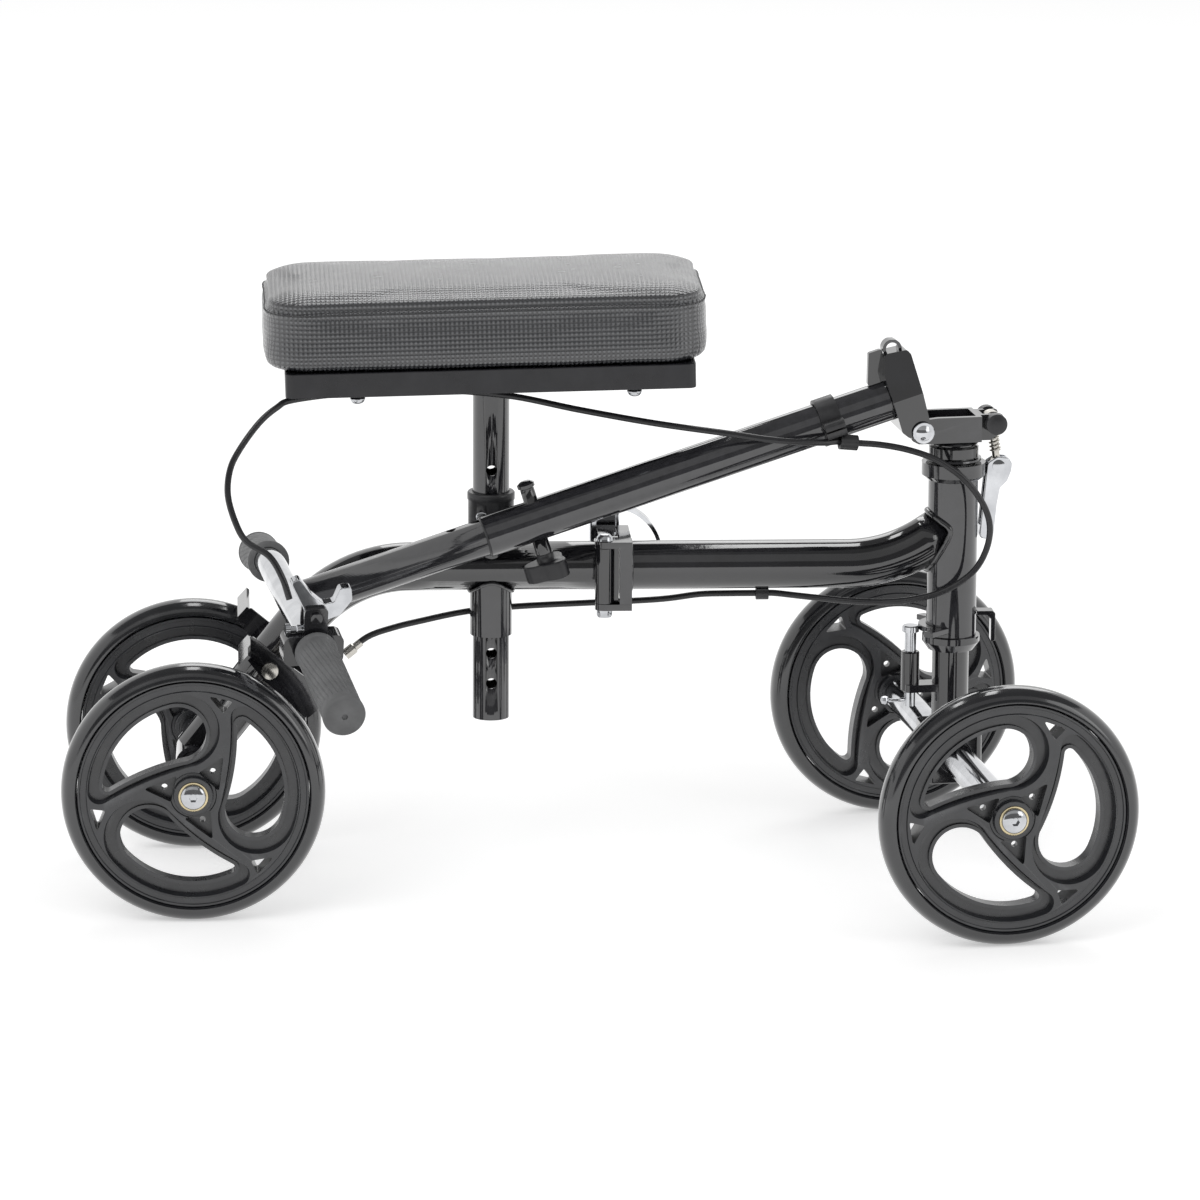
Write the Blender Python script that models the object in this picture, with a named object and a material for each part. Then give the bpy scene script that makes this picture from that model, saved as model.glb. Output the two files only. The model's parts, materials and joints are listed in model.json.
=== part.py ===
"""Folding knee walker with a padded knee seat, a fold-down steering column and rear tyre brakes.

Metres, +Z up. +X is the way it rolls, -Y is its right side. Shown stowed: the column lies back
beside the seat post, under the right half of the seat.
"""
import math

import bmesh
import bpy
from mathutils import Matrix, Vector

mm = 0.001
deg = math.pi / 180.0

# Clearances between pieces
GAP = 0.3 * mm
SLIDE_GAP = 0.35 * mm

# Wheels
WHEEL_R = 101.6 * mm
TYRE_T = 12.6 * mm
TYRE_SEAT_R = WHEEL_R - TYRE_T
TYRE_W = 28.0 * mm
RIM_W = 24.0 * mm
RIM_WEB_T = 9.0 * mm
HUB_R = 15.0 * mm
HUB_W = 34.0 * mm
AXLE_BOLT_R = 4.0 * mm
AXLE_HEAD_R = 10.5 * mm
AXLE_HEAD_T = 5.0 * mm

# Where the wheels stand
WHEELBASE = 593.5 * mm
FRONT_TRACK = 396.0 * mm
REAR_TRACK = 210.0 * mm
STEER = 7.66 * deg
FRONT_X = WHEELBASE / 2
REAR_X = -WHEELBASE / 2

# Frame tubes
FRAME_R = 19.05 * mm
FRAME_WALL = 2.0 * mm
FRAME_Z = 253.0 * mm
FRONT_BEND_X = 248.5 * mm
FRONT_BEND_R = 115.0 * mm
FRONT_RISE = 33.0 * deg
REAR_BEND_R = 105.0 * mm
REAR_DROP = 52.0 * deg
AXLE_TUBE_R = 10.0 * mm
AXLE_TUBE_FRONT_R = 12.7 * mm
AXLE_SHOULDER = GAP
REAR_CROSS_HALF = 24.0 * mm
REAR_CROSS_R = 14.0 * mm
REAR_SADDLE = 5.0 * mm

# Mid-frame hinge, its pin on the right side
HINGE_X = 34.5 * mm
HINGE_REAR_T = 15.5 * mm
HINGE_FRONT_T = 9.5 * mm
HINGE_AXIS_BACK = 11.6 * mm
HINGE_AXIS_X = HINGE_X - HINGE_AXIS_BACK
HINGE_PIN_Y = -33.0 * mm
HINGE_PIN_R = 4.0 * mm
HINGE_H = 54.5 * mm
HINGE_EAR_T = 5.0 * mm
HINGE_EAR_ROOM = 1.2 * mm
HINGE_HALF_W = 25.0 * mm
HINGE_BARREL_R = 7.5 * mm
LATCH_DEPTH = 18.0 * mm
LATCH_Z = 275.0 * mm
LATCH_H = 26.0 * mm
LATCH_LEVER_R = 40.0 * mm
LATCH_LEVER_LIFT = 2.5 * mm

# Head tube and steering
HEAD_R = 19.5 * mm
HEAD_WALL = 2.5 * mm
HEAD_BOTTOM = 196.0 * mm
HEAD_TOP = 320.0 * mm
STEERER_R = 14.3 * mm
CUP_R = 25.0 * mm
CUP_LOW_R = 22.5 * mm
UPPER_CUP_H = 14.0 * mm
LOWER_CUP_H = 11.5 * mm
HOOK_TOP = 215.0 * mm
CROWN_TOP = 124.0 * mm
CROWN_L = 44.0 * mm
CROWN_HALF = 22.0 * mm

# Steering lock behind the head tube
PIN_PATH_R = 32.3 * mm
LOCK_PIN_R = 4.5 * mm
LOCK_SLEEVE_R = 7.2 * mm
LOCK_CAP_R = 6.5 * mm
LOCK_LOW = 151.0 * mm
LOCK_HIGH = 183.0 * mm
LOCK_TOP = 203.8 * mm
STOP_REACH = 38.0 * mm
STOP_ARM_AT = 50.0 * deg
STOP_Z = 200.0 * mm
STOP_T = 4.5 * mm

# The column's saddle on the steerer and the latch that hangs on it
BASE_LOW = 352.3 * mm
BASE_TOP = 372.5 * mm
BASE_HALF_W = 18.0 * mm
BASE_FRONT_X = 36.5 * mm
BASE_NOSE_HALF = 11.3 * mm
BASE_NOSE_X = 18.0 * mm
CHEEK_T = 4.5 * mm
LATCH_PIN_X = 29.8 * mm
LATCH_PIN_Z = 366.0 * mm
LATCH_PIN_R = 4.0 * mm
LATCH_CAP_R = 8.2 * mm
LATCH_HANG = 8.0 * deg
LATCH_STUD_R = 3.0 * mm
LATCH_STUD_L = 36.4 * mm
LATCH_FOOT_R = 6.5 * mm
SPRING_WIRE_R = 0.7 * mm
SPRING_PITCH = 3.0 * mm
SPRING_TURNS = 4.4
SPRING_START = 12.0 * mm
COIL_POINTS = 8
LEVER_PIN_R = 3.0 * mm
LEVER_L = 58.5 * mm
LEVER_LEAN = 15.5 * deg
LATCH_CAP_T = 7.6 * mm
LEVER_HALF_W = 6.0 * mm
LEVER_SLOT = 3.6 * mm
LEVER_SLOT_SHIFT = 0.0

# Seat post, collar and sleeve
POST_X = -64.0 * mm
POST_R = 14.3 * mm
POST_WALL = 2.0 * mm
POST_BOTTOM = 132.0 * mm
HOLE_R = 4.3 * mm
HOLE_PITCH = 24.3 * mm
POST_TOP = 421.0 * mm
POST_HOLES = 8
POST_HOLE_LOW = 161.8 * mm
SLEEVE_R = 16.4 * mm
SLEEVE_BOTTOM = 199.0 * mm
COLLAR_R = 17.8 * mm
COLLAR_BOTTOM = 286.0 * mm
COLLAR_TOP = 313.0 * mm

# Seat
TRAY_REAR_X = -224.0 * mm
TRAY_FRONT_X = 90.5 * mm
TRAY_W = 160.0 * mm
TRAY_LIP = 19.0 * mm
TRAY_T = 2.0 * mm
TRAY_Z = 406.9 * mm
TRAY_PITCH = 1.25 * deg
TRAY_SCREW_R = 4.6 * mm
TRAY_SCREW_HEAD = ((0, -6.4 * mm), (3.4 * mm, -5.6 * mm), (TRAY_SCREW_R, -3 * mm))
TRAY_SCREWS = tuple((x * mm, y * mm) for x in (-102, 110) for y in (-70, 70))
PAD_L = 342.0 * mm
PAD_W = 170.0 * mm
PAD_H = 66.0 * mm
PAD_CROWN = 9.0 * mm
PAD_CORNER_R = 34.0 * mm
PAD_CORNER_STEPS = 5
PAD_SEAM_AT = 46.0 * mm
PAD_SHIFT = -2.5 * mm

# Steering column, in its own frame: Z runs from the pivot up the tube
PIVOT_BACK = 29.9 * mm
PIVOT_Z = 362.5 * mm
PIVOT_R = 4.5 * mm
COLUMN_DROP = 17.0 * deg
COLUMN_OFFSET = 27.8 * mm
COLUMN_R = 16.0 * mm
COLUMN_WALL = 1.35 * mm
COLUMN_END = 346.7 * mm
CASTING_TOP = 15.5 * mm
CASTING_PLATE = 11.3 * mm
CASTING_FRONT_X = 66.0 * mm
FLANGE_HALF_W = 22.0 * mm
NOSE_HALF_W = 7.0 * mm
TAPER_FROM = 30.0 * mm
CLAMP_AT = 65.2 * mm
KNOB_AT = 307.5 * mm
KNOB_R = 19.0 * mm
KNOB_BOSS_R = 6.25 * mm
KNOB_BOSS_H = 11.0 * mm
KNOB_HEAD_AT = 33.0 * mm
KNOB_HEAD_T = 14.0 * mm
BUTTON_R = 5.5 * mm
BUTTON_DOME_R = 6.8 * mm
BUTTON_H = 16.5 * mm
KNOB_STEM_R = 3.5 * mm
MAST_R = 14.3 * mm
MAST_WALL = 1.6 * mm
MAST_START = 183.0 * mm
MAST_HOLES = 4
MAST_HOLE_AT = 371.2 * mm
BAR_AT = 506.0 * mm
BAR_LIFT = 4.8 * mm
BAR_TWIST = -1.4 * deg
BAR_TURN = -0.9 * deg
BAR_R = 11.1 * mm
BAR_HALF = 238.0 * mm
BAR_BEND_AT = 100.0 * mm
BAR_BEND_R = 120.0 * mm
BAR_SWEEP = 0.2
GRIP_R = 15.8 * mm
GRIP_L = 111.0 * mm
GRIP_CAP = 4.0 * mm
LEVER_CLAMP_BACK = 11.0 * mm
LEVER_PIN_UP = 26.0 * mm
LEVER_SLOT_UP = 16.0 * mm
LEVER_BOLT_R = 3.0 * mm
BLADE_HALF = 4.5 * mm

# Rear brake yoke: its places are read from the spot on the tyre that the shoe faces
SHOE_SPOT_X = REAR_X + 0.28 * WHEEL_R
SHOE_SPOT_Z = WHEEL_R + 0.96 * WHEEL_R
YOKE_X = SHOE_SPOT_X + 31.302 * mm
YOKE_Z = SHOE_SPOT_Z - 17.136 * mm
YOKE_HALF_W = 47.0 * mm
YOKE_T = 2.5 * mm
YOKE_BOLT_R = 4.0 * mm
SHOE_END = 111.0 * mm
SHOE_CORNERS = ((14.202 * mm, 11.364 * mm), (6.802 * mm, 3.164 * mm), (8.702 * mm, 1.464 * mm),
                (16.302 * mm, 9.664 * mm))
PLATE_CORNERS = ((16.702 * mm, 11.264 * mm), (41.302 * mm, -9.136 * mm), (76.302 * mm, -36.136 * mm),
                 (66.602 * mm, -50.136 * mm), (59.802 * mm, -56.136 * mm), (28.302 * mm, -27.136 * mm),
                 (6.302 * mm, 1.364 * mm))
WEB_CORNERS = ((75.702 * mm, -36.136 * mm), (73.302 * mm, -34.536 * mm), (58.302 * mm, -53.736 * mm),
               (60.502 * mm, -55.536 * mm))
LUG_FOOT = ((72.302 * mm, -39.136 * mm), (75.802 * mm, -39.636 * mm))
LUG_TIP = ((-5.6 * mm, 9 * mm), (-9.1 * mm, 10 * mm))
LUG_RIGHT = 16 * mm
LUG_LEFT = 5 * mm
YOKE_LAP = 1 * mm

# Brake cable and what holds it
CABLE_R = 2.5 * mm
FERRULE_R = 4.4 * mm
FERRULE_BORE = CABLE_R + GAP
CLIP_X = 148.0 * mm
CLIP_Z = 229.5 * mm
COLUMN_CLIP = (10.8 * mm, -17.4 * mm, 57.6 * mm)
CLIP_RUN = (0.40, -0.05, 0.915)
CLAMP_TURN = -95.0 * deg

# The cable's centre line in millimetres, from the lever to the rear brake
CABLE_UPPER = (
    (-222.8, -188.3, 273), (-228.3, -187, 289.9), (-237.9, -183, 305.3), (-254.4, -178, 315.1),
    (-262.5, -168, 326.7), (-268.4, -150, 344.3), (-266.7, -133, 360.6), (-259, -118, 373.5),
    (-244.3, -95, 388.6), (-230.5, -80, 397.4), (-218.1, -70, 401), (-174.3, -56, 403.2),
    (-112.6, -44, 402.6), (-52.9, -31, 395.2), (3.5, -31, 383.4), (61.1, -38, 374), (117, -42, 366.5),
    (154.5, -43, 361), (188, -37, 357.6), (202.9, -30.6, 357.0), (211.1, -29.1, 356.0),
)
CABLE_FRONT = (
    (212.3, -28.9, 355.9), (220.5, -27.4, 354.9), (236.4, -29, 353.9),
    (255.8, -29, 350.3), (275.4, -29, 343.9), (291.1, -29, 335),
    (306.1, -29, 322.2), (318.9, -29, 303), (323.1, -29, 285.4), (319.5, -29, 267.1), (309.7, -28, 250.9),
    (292.8, -27, 238.8), (273.6, -25, 231.3), (246.7, -20, 226.3), (216.1, -12, 225.4), (193.2, -5, 226.3),
    (174, -0.6, 227.6), (158, 0, 229.4), (148.4, 0, 229.5),
)
CABLE_REAR = (
    (147.4, 0, 229.5), (137, 0, 229.5), (122, 2, 229), (100, 8, 227.1), (76, 16, 222), (53.7, 22, 219),
    (14.6, 24, 217),
    (-44.3, 24, 214.4), (-83.5, 23, 210.8), (-118.8, 19, 204.5), (-140.1, 13, 200.8), (-160.6, 8, 194.6),
    (-177.9, 5, 181),
)

# Where the spokes point on each wheel
SPOKE_COUNT = 3
SPOKE_STEP = 120.0 * deg
REAR_FAR_PHASE = -40.0 * deg
FRONT_NEAR_PHASE = -8.0 * deg
FRONT_FAR_PHASE = 58.0 * deg
RIM_BAND_T = 9.0 * mm
POCKET_LEDGE = 10.0 * mm
POCKET_R = TYRE_SEAT_R - RIM_BAND_T
OPENING_R = POCKET_R - POCKET_LEDGE
OPENING_FAT_R = 22.0 * mm
OPENING_FAT_AT = -136.0
OPENING_TIP_R = 4.0 * mm
OPENING_TIP_AT = -65.0
OPENING_BULGE = 3.0 * mm
POCKET_FAT_R = 28.5 * mm
POCKET_FAT_AT = -140.0
POCKET_TIP_R = 8.0 * mm
POCKET_TIP_AT = -62.0
POCKET_STEPS = 3
CORNER_HOLE_AT = 73.0 * deg
CORNER_HOLE_R = POCKET_R - 4.5 * mm
CORNER_HOLE = ((4.3 * mm, -7.8 * mm), (2.9 * mm, 11.0 * mm), (-7.1 * mm, -3.7 * mm))
DRAIN_HOLE_AT = 48.0 * deg
DRAIN_HOLE_R = 22.5 * mm
DRAIN_HOLE_SIZE = 2.4 * mm
RIM_SMOOTH = 35.0 * deg
TYRE_SHOULDER = 1.5 * mm
TYRE_TUCK = 3.0 * mm
TYRE_STEPS = 6
AXLE_BOLT_REACH = 10.0 * mm

# Smoothness of round pieces
BIG_STEPS = 24
SWEPT_STEPS = 12
TUBE_STEPS = 16
SMALL_STEPS = 10
HOLE_STEPS = 6


# Scene and objects

def clear_scene():
    for item in list(bpy.data.objects):
        bpy.data.objects.remove(item, do_unlink=True)


def make_material(name, color, roughness, metallic):
    material = bpy.data.materials.get(name)
    if material is None:
        material = bpy.data.materials.new(name)
        material.use_nodes = True
        shader = material.node_tree.nodes["Principled BSDF"]
        shader.inputs["Base Color"].default_value = (*color, 1.0)
        shader.inputs["Roughness"].default_value = roughness
        shader.inputs["Metallic"].default_value = metallic
    return material


def gloss_black():
    return make_material("gloss_black_paint", (0.012, 0.012, 0.014), 0.16, 0.0)


def black_plastic():
    return make_material("black_plastic", (0.03, 0.03, 0.033), 0.45, 0.0)


def rim_plastic():
    return make_material("rim_plastic", (0.05, 0.052, 0.056), 0.48, 0.0)


def tyre_rubber():
    return make_material("tyre_rubber", (0.014, 0.015, 0.018), 0.22, 0.0)


def grip_rubber():
    return make_material("grip_rubber", (0.05, 0.05, 0.052), 0.6, 0.0)


def chrome():
    return make_material("chrome", (0.72, 0.73, 0.74), 0.12, 1.0)


def zinc():
    return make_material("zinc_steel", (0.6, 0.6, 0.58), 0.3, 1.0)


def vinyl():
    return make_material("seat_vinyl", (0.06, 0.062, 0.068), 0.5, 0.0)


def cable_jacket():
    return make_material("cable_jacket", (0.02, 0.02, 0.021), 0.35, 0.0)


def add_object(name, bm, parent, material, matrix=None, smooth_angle=35.0):
    """Close the mesh's normals outward and place it under its parent."""
    bmesh.ops.recalc_face_normals(bm, faces=bm.faces)
    mesh = bpy.data.meshes.new(name)
    bm.to_mesh(mesh)
    bm.free()
    mesh.shade_smooth()
    mesh.set_sharp_from_angle(angle=smooth_angle * deg)
    mesh.materials.append(material)
    item = bpy.data.objects.new(name, mesh)
    bpy.context.scene.collection.objects.link(item)
    item.parent = parent
    if matrix is not None:
        item.matrix_local = matrix
    return item


def add_empty(name, parent, location=(0, 0, 0), rotation=(0, 0, 0)):
    item = bpy.data.objects.new(name, None)
    bpy.context.scene.collection.objects.link(item)
    item.parent = parent
    item.location = location
    item.rotation_euler = rotation
    return item


def boolean(item, tool, operation="DIFFERENCE"):
    """Cut or join with a hidden guide piece."""
    tool.hide_render = True
    tool.display_type = "WIRE"
    step = item.modifiers.new(tool.name, "BOOLEAN")
    step.operation = operation
    step.solver = "EXACT"
    step.object = tool


# Outlines

def arc(cx, cy, radius, start, end, steps):
    """Points along an arc, both ends included, angles in degrees."""
    points = []
    for i in range(steps + 1):
        angle = (start + (end - start) * i / steps) * deg
        points.append((cx + radius * math.cos(angle), cy + radius * math.sin(angle)))
    return points


def round_rect(width, height, radius, steps=3, cx=0.0, cy=0.0):
    half_w = width / 2 - radius
    half_h = height / 2 - radius
    points = []
    for quarter, (sx, sy) in enumerate(((1, 1), (-1, 1), (-1, -1), (1, -1))):
        start = 90.0 * quarter
        points += arc(cx + sx * half_w, cy + sy * half_h, radius, start, start + 90.0, steps)
    return points


def capsule(length, radius, steps=6):
    """A slot outline along X, centred."""
    half = length / 2
    return arc(half, 0, radius, -90, 90, steps) + arc(-half, 0, radius, 90, 270, steps)


def rounded_corners(points, radius, steps=3):
    """Round each corner of a closed outline."""
    result = []
    count = len(points)
    for i in range(count):
        corner = Vector(points[i])
        before = Vector(points[i - 1]) - corner
        after = Vector(points[(i + 1) % count]) - corner
        angle = before.angle(after)
        reach = min(radius / math.tan(angle / 2), 0.45 * before.length, 0.45 * after.length)
        start = corner + before.normalized() * reach
        end = corner + after.normalized() * reach
        for k in range(steps + 1):
            t = k / steps
            point = start * (1 - t) ** 2 + corner * 2 * t * (1 - t) + end * t ** 2
            result.append((point.x, point.y))
    return result


# Solids

def prism(outline, low, high):
    """A solid from an XY outline, from Z low to Z high."""
    bm = bmesh.new()
    bottom = [bm.verts.new((x, y, low)) for x, y in outline]
    top = [bm.verts.new((x, y, high)) for x, y in outline]
    count = len(outline)
    for i in range(count):
        j = (i + 1) % count
        bm.faces.new((bottom[i], bottom[j], top[j], top[i]))
    bm.faces.new(top)
    bm.faces.new(list(reversed(bottom)))
    return bm


def soft_prism(outline, low, high, edge, steps=1):
    """A prism whose two rims are bevelled."""
    bm = prism(outline, low, high)
    rims = [e for e in bm.edges if abs(e.verts[0].co.z - e.verts[1].co.z) < 1e-7]
    bmesh.ops.bevel(bm, geom=rims, offset=edge, segments=steps, profile=0.5, affect="EDGES",
                    offset_type="OFFSET", clamp_overlap=True)
    return bm


def turned(profile, sides=TUBE_STEPS, closed=False):
    """A solid of revolution about Z from (radius, height) points.

    A closed profile makes a ring. An open one starts and ends on the axis.
    """
    bm = bmesh.new()
    rings = []
    for radius, height in profile:
        if radius < 1e-7:
            rings.append([bm.verts.new((0, 0, height))])
        else:
            ring = []
            for i in range(sides):
                angle = 2 * math.pi * i / sides
                ring.append(bm.verts.new((radius * math.cos(angle), radius * math.sin(angle), height)))
            rings.append(ring)
    pairs = list(zip(rings, rings[1:]))
    if closed:
        pairs.append((rings[-1], rings[0]))
    for one, two in pairs:
        for i in range(sides):
            j = (i + 1) % sides
            if len(one) == 1 and len(two) == 1:
                continue
            if len(one) == 1:
                bm.faces.new((one[0], two[i], two[j]))
            elif len(two) == 1:
                bm.faces.new((one[i], one[j], two[0]))
            else:
                bm.faces.new((one[i], one[j], two[j], two[i]))
    return bm


def rod(radius, low, high, sides=TUBE_STEPS, edge=0.0):
    """A solid round bar along Z, with a small chamfer where one is given."""
    profile = [(0, low), (radius - edge, low)]
    if edge > 0:
        profile += [(radius, low + edge), (radius, high - edge)]
    else:
        profile += [(radius, high)]
    if edge > 0:
        profile += [(radius - edge, high)]
    profile += [(0, high)]
    return turned(profile, sides)


def pipe(outer, inner, low, high, sides=TUBE_STEPS, edge=0.0):
    """A round tube along Z with open ends."""
    profile = [(inner, low), (outer - edge, low)]
    if edge > 0:
        profile += [(outer, low + edge), (outer, high - edge)]
    else:
        profile += [(outer, high)]
    if edge > 0:
        profile += [(outer - edge, high)]
    profile += [(inner, high)]
    return turned(profile, sides, closed=True)


def along(start, end):
    """The frame at start whose Z axis points at end."""
    start = Vector(start)
    direction = Vector(end) - start
    rotation = direction.to_track_quat("Z", "Y").to_matrix().to_4x4()
    return Matrix.Translation(start) @ rotation


def axis_y(location=(0, 0, 0)):
    """Z of a turned piece laid along +Y."""
    return Matrix.Translation(location) @ Matrix.Rotation(-math.pi / 2, 4, "X")


def side_plate(location=(0, 0, 0)):
    """An XY outline stood up in the XZ plane, its Z towards -Y."""
    return Matrix.Translation(location) @ Matrix.Rotation(math.pi / 2, 4, "X")


def front_plate(location=(0, 0, 0)):
    """An XY outline stood up in the YZ plane, its Z towards +X."""
    turn = Matrix(((0, 0, 1, 0), (1, 0, 0, 0), (0, 1, 0, 0), (0, 0, 0, 1)))
    return Matrix.Translation(location) @ turn


def fillet_path(corners, radii, step=10.0 * deg):
    """A polyline with each inner corner rounded to its own radius."""
    corners = [Vector(c) for c in corners]
    points = [corners[0]]
    for i in range(1, len(corners) - 1):
        before = (corners[i - 1] - corners[i]).normalized()
        after = (corners[i + 1] - corners[i]).normalized()
        turn = math.pi - before.angle(after)
        if turn < 1e-4:
            continue
        reach = radii[i - 1] * math.tan(turn / 2)
        centre = corners[i] + (before + after).normalized() * (radii[i - 1] / math.cos(turn / 2))
        start = corners[i] + before * reach - centre
        axis = (before.cross(after)).normalized() * -1.0
        count = max(2, round(turn / step))
        for k in range(count + 1):
            spun = start.copy()
            spun.rotate(Matrix.Rotation(turn * k / count, 3, axis))
            points.append(centre + spun)
    points.append(corners[-1])
    return points


def smooth_curve(points, spacing):
    """Points read from a Catmull-Rom curve through the given ones."""
    points = [Vector(p) for p in points]
    padded = [points[0] * 2 - points[1]] + points + [points[-1] * 2 - points[-2]]
    result = [points[0]]
    for i in range(1, len(padded) - 2):
        p0, p1, p2, p3 = padded[i - 1:i + 3]
        count = max(1, round((p2 - p1).length / spacing))
        for k in range(1, count + 1):
            t = k / count
            result.append(0.5 * (2 * p1 + (p2 - p0) * t + (2 * p0 - 5 * p1 + 4 * p2 - p3) * t * t
                                 + (3 * p1 - p0 - 3 * p2 + p3) * t ** 3))
    return result


def swept(path, outer, inner=0.0, sides=TUBE_STEPS):
    """A round tube, or a bar where inner is zero, along a path."""
    bm = bmesh.new()
    count = len(path)
    tangents = []
    for i in range(count):
        ahead = path[min(i + 1, count - 1)] - path[max(i - 1, 0)]
        tangents.append(ahead.normalized())
    side = tangents[0].orthogonal().normalized()
    outer_rings = []
    inner_rings = []
    for i in range(count):
        side = (side - tangents[i] * side.dot(tangents[i])).normalized()
        up = tangents[i].cross(side)
        stretch = 1.0
        if 0 < i < count - 1:
            bend = (path[i] - path[i - 1]).angle(path[i + 1] - path[i])
            stretch = 1.0 / max(0.5, math.cos(bend / 2))
        for radius, rings in ((outer, outer_rings), (inner, inner_rings)):
            if radius <= 0:
                continue
            ring = []
            for k in range(sides):
                angle = 2 * math.pi * k / sides
                offset = side * math.cos(angle) + up * math.sin(angle)
                if stretch > 1.0001:
                    bend_dir = (path[i + 1] - path[i]).normalized() - (path[i] - path[i - 1]).normalized()
                    bend_dir.normalize()
                    offset = offset + bend_dir * offset.dot(bend_dir) * (stretch - 1.0)
                ring.append(bm.verts.new(path[i] + offset * radius))
            rings.append(ring)
    for rings in (outer_rings, inner_rings):
        for one, two in zip(rings, rings[1:]):
            for k in range(sides):
                j = (k + 1) % sides
                bm.faces.new((one[k], one[j], two[j], two[k]))
    if inner_rings:
        for one, two in ((outer_rings[0], inner_rings[0]), (outer_rings[-1], inner_rings[-1])):
            for k in range(sides):
                j = (k + 1) % sides
                bm.faces.new((one[k], one[j], two[j], two[k]))
    else:
        bm.faces.new(outer_rings[0])
        bm.faces.new(outer_rings[-1])
    return bm


# Wheels

def comma_outline(outer, fat_r, fat_angle, tip_r, tip_angle, bulge, steps=4):
    """One swirl opening: a fat round end, a long outer arc, a narrow tip and a bulging inner edge."""
    fat = Vector((math.cos(fat_angle * deg), math.sin(fat_angle * deg))) * (outer - fat_r)
    tip = Vector((math.cos(tip_angle * deg), math.sin(tip_angle * deg))) * (outer - tip_r)
    span = tip - fat
    lean = math.acos((fat_r - tip_r) / span.length)
    normal_angle = (math.atan2(span.y, span.x) + lean) / deg
    points = arc(fat.x, fat.y, fat_r, normal_angle, 360.0 + fat_angle, steps + 1)
    points += arc(0, 0, outer, 360.0 + fat_angle, 360.0 + tip_angle, steps)[1:]
    points += arc(tip.x, tip.y, tip_r, 360.0 + tip_angle, 360.0 + normal_angle, 2)[1:]
    start = Vector(points[-1])
    end = Vector(points[0])
    inward = Vector((-(end - start).y, (end - start).x)).normalized()
    for i in range(1, steps):
        t = i / steps
        spot = start.lerp(end, t) + inward * (4 * bulge * t * (1 - t))
        points.append((spot.x, spot.y))
    return points


def opening_outline():
    return comma_outline(OPENING_R, OPENING_FAT_R, OPENING_FAT_AT, OPENING_TIP_R, OPENING_TIP_AT, OPENING_BULGE)


def pocket_outline():
    return comma_outline(POCKET_R, POCKET_FAT_R, POCKET_FAT_AT, POCKET_TIP_R, POCKET_TIP_AT, OPENING_BULGE,
                         POCKET_STEPS)


def cutter(name, bm, parent, matrix=None):
    """A guide piece that only cuts or joins."""
    item = add_object(name, bm, parent, black_plastic(), matrix)
    item.hide_render = True
    item.display_type = "WIRE"
    return item


def finish_cuts(item, tools, joins=()):
    """Join and cut a piece with its guides, keep the result as its mesh and drop the guides."""
    for tool in joins:
        boolean(item, tool, "UNION")
    for tool in tools:
        boolean(item, tool)
    bpy.context.view_layer.update()
    graph = bpy.context.evaluated_depsgraph_get()
    mesh = bpy.data.meshes.new_from_object(item.evaluated_get(graph))
    item.modifiers.clear()
    item.data = mesh
    mesh.name = item.name
    for tool in [*joins, *tools]:
        bpy.data.objects.remove(tool, do_unlink=True)


def rim_cutters(parent, place):
    """Three swirl openings with a pocket on each face, three corner holes and three small ones."""
    tools = []
    high = RIM_W / 2 + 2 * mm
    web = RIM_WEB_T / 2
    for i in range(SPOKE_COUNT):
        turn = place @ Matrix.Rotation(SPOKE_STEP * i, 4, "Z")
        through = prism(opening_outline(), -high, high)
        tools.append(cutter(f"rim_opening_{i}", through, parent, turn))
        for face, low, top in (("out", web, high), ("in", -high, -web)):
            pocket = prism(pocket_outline(), low, top)
            tools.append(cutter(f"rim_pocket_{face}_{i}", pocket, parent, turn))
        corner = turn @ Matrix.Rotation(CORNER_HOLE_AT, 4, "Z")
        corner = corner @ Matrix.Translation((CORNER_HOLE_R, 0, 0))
        tools.append(cutter(f"rim_corner_{i}", prism(CORNER_HOLE, -high, high), parent, corner))
        small = turn @ Matrix.Rotation(DRAIN_HOLE_AT, 4, "Z")
        small = small @ Matrix.Translation((DRAIN_HOLE_R, 0, 0))
        tools.append(cutter(f"rim_drain_{i}", rod(DRAIN_HOLE_SIZE, -high, high, 6), parent, small))
    return tools


def tyre_mesh():
    """A round-crowned solid tyre that sits on the rim's seat."""
    seat = TYRE_SEAT_R + GAP
    half = TYRE_W / 2
    crown = seat + TYRE_SHOULDER
    profile = [(seat, -half + TYRE_TUCK)]
    for x, y in arc(0, 0, 1.0, -90, 90, TYRE_STEPS):
        profile.append((crown + x * (WHEEL_R - crown), y * half))
    profile.append((seat, half - TYRE_TUCK))
    return turned(profile, BIG_STEPS, closed=True)


def hub_bore():
    return AXLE_BOLT_R + SLIDE_GAP


def rim_mesh():
    """The rim and its three spokes before the openings are cut, Z along the axle."""
    half = RIM_W / 2
    profile = [
        (hub_bore(), -HUB_W / 2), (HUB_R, -HUB_W / 2), (HUB_R + 1.0 * mm, -half), (TYRE_SEAT_R, -half),
        (TYRE_SEAT_R, half), (HUB_R + 1.0 * mm, half), (HUB_R, HUB_W / 2), (hub_bore(), HUB_W / 2),
    ]
    return turned(profile, BIG_STEPS, closed=True)


def add_rim(name, hub, outward, phase):
    """The rim with its openings, which swirl the same way as seen from the walker's right side."""
    rim = add_object(name, rim_mesh(), hub, rim_plastic())
    side = Matrix.Rotation(math.pi if outward > 0 else 0.0, 4, "X")
    finish_cuts(rim, rim_cutters(hub, side @ Matrix.Rotation(phase, 4, "Z")))
    rim.data.shade_smooth()
    rim.data.set_sharp_from_angle(angle=RIM_SMOOTH)


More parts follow.
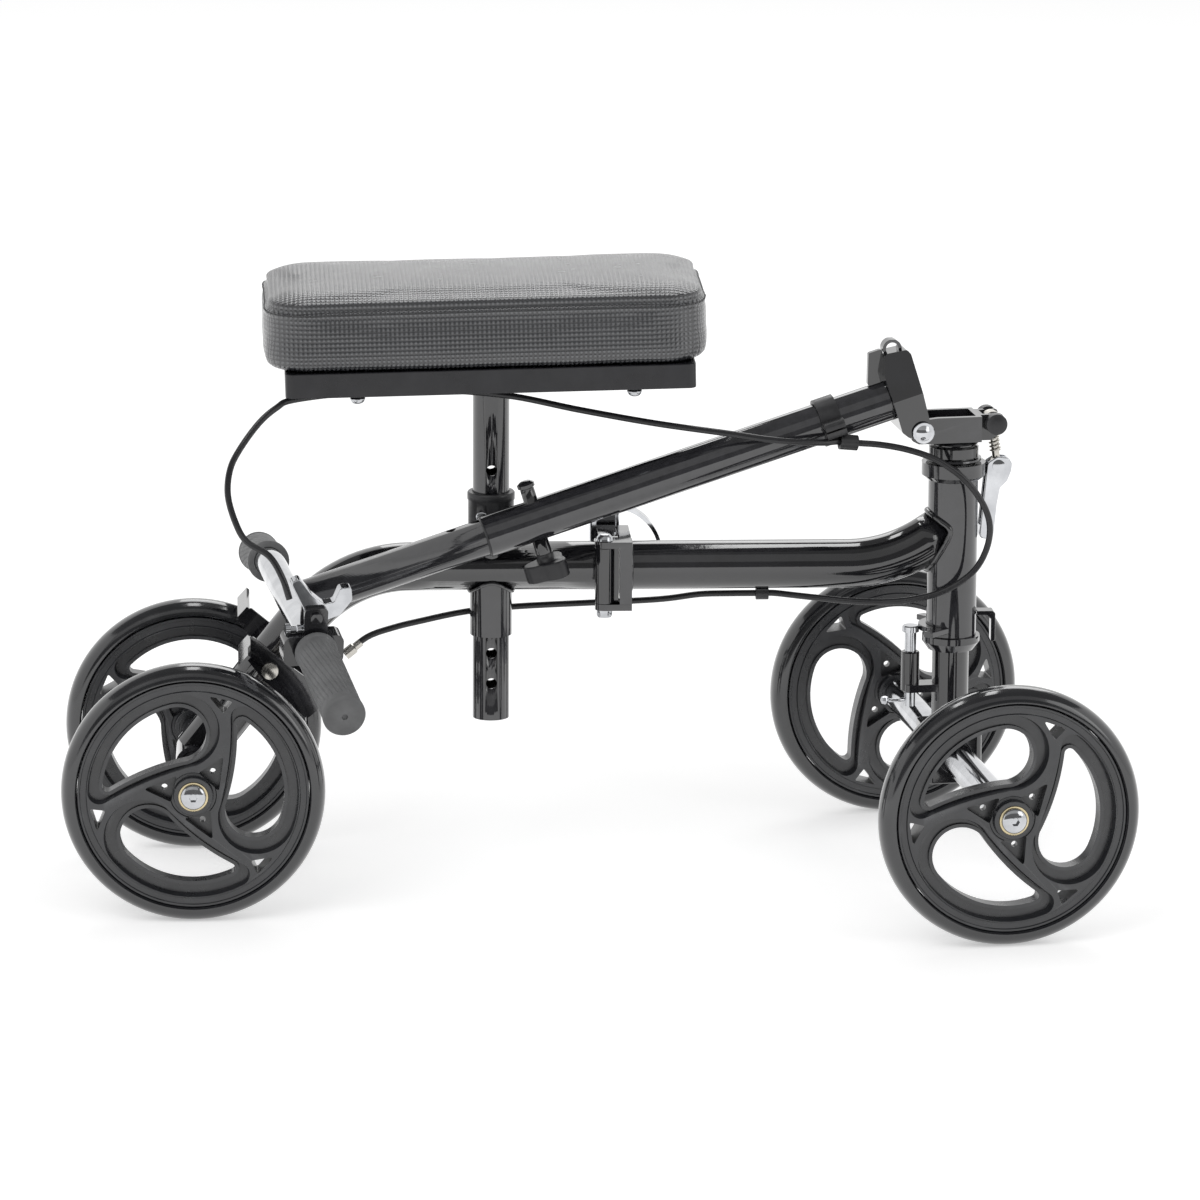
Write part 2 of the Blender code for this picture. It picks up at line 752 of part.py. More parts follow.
def wheel_bolt():
    """Button-head bolt through the hub: Z runs outward, the head beyond the hub's face."""
    face = HUB_W / 2 + GAP
    inner = -HUB_W / 2 - AXLE_BOLT_REACH
    profile = [
        (0, inner),
        (AXLE_BOLT_R, inner),
        (AXLE_BOLT_R, face),
        (AXLE_HEAD_R, face),
        (AXLE_HEAD_R, face + 1.5 * mm),
        (AXLE_HEAD_R * 0.82, face + 1.9 * mm),
        (AXLE_HEAD_R * 0.66, face + AXLE_HEAD_T * 0.8),
        (AXLE_HEAD_R * 0.35, face + AXLE_HEAD_T),
        (0, face + AXLE_HEAD_T),
    ]
    return turned(profile, SMALL_STEPS)


def add_wheel(name, carrier, location, outward, phase):
    """A wheel on an empty at its centre, whose local Z points outward along the axle."""
    facing = (-outward * math.pi / 2, 0, 0)
    hub = add_empty(name, carrier, location, facing)
    add_rim(name + "_rim", hub, outward, phase)
    add_object(name + "_tyre", tyre_mesh(), hub, tyre_rubber())
    bolt = add_object(name + "_bolt", wheel_bolt(), carrier, chrome())
    bolt.matrix_local = Matrix.Translation(location) @ Matrix.Rotation(facing[0], 4, "X")


# Frame, front half

def front_tube_path():
    """From the hinge plate forward and up into the head tube."""
    rise_x = FRONT_X - FRONT_BEND_X
    corners = [
        (HINGE_X + HINGE_FRONT_T + GAP, 0, FRAME_Z),
        (FRONT_BEND_X, 0, FRAME_Z),
        (FRONT_X, 0, FRAME_Z + rise_x * math.tan(FRONT_RISE)),
    ]
    return fillet_path(corners, [FRONT_BEND_R], 8.0 * deg)


def add_main_tube_front(frame):
    """The front tube, mitred to the head tube."""
    bm = swept(front_tube_path(), FRAME_R, FRAME_R - FRAME_WALL, SWEPT_STEPS)
    tube = add_object("main_tube_front", bm, frame, gloss_black())
    mitre = rod(HEAD_R + GAP, HEAD_BOTTOM, HEAD_TOP, BIG_STEPS)
    tool = cutter("mitre_guide", mitre, frame, Matrix.Translation((FRONT_X, 0, 0)))
    beyond = prism(round_rect(2 * HEAD_R, 4 * HEAD_R, 1 * mm, 1), HEAD_BOTTOM, HEAD_TOP)
    ahead = cutter("ahead_guide", beyond, frame, Matrix.Translation((FRONT_X + HEAD_R, 0, 0)))
    finish_cuts(tube, [tool, ahead])


def add_head_tube(frame):
    bm = pipe(HEAD_R, HEAD_R - HEAD_WALL, HEAD_BOTTOM, HEAD_TOP, BIG_STEPS)
    head = add_object("head_tube", bm, frame, gloss_black(), Matrix.Translation((FRONT_X, 0, 0)))
    return head


def add_cups(frame):
    """Headset cups pressed on the head tube's ends, open round the steerer."""
    bore = STEERER_R + SLIDE_GAP
    up = HEAD_TOP + GAP
    low = HEAD_BOTTOM - GAP
    upper = [
        (bore, up),
        (HEAD_R + 1.0 * mm, up),
        (CUP_R, up + 4.0 * mm),
        (CUP_R, up + UPPER_CUP_H),
        (bore, up + UPPER_CUP_H),
    ]
    lower = [
        (bore, low),
        (bore, low - LOWER_CUP_H),
        (STEERER_R + 3.5 * mm, low - LOWER_CUP_H),
        (CUP_LOW_R, low - 5.0 * mm),
        (CUP_LOW_R, low),
    ]
    place = Matrix.Translation((FRONT_X, 0, 0))
    add_object("headset_upper_cup", turned(upper, TUBE_STEPS + 4, True), frame, gloss_black(), place)
    add_object("headset_lower_cup", turned(lower, TUBE_STEPS + 4, True), frame, gloss_black(), place)


def add_steering_stop(frame):
    """The fork-shaped plate behind the head tube whose two arms stop the locking pin."""
    inner = HEAD_R + GAP
    outer = STOP_REACH
    half = STOP_ARM_AT / deg
    outline = arc(0, 0, outer, 180 - half - 12, 180 - half, 2)
    outline += arc(0, 0, PIN_PATH_R - LOCK_PIN_R - 2 * mm, 180 - half, 180 + half, 6)
    outline += arc(0, 0, outer, 180 + half, 180 + half + 12, 2)
    outline += arc(0, 0, inner, 180 + half + 30, 180 - half - 30, 10)
    bm = prism(outline, STOP_Z, STOP_Z + STOP_T)
    add_object("steering_stop", bm, frame, gloss_black(), Matrix.Translation((FRONT_X, 0, 0)))


def add_head_hook(frame):
    """The bent strap at the lower front of the head tube."""
    reach = 14.5 * mm
    strap = 3.5 * mm
    outline = rounded_corners([(0, 0), (reach - 2 * mm, 0), (reach, -2 * mm), (reach, -24 * mm),
                               (reach - strap, -25 * mm), (reach - strap, -strap - 3 * mm),
                               (reach - strap - 3 * mm, -strap), (0, -strap)], 1.2 * mm, 2)
    bm = prism(outline, -6.0 * mm, 6.0 * mm)
    place = side_plate((FRONT_X + HEAD_R + GAP, 0, HOOK_TOP))
    add_object("head_hook", bm, frame, gloss_black(), place)


def hinge_outline(start_y):
    """The hinge plate's chamfered outline across the tube, from start_y to the left edge."""
    low = FRAME_Z - HINGE_H / 2
    high = FRAME_Z + HINGE_H / 2
    return rounded_corners([(start_y, low), (HINGE_HALF_W, low), (HINGE_HALF_W, high), (start_y, high)],
                           6 * mm)


def ear_outline():
    """One ear of the front plate, round the pin and back to the plate."""
    back = HINGE_X - HINGE_AXIS_X + HINGE_FRONT_T
    return [(back, -HINGE_BARREL_R)] + [(back, HINGE_BARREL_R)] + arc(0, 0, HINGE_BARREL_R, 90, 270, 8)


def add_hinge_front(frame):
    """The front tube's end plate, with an ear above and one below the rear plate's barrel."""
    start = HINGE_PIN_Y - HINGE_BARREL_R
    plate = prism(hinge_outline(start), 0, HINGE_FRONT_T)
    item = add_object("hinge_plate_front", plate, frame, gloss_black(), front_plate((HINGE_X, 0, 0)))
    pin = Matrix.Translation((HINGE_AXIS_X, HINGE_PIN_Y, 0))
    ears = []
    for name, low in (("low", FRAME_Z - HINGE_H / 2), ("top", FRAME_Z + HINGE_H / 2 - HINGE_EAR_T)):
        ears.append(cutter("ear_" + name, prism(ear_outline(), low, low + HINGE_EAR_T), frame, pin))
    reach = HINGE_H / 2 - HINGE_EAR_T
    barrel = rod(HINGE_BARREL_R + 2 * GAP, FRAME_Z - reach, FRAME_Z + reach, TUBE_STEPS)
    bore = rod(HINGE_PIN_R + SLIDE_GAP, FRAME_Z - HINGE_H, FRAME_Z + HINGE_H, SMALL_STEPS)
    finish_cuts(item, [cutter("barrel_room", barrel, frame, pin), cutter("pin_bore", bore, frame, pin)], ears)


def add_hinge_pin(frame):
    """The long bolt through the barrels, with a domed head above and a nut below."""
    low = FRAME_Z - HINGE_H / 2
    high = FRAME_Z + HINGE_H / 2
    profile = [
        (0, low - 6.5 * mm), (5.4 * mm, low - 6.0 * mm), (6.2 * mm, low - 4.5 * mm),
        (6.2 * mm, low - GAP), (HINGE_PIN_R, low - GAP), (HINGE_PIN_R, high + GAP),
        (6.4 * mm, high + GAP), (6.0 * mm, high + 3.0 * mm), (4.0 * mm, high + 5.2 * mm),
        (0, high + 6.0 * mm),
    ]
    place = Matrix.Translation((HINGE_AXIS_X, HINGE_PIN_Y, 0))
    add_object("hinge_bolt", turned(profile, SMALL_STEPS), frame, chrome(), place)


def add_cable_clip(name, parent, matrix, reach, width=10 * mm):
    """A small strap clip: a ring round the cable under a foot that meets the tube."""
    ring = CABLE_R + 2.6 * mm
    outline = arc(0, 0, ring, 150, 390, 8) + [(ring * 0.87, reach), (-ring * 0.87, reach)]
    bm = prism(outline, -width / 2, width / 2)
    clip = add_object(name, bm, parent, black_plastic(), matrix)
    bore = cutter(name + "_bore", rod(CABLE_R + 2 * GAP, -width, width, 10), parent, matrix)
    finish_cuts(clip, [bore])


# Frame, rear half, placed from the hinge pin

def rear(matrix):
    """A chassis matrix seen from the rear frame's empty on the hinge pin."""
    return Matrix.Translation((-HINGE_AXIS_X, -HINGE_PIN_Y, 0)) @ matrix


def drop_x():
    """Where the straight rear tube's line meets the sloping one."""
    return REAR_X + (FRAME_Z - WHEEL_R) / math.tan(REAR_DROP)


def rear_tube_path():
    slope = Vector((-math.cos(REAR_DROP), 0, -math.sin(REAR_DROP)))
    axle = Vector((REAR_X, 0, WHEEL_R))
    end = axle - slope * REAR_SADDLE
    corners = [(HINGE_X - HINGE_REAR_T - GAP, 0, FRAME_Z), (drop_x(), 0, FRAME_Z), end]
    return fillet_path(corners, [REAR_BEND_R], 12.0 * deg)


def add_main_tube_rear(empty):
    """The rear tube, holed for the seat post's sleeve, then bent down to the axle."""
    bm = swept(rear_tube_path(), FRAME_R, FRAME_R - FRAME_WALL, SWEPT_STEPS)
    tube = add_object("main_tube_rear", bm, empty, gloss_black(), rear(Matrix.Identity(4)))
    hole = rod(SLEEVE_R + GAP, SLEEVE_BOTTOM, COLLAR_BOTTOM, TUBE_STEPS + 4)
    tool = cutter("sleeve_guide", hole, empty, rear(Matrix.Translation((POST_X, 0, 0))))
    bolt = rod(YOKE_BOLT_R + GAP, -2 * FRAME_R, 2 * FRAME_R, SMALL_STEPS)
    across = cutter("yoke_bolt_guide", bolt, empty, rear(axis_y((YOKE_X, 0, YOKE_Z))))
    saddle = rod(REAR_CROSS_R + GAP, -2 * FRAME_R, 2 * FRAME_R, TUBE_STEPS)
    seat = cutter("cross_guide", saddle, empty, rear(axis_y((REAR_X, 0, WHEEL_R))))
    finish_cuts(tube, [tool, across, seat])


def add_hinge_rear(empty):
    """The rear tube's end plate, joined to the barrel that turns on the pin."""
    start = HINGE_PIN_Y + HINGE_BARREL_R + HINGE_EAR_ROOM
    plate = prism(hinge_outline(start), -HINGE_REAR_T, -2 * GAP)
    place = rear(front_plate((HINGE_X, 0, 0)))
    item = add_object("hinge_plate_rear", plate, empty, gloss_black(), place)
    reach = HINGE_H / 2 - HINGE_EAR_T - GAP
    pin = rear(Matrix.Translation((HINGE_AXIS_X, HINGE_PIN_Y, 0)))
    barrel = rod(HINGE_BARREL_R, FRAME_Z - reach, FRAME_Z + reach, TUBE_STEPS)
    back = HINGE_X - HINGE_REAR_T - HINGE_AXIS_X
    front = HINGE_X - 2 * GAP - HINGE_AXIS_X
    far = start + 1 * mm - HINGE_PIN_Y
    web = prism([(back, 0), (front, 0), (front, far), (back, far)], FRAME_Z - reach, FRAME_Z + reach)
    bore = rod(HINGE_PIN_R + SLIDE_GAP, FRAME_Z - HINGE_H, FRAME_Z + HINGE_H, SMALL_STEPS)
    joins = [cutter("barrel", barrel, empty, pin), cutter("barrel_web", web, empty, pin)]
    finish_cuts(item, [cutter("barrel_bore", bore, empty, pin)], joins)


def add_sleeve_and_collar(empty):
    """The sleeve welded through the tube and the plastic clamp collar on top of it."""
    bore = POST_R + SLIDE_GAP
    place = rear(Matrix.Translation((POST_X, 0, 0)))
    sleeve = pipe(SLEEVE_R, bore, SLEEVE_BOTTOM, COLLAR_BOTTOM - GAP, TUBE_STEPS + 4)
    add_object("seat_post_sleeve", sleeve, empty, gloss_black(), place)
    profile = [
        (bore, COLLAR_BOTTOM), (COLLAR_R, COLLAR_BOTTOM), (COLLAR_R, COLLAR_TOP - 7 * mm),
        (COLLAR_R + 0.7 * mm, COLLAR_TOP - 6 * mm), (COLLAR_R + 0.7 * mm, COLLAR_TOP - 1 * mm),
        (COLLAR_R, COLLAR_TOP), (bore, COLLAR_TOP),
    ]
    collar = add_object("seat_post_collar", turned(profile, TUBE_STEPS + 4, True), empty, black_plastic(), place)
    screw_at = Vector((POST_X - 8 * mm, -COLLAR_R + 2 * mm, COLLAR_BOTTOM + 10 * mm))
    screw = turned([(0, -2 * mm), (4 * mm, -2 * mm), (4 * mm, 0.6 * mm), (3.2 * mm, 2 * mm), (0, 2.4 * mm)], 10)
    spot = rear(Matrix.Translation(screw_at) @ Matrix.Rotation(math.pi / 2, 4, "X"))
    finish_cuts(collar, [], [cutter("collar_screw", screw, empty, spot)])


def add_rear_axle(empty):
    """The cross tube between the rear wheels, clamped under the sloping tube's end."""
    half = REAR_TRACK / 2 - HUB_W / 2 - AXLE_SHOULDER
    axle = pipe(AXLE_TUBE_R, AXLE_BOLT_R + GAP, -half, half, TUBE_STEPS)
    place = rear(Matrix.Translation((REAR_X, 0, WHEEL_R)) @ Matrix.Rotation(-math.pi / 2, 4, "X"))
    add_object("rear_axle_tube", axle, empty, chrome(), place)
    cross = pipe(REAR_CROSS_R, AXLE_TUBE_R + GAP, -REAR_CROSS_HALF, REAR_CROSS_HALF, TUBE_STEPS)
    add_object("rear_axle_clamp", cross, empty, gloss_black(), place)


# Mid-frame latch on the left side

def add_frame_latch(frame):
    """The clamp block beside the hinge plates, and the curved lever that turns on its upright pin."""
    near_y = HINGE_HALF_W + GAP
    far_y = near_y + LATCH_DEPTH
    low = LATCH_Z - LATCH_H / 2
    high = LATCH_Z + LATCH_H / 2
    front = HINGE_X + 3 * mm
    back = HINGE_X - 20 * mm
    outline = rounded_corners([
        (HINGE_X + 0.3 * mm, near_y), (front, near_y), (front, far_y),
        (back, far_y), (back, near_y + 2.5 * mm), (HINGE_X + 0.3 * mm, near_y + 2.5 * mm),
    ], 2 * mm, 1)
    block = add_object("frame_latch_block", prism(outline, low, high), frame, chrome())
    pin_x = front - 6 * mm
    pin_y = near_y + LATCH_DEPTH / 2
    spot = Matrix.Translation((pin_x, pin_y, 0))
    pin = rod(2.5 * mm, high - 3 * mm, high + 5 * mm + LATCH_LEVER_LIFT, SMALL_STEPS)
    finish_cuts(block, [], [cutter("latch_pin", pin, frame, spot)])
    lever = add_empty("frame_latch", frame, (pin_x, pin_y, 0))
    disc = rod(6.5 * mm, high + GAP, high + 4 * mm + LATCH_LEVER_LIFT, 12)
    item = add_object("frame_latch_lever", disc, lever, chrome())
    strap = arc(0, 0, LATCH_LEVER_R, 90, 12, 8) + arc(0, 0, LATCH_LEVER_R - 3 * mm, 12, 90, 8)
    turn = side_plate((0, 0, high + 4 * mm + LATCH_LEVER_LIFT - LATCH_LEVER_R))
    bore = cutter("lever_bore", rod(2.5 * mm + SLIDE_GAP, low, high + 9 * mm, SMALL_STEPS), lever)
    finish_cuts(item, [bore], [cutter("lever_strap", prism(strap, -6 * mm, 6 * mm), lever, turn)])


# Steering head and fork, in the frame of the steering axis

def add_fork(steering):
    """The steerer, from the front axle's crown up through the head tube to the column's base."""
    steerer = rod(STEERER_R, CROWN_TOP - 2 * mm, BASE_LOW + 4 * mm, TUBE_STEPS + 4)
    item = add_object("fork_steerer", steerer, steering, gloss_black())
    half = CROWN_HALF
    crown = prism(round_rect(CROWN_L, 2 * half, 5 * mm, 2), WHEEL_R - CROWN_L / 2, CROWN_TOP)
    bore = rod(AXLE_TUBE_FRONT_R + GAP, -2 * half, 2 * half, TUBE_STEPS + 4)
    finish_cuts(item, [cutter("axle_bore", bore, steering, axis_y((0, 0, WHEEL_R)))],
                [cutter("crown", crown, steering)])


def add_front_axle(steering):
    """The bright cross tube that carries the two front wheels."""
    half = FRONT_TRACK / 2 - HUB_W / 2 - AXLE_SHOULDER
    place = axis_y((0, 0, WHEEL_R))
    axle = pipe(AXLE_TUBE_FRONT_R, AXLE_BOLT_R + GAP, -half, half, TUBE_STEPS + 4)
    add_object("front_axle_tube", axle, steering, chrome(), place)


def add_locknut(steering):
    """The stack above the upper cup: a washer, a ribbed spacer and an eight-sided nut."""
    bore = STEERER_R + GAP
    low = HEAD_TOP + UPPER_CUP_H + 2 * GAP
    profile = [
        (bore, low), (17.5 * mm, low), (17.5 * mm, low + 4 * mm), (19.5 * mm, low + 4.5 * mm),
        (19.5 * mm, low + 12 * mm), (18 * mm, low + 13 * mm), (19.0 * mm, low + 15 * mm),
        (16.5 * mm, BASE_LOW - GAP), (bore, BASE_LOW - GAP),
    ]
    add_object("headset_locknut", turned(profile, 16, True), steering, gloss_black())


def add_column_base(steering):
    """The saddle on the steerer: two cheeks that carry the column's pivot, and a narrower slotted nose."""
    rear_x = -PIVOT_BACK - 8.3 * mm
    outline = rounded_corners([
        (rear_x, PIVOT_Z - 7 * mm), (rear_x + 6 * mm, BASE_LOW), (BASE_FRONT_X - 10 * mm, BASE_LOW),
        (BASE_FRONT_X, BASE_LOW + 6 * mm), (BASE_FRONT_X, LATCH_PIN_Z + 7 * mm), (BASE_NOSE_X, BASE_TOP),
        (-17 * mm, BASE_TOP), (rear_x + 2 * mm, PIVOT_Z + 8 * mm),
    ], 3 * mm, 2)
    block = prism(outline, -BASE_HALF_W, BASE_HALF_W)
    base = add_object("column_base", block, steering, gloss_black(), side_plate())
    gap_high = BASE_TOP + 5 * mm
    length = BASE_NOSE_X - 4 * mm - rear_x + 10 * mm
    centre = rear_x - 10 * mm + length / 2
    channel = prism(round_rect(length, 2 * BASE_HALF_W - 2 * CHEEK_T, 1 * mm, 1, centre), BASE_LOW + 9 * mm, gap_high)
    place = axis_y((-PIVOT_BACK, 0, PIVOT_Z))
    tools = [
        cutter("cheek_channel", channel, steering),
        cutter("pivot_bore", rod(PIVOT_R + GAP, -40 * mm, 40 * mm, SMALL_STEPS), steering, place),
        cutter("latch_bore", rod(LATCH_PIN_R + GAP, -40 * mm, 40 * mm, SMALL_STEPS), steering,
               axis_y((LATCH_PIN_X, 0, LATCH_PIN_Z))),
        cutter("steerer_room", rod(STEERER_R + GAP, 0, BASE_LOW + 4 * mm + GAP, TUBE_STEPS + 4), steering),
        cutter("stud_room", prism(round_rect(40 * mm, 15 * mm, 1 * mm, 1, LATCH_PIN_X + 11 * mm), 0,
                                  BASE_TOP + 9 * mm), steering),
    ]
    for side in (-1, 1):
        aside = side * (BASE_NOSE_HALF + 10 * mm)
        outline = round_rect(40 * mm, 20 * mm, 2 * mm, 1, BASE_NOSE_X + 20 * mm, aside)
        wide = prism(outline, 0, gap_high + 9 * mm)
        tools.append(cutter(f"nose_side_{side + 1}", wide, steering))
    finish_cuts(base, tools)


def headed_pin(radius, head_r, head_t, half, dome):
    """A cross pin with a head at each end, along Z."""
    profile = [(0, -half - head_t - dome), (head_r * 0.6, -half - head_t - dome * 0.7),
               (head_r, -half - head_t), (head_r, -half), (radius, -half), (radius, half),
               (head_r, half), (head_r, half + head_t), (head_r * 0.6, half + head_t + dome * 0.7),
               (0, half + head_t + dome)]
    return turned(profile, SMALL_STEPS)


def add_head_pins(steering):
    """The column's pivot bolt and the latch's cross pin with its two round plastic ends."""
    half = FLANGE_HALF_W + GAP
    bolt = headed_pin(PIVOT_R, 7.2 * mm, 2.0 * mm, half, 3.0 * mm)
    add_object("column_pivot_bolt", bolt, steering, chrome(), axis_y((-PIVOT_BACK, 0, PIVOT_Z)))
    pin = headed_pin(LATCH_PIN_R, LATCH_CAP_R, LATCH_CAP_T, BASE_NOSE_HALF + GAP, 1.0 * mm)
    add_object("latch_cross_pin", pin, steering, black_plastic(), axis_y((LATCH_PIN_X, 0, LATCH_PIN_Z)))


def coil_path(radius, pitch, turns, start):
    """One unbroken helix along Z, its ends running straight for one wire diameter."""
    points = []
    count = round(turns * COIL_POINTS)
    for i in range(count + 1):
        angle = 2 * math.pi * i / COIL_POINTS
        points.append(Vector((radius * math.cos(angle), radius * math.sin(angle),
                              start + pitch * i / COIL_POINTS)))
    lead = Vector((0, -2 * SPRING_WIRE_R, 0))
    tail = Vector((-points[-1].y, points[-1].x, 0)).normalized() * 2 * SPRING_WIRE_R
    return [points[0] + lead] + points + [points[-1] + tail]


def add_column_latch(steering):
    """The hanging clamp: a threaded stud with its spring, and the bright cam lever below it."""
    swing = add_empty("latch_swing", steering, (LATCH_PIN_X, 0, LATCH_PIN_Z), (0, math.pi - LATCH_HANG, 0))
    shank = rod(LATCH_STUD_R, LATCH_PIN_R + 1 * mm, LATCH_STUD_L, 12)
    stud = add_object("latch_stud", shank, swing, zinc())
    eye = rod(LATCH_PIN_R + 3.5 * mm, -5 * mm, 5 * mm, SMALL_STEPS)
    foot = rod(LATCH_FOOT_R, -3.2 * mm, 3.2 * mm, 12)
    bore = rod(LATCH_PIN_R + SLIDE_GAP, -9 * mm, 9 * mm, SMALL_STEPS)
    foot_bore = rod(LEVER_PIN_R + SLIDE_GAP, -9 * mm, 9 * mm, 12)
    low = (0, 0, LATCH_STUD_L)
    joins = [cutter("stud_eye", eye, swing, axis_y()), cutter("stud_foot", foot, swing, axis_y(low))]
    cuts = [cutter("eye_bore", bore, swing, axis_y()), cutter("foot_bore", foot_bore, swing, axis_y(low))]
    finish_cuts(stud, cuts, joins)
    spring_r = LATCH_STUD_R + SPRING_WIRE_R + GAP
    path = coil_path(spring_r, SPRING_PITCH, SPRING_TURNS, SPRING_START)
    least = SPRING_PITCH - 2 * SPRING_WIRE_R
    print(f"latch spring: least gap between turns {least / mm:.2f} mm")
    add_object("latch_spring", swept(path, SPRING_WIRE_R, 0.0, 6), swing, zinc())
    lever = add_empty("latch_lever_pivot", swing, low, (0, LEVER_LEAN, 0))
    outline = rounded_corners([
        (-7 * mm, -7.5 * mm), (2 * mm, -7.5 * mm), (9.1 * mm, -2 * mm), (7.0 * mm, LEVER_L), (-4.0 * mm, LEVER_L),
        (-3.0 * mm, 30 * mm), (-3.6 * mm, 17 * mm), (-8.5 * mm, 11 * mm), (-10.5 * mm, 3 * mm), (-10.5 * mm, -3 * mm),
    ], 4 * mm, 2)
    body = prism(outline, -LEVER_HALF_W, LEVER_HALF_W)
    turn = Matrix.Rotation(math.pi / 2, 4, "X")
    handle = add_object("latch_lever", body, lever, chrome(), turn)
    slot = prism(round_rect(40 * mm, 2 * LEVER_SLOT, 0.5 * mm, 1), -30 * mm, LEVER_L - 10 * mm)
    pin = headed_pin(LEVER_PIN_R, 5 * mm, 1.0 * mm, LEVER_HALF_W, 0.6 * mm)
    hollow = cutter("lever_slot", slot, lever, Matrix.Translation((LEVER_SLOT_SHIFT, 0, 0)))
    finish_cuts(handle, [hollow])
    finish_cuts(handle, [], [cutter("lever_pin", pin, lever, axis_y())])


def add_steering_lock(steering):
    """The sleeve on the fork with its sprung pin, pulled down by a ball ring to free the steering."""
    place = Matrix.Translation((-PIN_PATH_R, 0, 0))
    sleeve = pipe(LOCK_SLEEVE_R, LOCK_PIN_R + SLIDE_GAP, LOCK_LOW, LOCK_HIGH, TUBE_STEPS - 4, 0.8 * mm)
    arm = prism(round_rect(PIN_PATH_R + 6 * mm, 17 * mm, 4 * mm, 2, PIN_PATH_R / 2 - 2 * mm), LOCK_LOW,
                LOCK_LOW + 6 * mm)
    item = add_object("lock_sleeve", sleeve, steering, gloss_black(), place)
    round_arm = cutter("sleeve_arm", arm, steering, place)
    room = cutter("steerer_gap", rod(STEERER_R + GAP, 0, HEAD_TOP, TUBE_STEPS + 4), steering)
    hole = cutter("sleeve_bore", rod(LOCK_PIN_R + SLIDE_GAP, 0, HEAD_TOP, SMALL_STEPS), steering, place)
    finish_cuts(item, [room, hole], [round_arm])
    low = LOCK_LOW - 12 * mm
    cap = LOCK_TOP - 5 * mm
    pin = turned([(0, low), (LOCK_PIN_R, low), (LOCK_PIN_R, cap), (LOCK_CAP_R, cap),
                  (LOCK_CAP_R, LOCK_TOP - 0.8 * mm), (LOCK_CAP_R - 0.8 * mm, LOCK_TOP), (0, LOCK_TOP)],
                 SMALL_STEPS)
    pin_item = add_object("lock_pin", pin, steering, chrome(), place)
    wire_path = [Vector(p) for p in ((-3 * mm, 0, 0), (-9 * mm, -2 * mm, 0), (-15 * mm, -2 * mm, 0),
                                     (-19 * mm, 0, 0))]
    wire = swept(smooth_curve(wire_path, 3 * mm), 1.4 * mm, 0.0, 8)
    at = Matrix.Translation((-PIN_PATH_R, 0, LOCK_LOW - 7 * mm))
    ball = turned([(0, -3.6 * mm), (2.6 * mm, -2.6 * mm), (3.6 * mm, 0), (2.6 * mm, 2.6 * mm), (0, 3.6 * mm)], 10)
    ball_at = at @ Matrix.Translation((-20 * mm, 0, 0))
    finish_cuts(pin_item, [], [cutter("pull_wire", wire, steering, at), cutter("pull_ball", ball, steering, ball_at)])


# Steering column, in the frame of its pivot: Z up the tube, X towards its front face

def column_place():
    return Matrix.Translation((COLUMN_OFFSET, 0, 0))


def add_column_casting(pivot):
    """The hollow cap under the column: a face plate, two side walls on the pivot and the front eye."""
    boss = arc(0, 0, 8.6 * mm, 130, 250, 5)
    outline = boss + rounded_corners([
        (5 * mm, -7.6 * mm), (26 * mm, -8.6 * mm), (CASTING_FRONT_X - 6 * mm, -10 * mm),
        (CASTING_FRONT_X - 2 * mm, -8 * mm), (CASTING_FRONT_X, 9 * mm), (50 * mm, CASTING_TOP),
        (5 * mm, CASTING_TOP), (-1.5 * mm, 11 * mm),
    ], 3 * mm, 2)
    turn = Matrix.Rotation(math.pi / 2, 4, "X")
    body = prism(outline, -FLANGE_HALF_W, FLANGE_HALF_W)
    item = add_object("column_casting", body, pivot, gloss_black(), turn)
    wide = BASE_HALF_W + 2 * GAP
    narrow = NOSE_HALF_W - (FLANGE_HALF_W - wide)
    room = prism([(-20 * mm, -wide), (TAPER_FROM, -wide), (CASTING_FRONT_X - 6 * mm, -narrow),
                  (CASTING_FRONT_X - 6 * mm, narrow), (TAPER_FROM, wide), (-20 * mm, wide)], -30 * mm, CASTING_PLATE)
    eye = prism(arc(0, 0, 7.5 * mm, 0, 330, 11), -5 * mm, 5 * mm)
    eye_at = Matrix.Translation((CASTING_FRONT_X + 1 * mm, 0, 2 * mm)) @ turn
    lug = rounded_corners([(COLUMN_OFFSET + COLUMN_R + GAP, CASTING_TOP - 2 * mm),
                           (CASTING_FRONT_X + 3 * mm, CASTING_TOP - 6 * mm),
                           (CASTING_FRONT_X + 3 * mm, CASTING_TOP + 5 * mm),
                           (COLUMN_OFFSET + COLUMN_R + GAP, CASTING_TOP + 13 * mm)], 2 * mm)
    lug_body = prism(lug, -2.5 * mm, 2.5 * mm)
    front_eye = cutter("front_eye", eye, pivot, eye_at)
    finish_cuts(front_eye, [cutter("eye_hole", rod(5.0 * mm, -9 * mm, 9 * mm, 12), pivot, eye_at)])
    joins = [front_eye, cutter("front_lug", lug_body, pivot, turn)]
    tube_room = rod(COLUMN_R + GAP, CASTING_TOP, COLUMN_END, BIG_STEPS)
    cuts = [
        cutter("cap_room", room, pivot),
        cutter("casting_bore", rod(PIVOT_R + SLIDE_GAP, -40 * mm, 40 * mm, SMALL_STEPS), pivot, axis_y()),
        cutter("tube_room", tube_room, pivot, column_place()),
    ]
    for side in (-1, 1):
        taper = prism([(TAPER_FROM, side * FLANGE_HALF_W), (CASTING_FRONT_X + 12 * mm, side * NOSE_HALF_W * 0.8),
                       (CASTING_FRONT_X + 12 * mm, side * 2 * FLANGE_HALF_W),
                       (TAPER_FROM, side * 2 * FLANGE_HALF_W)][::side], -30 * mm, 40 * mm)
        cuts.append(cutter(f"side_taper_{side + 1}", taper, pivot))
    finish_cuts(item, cuts)
    finish_cuts(item, [], joins)


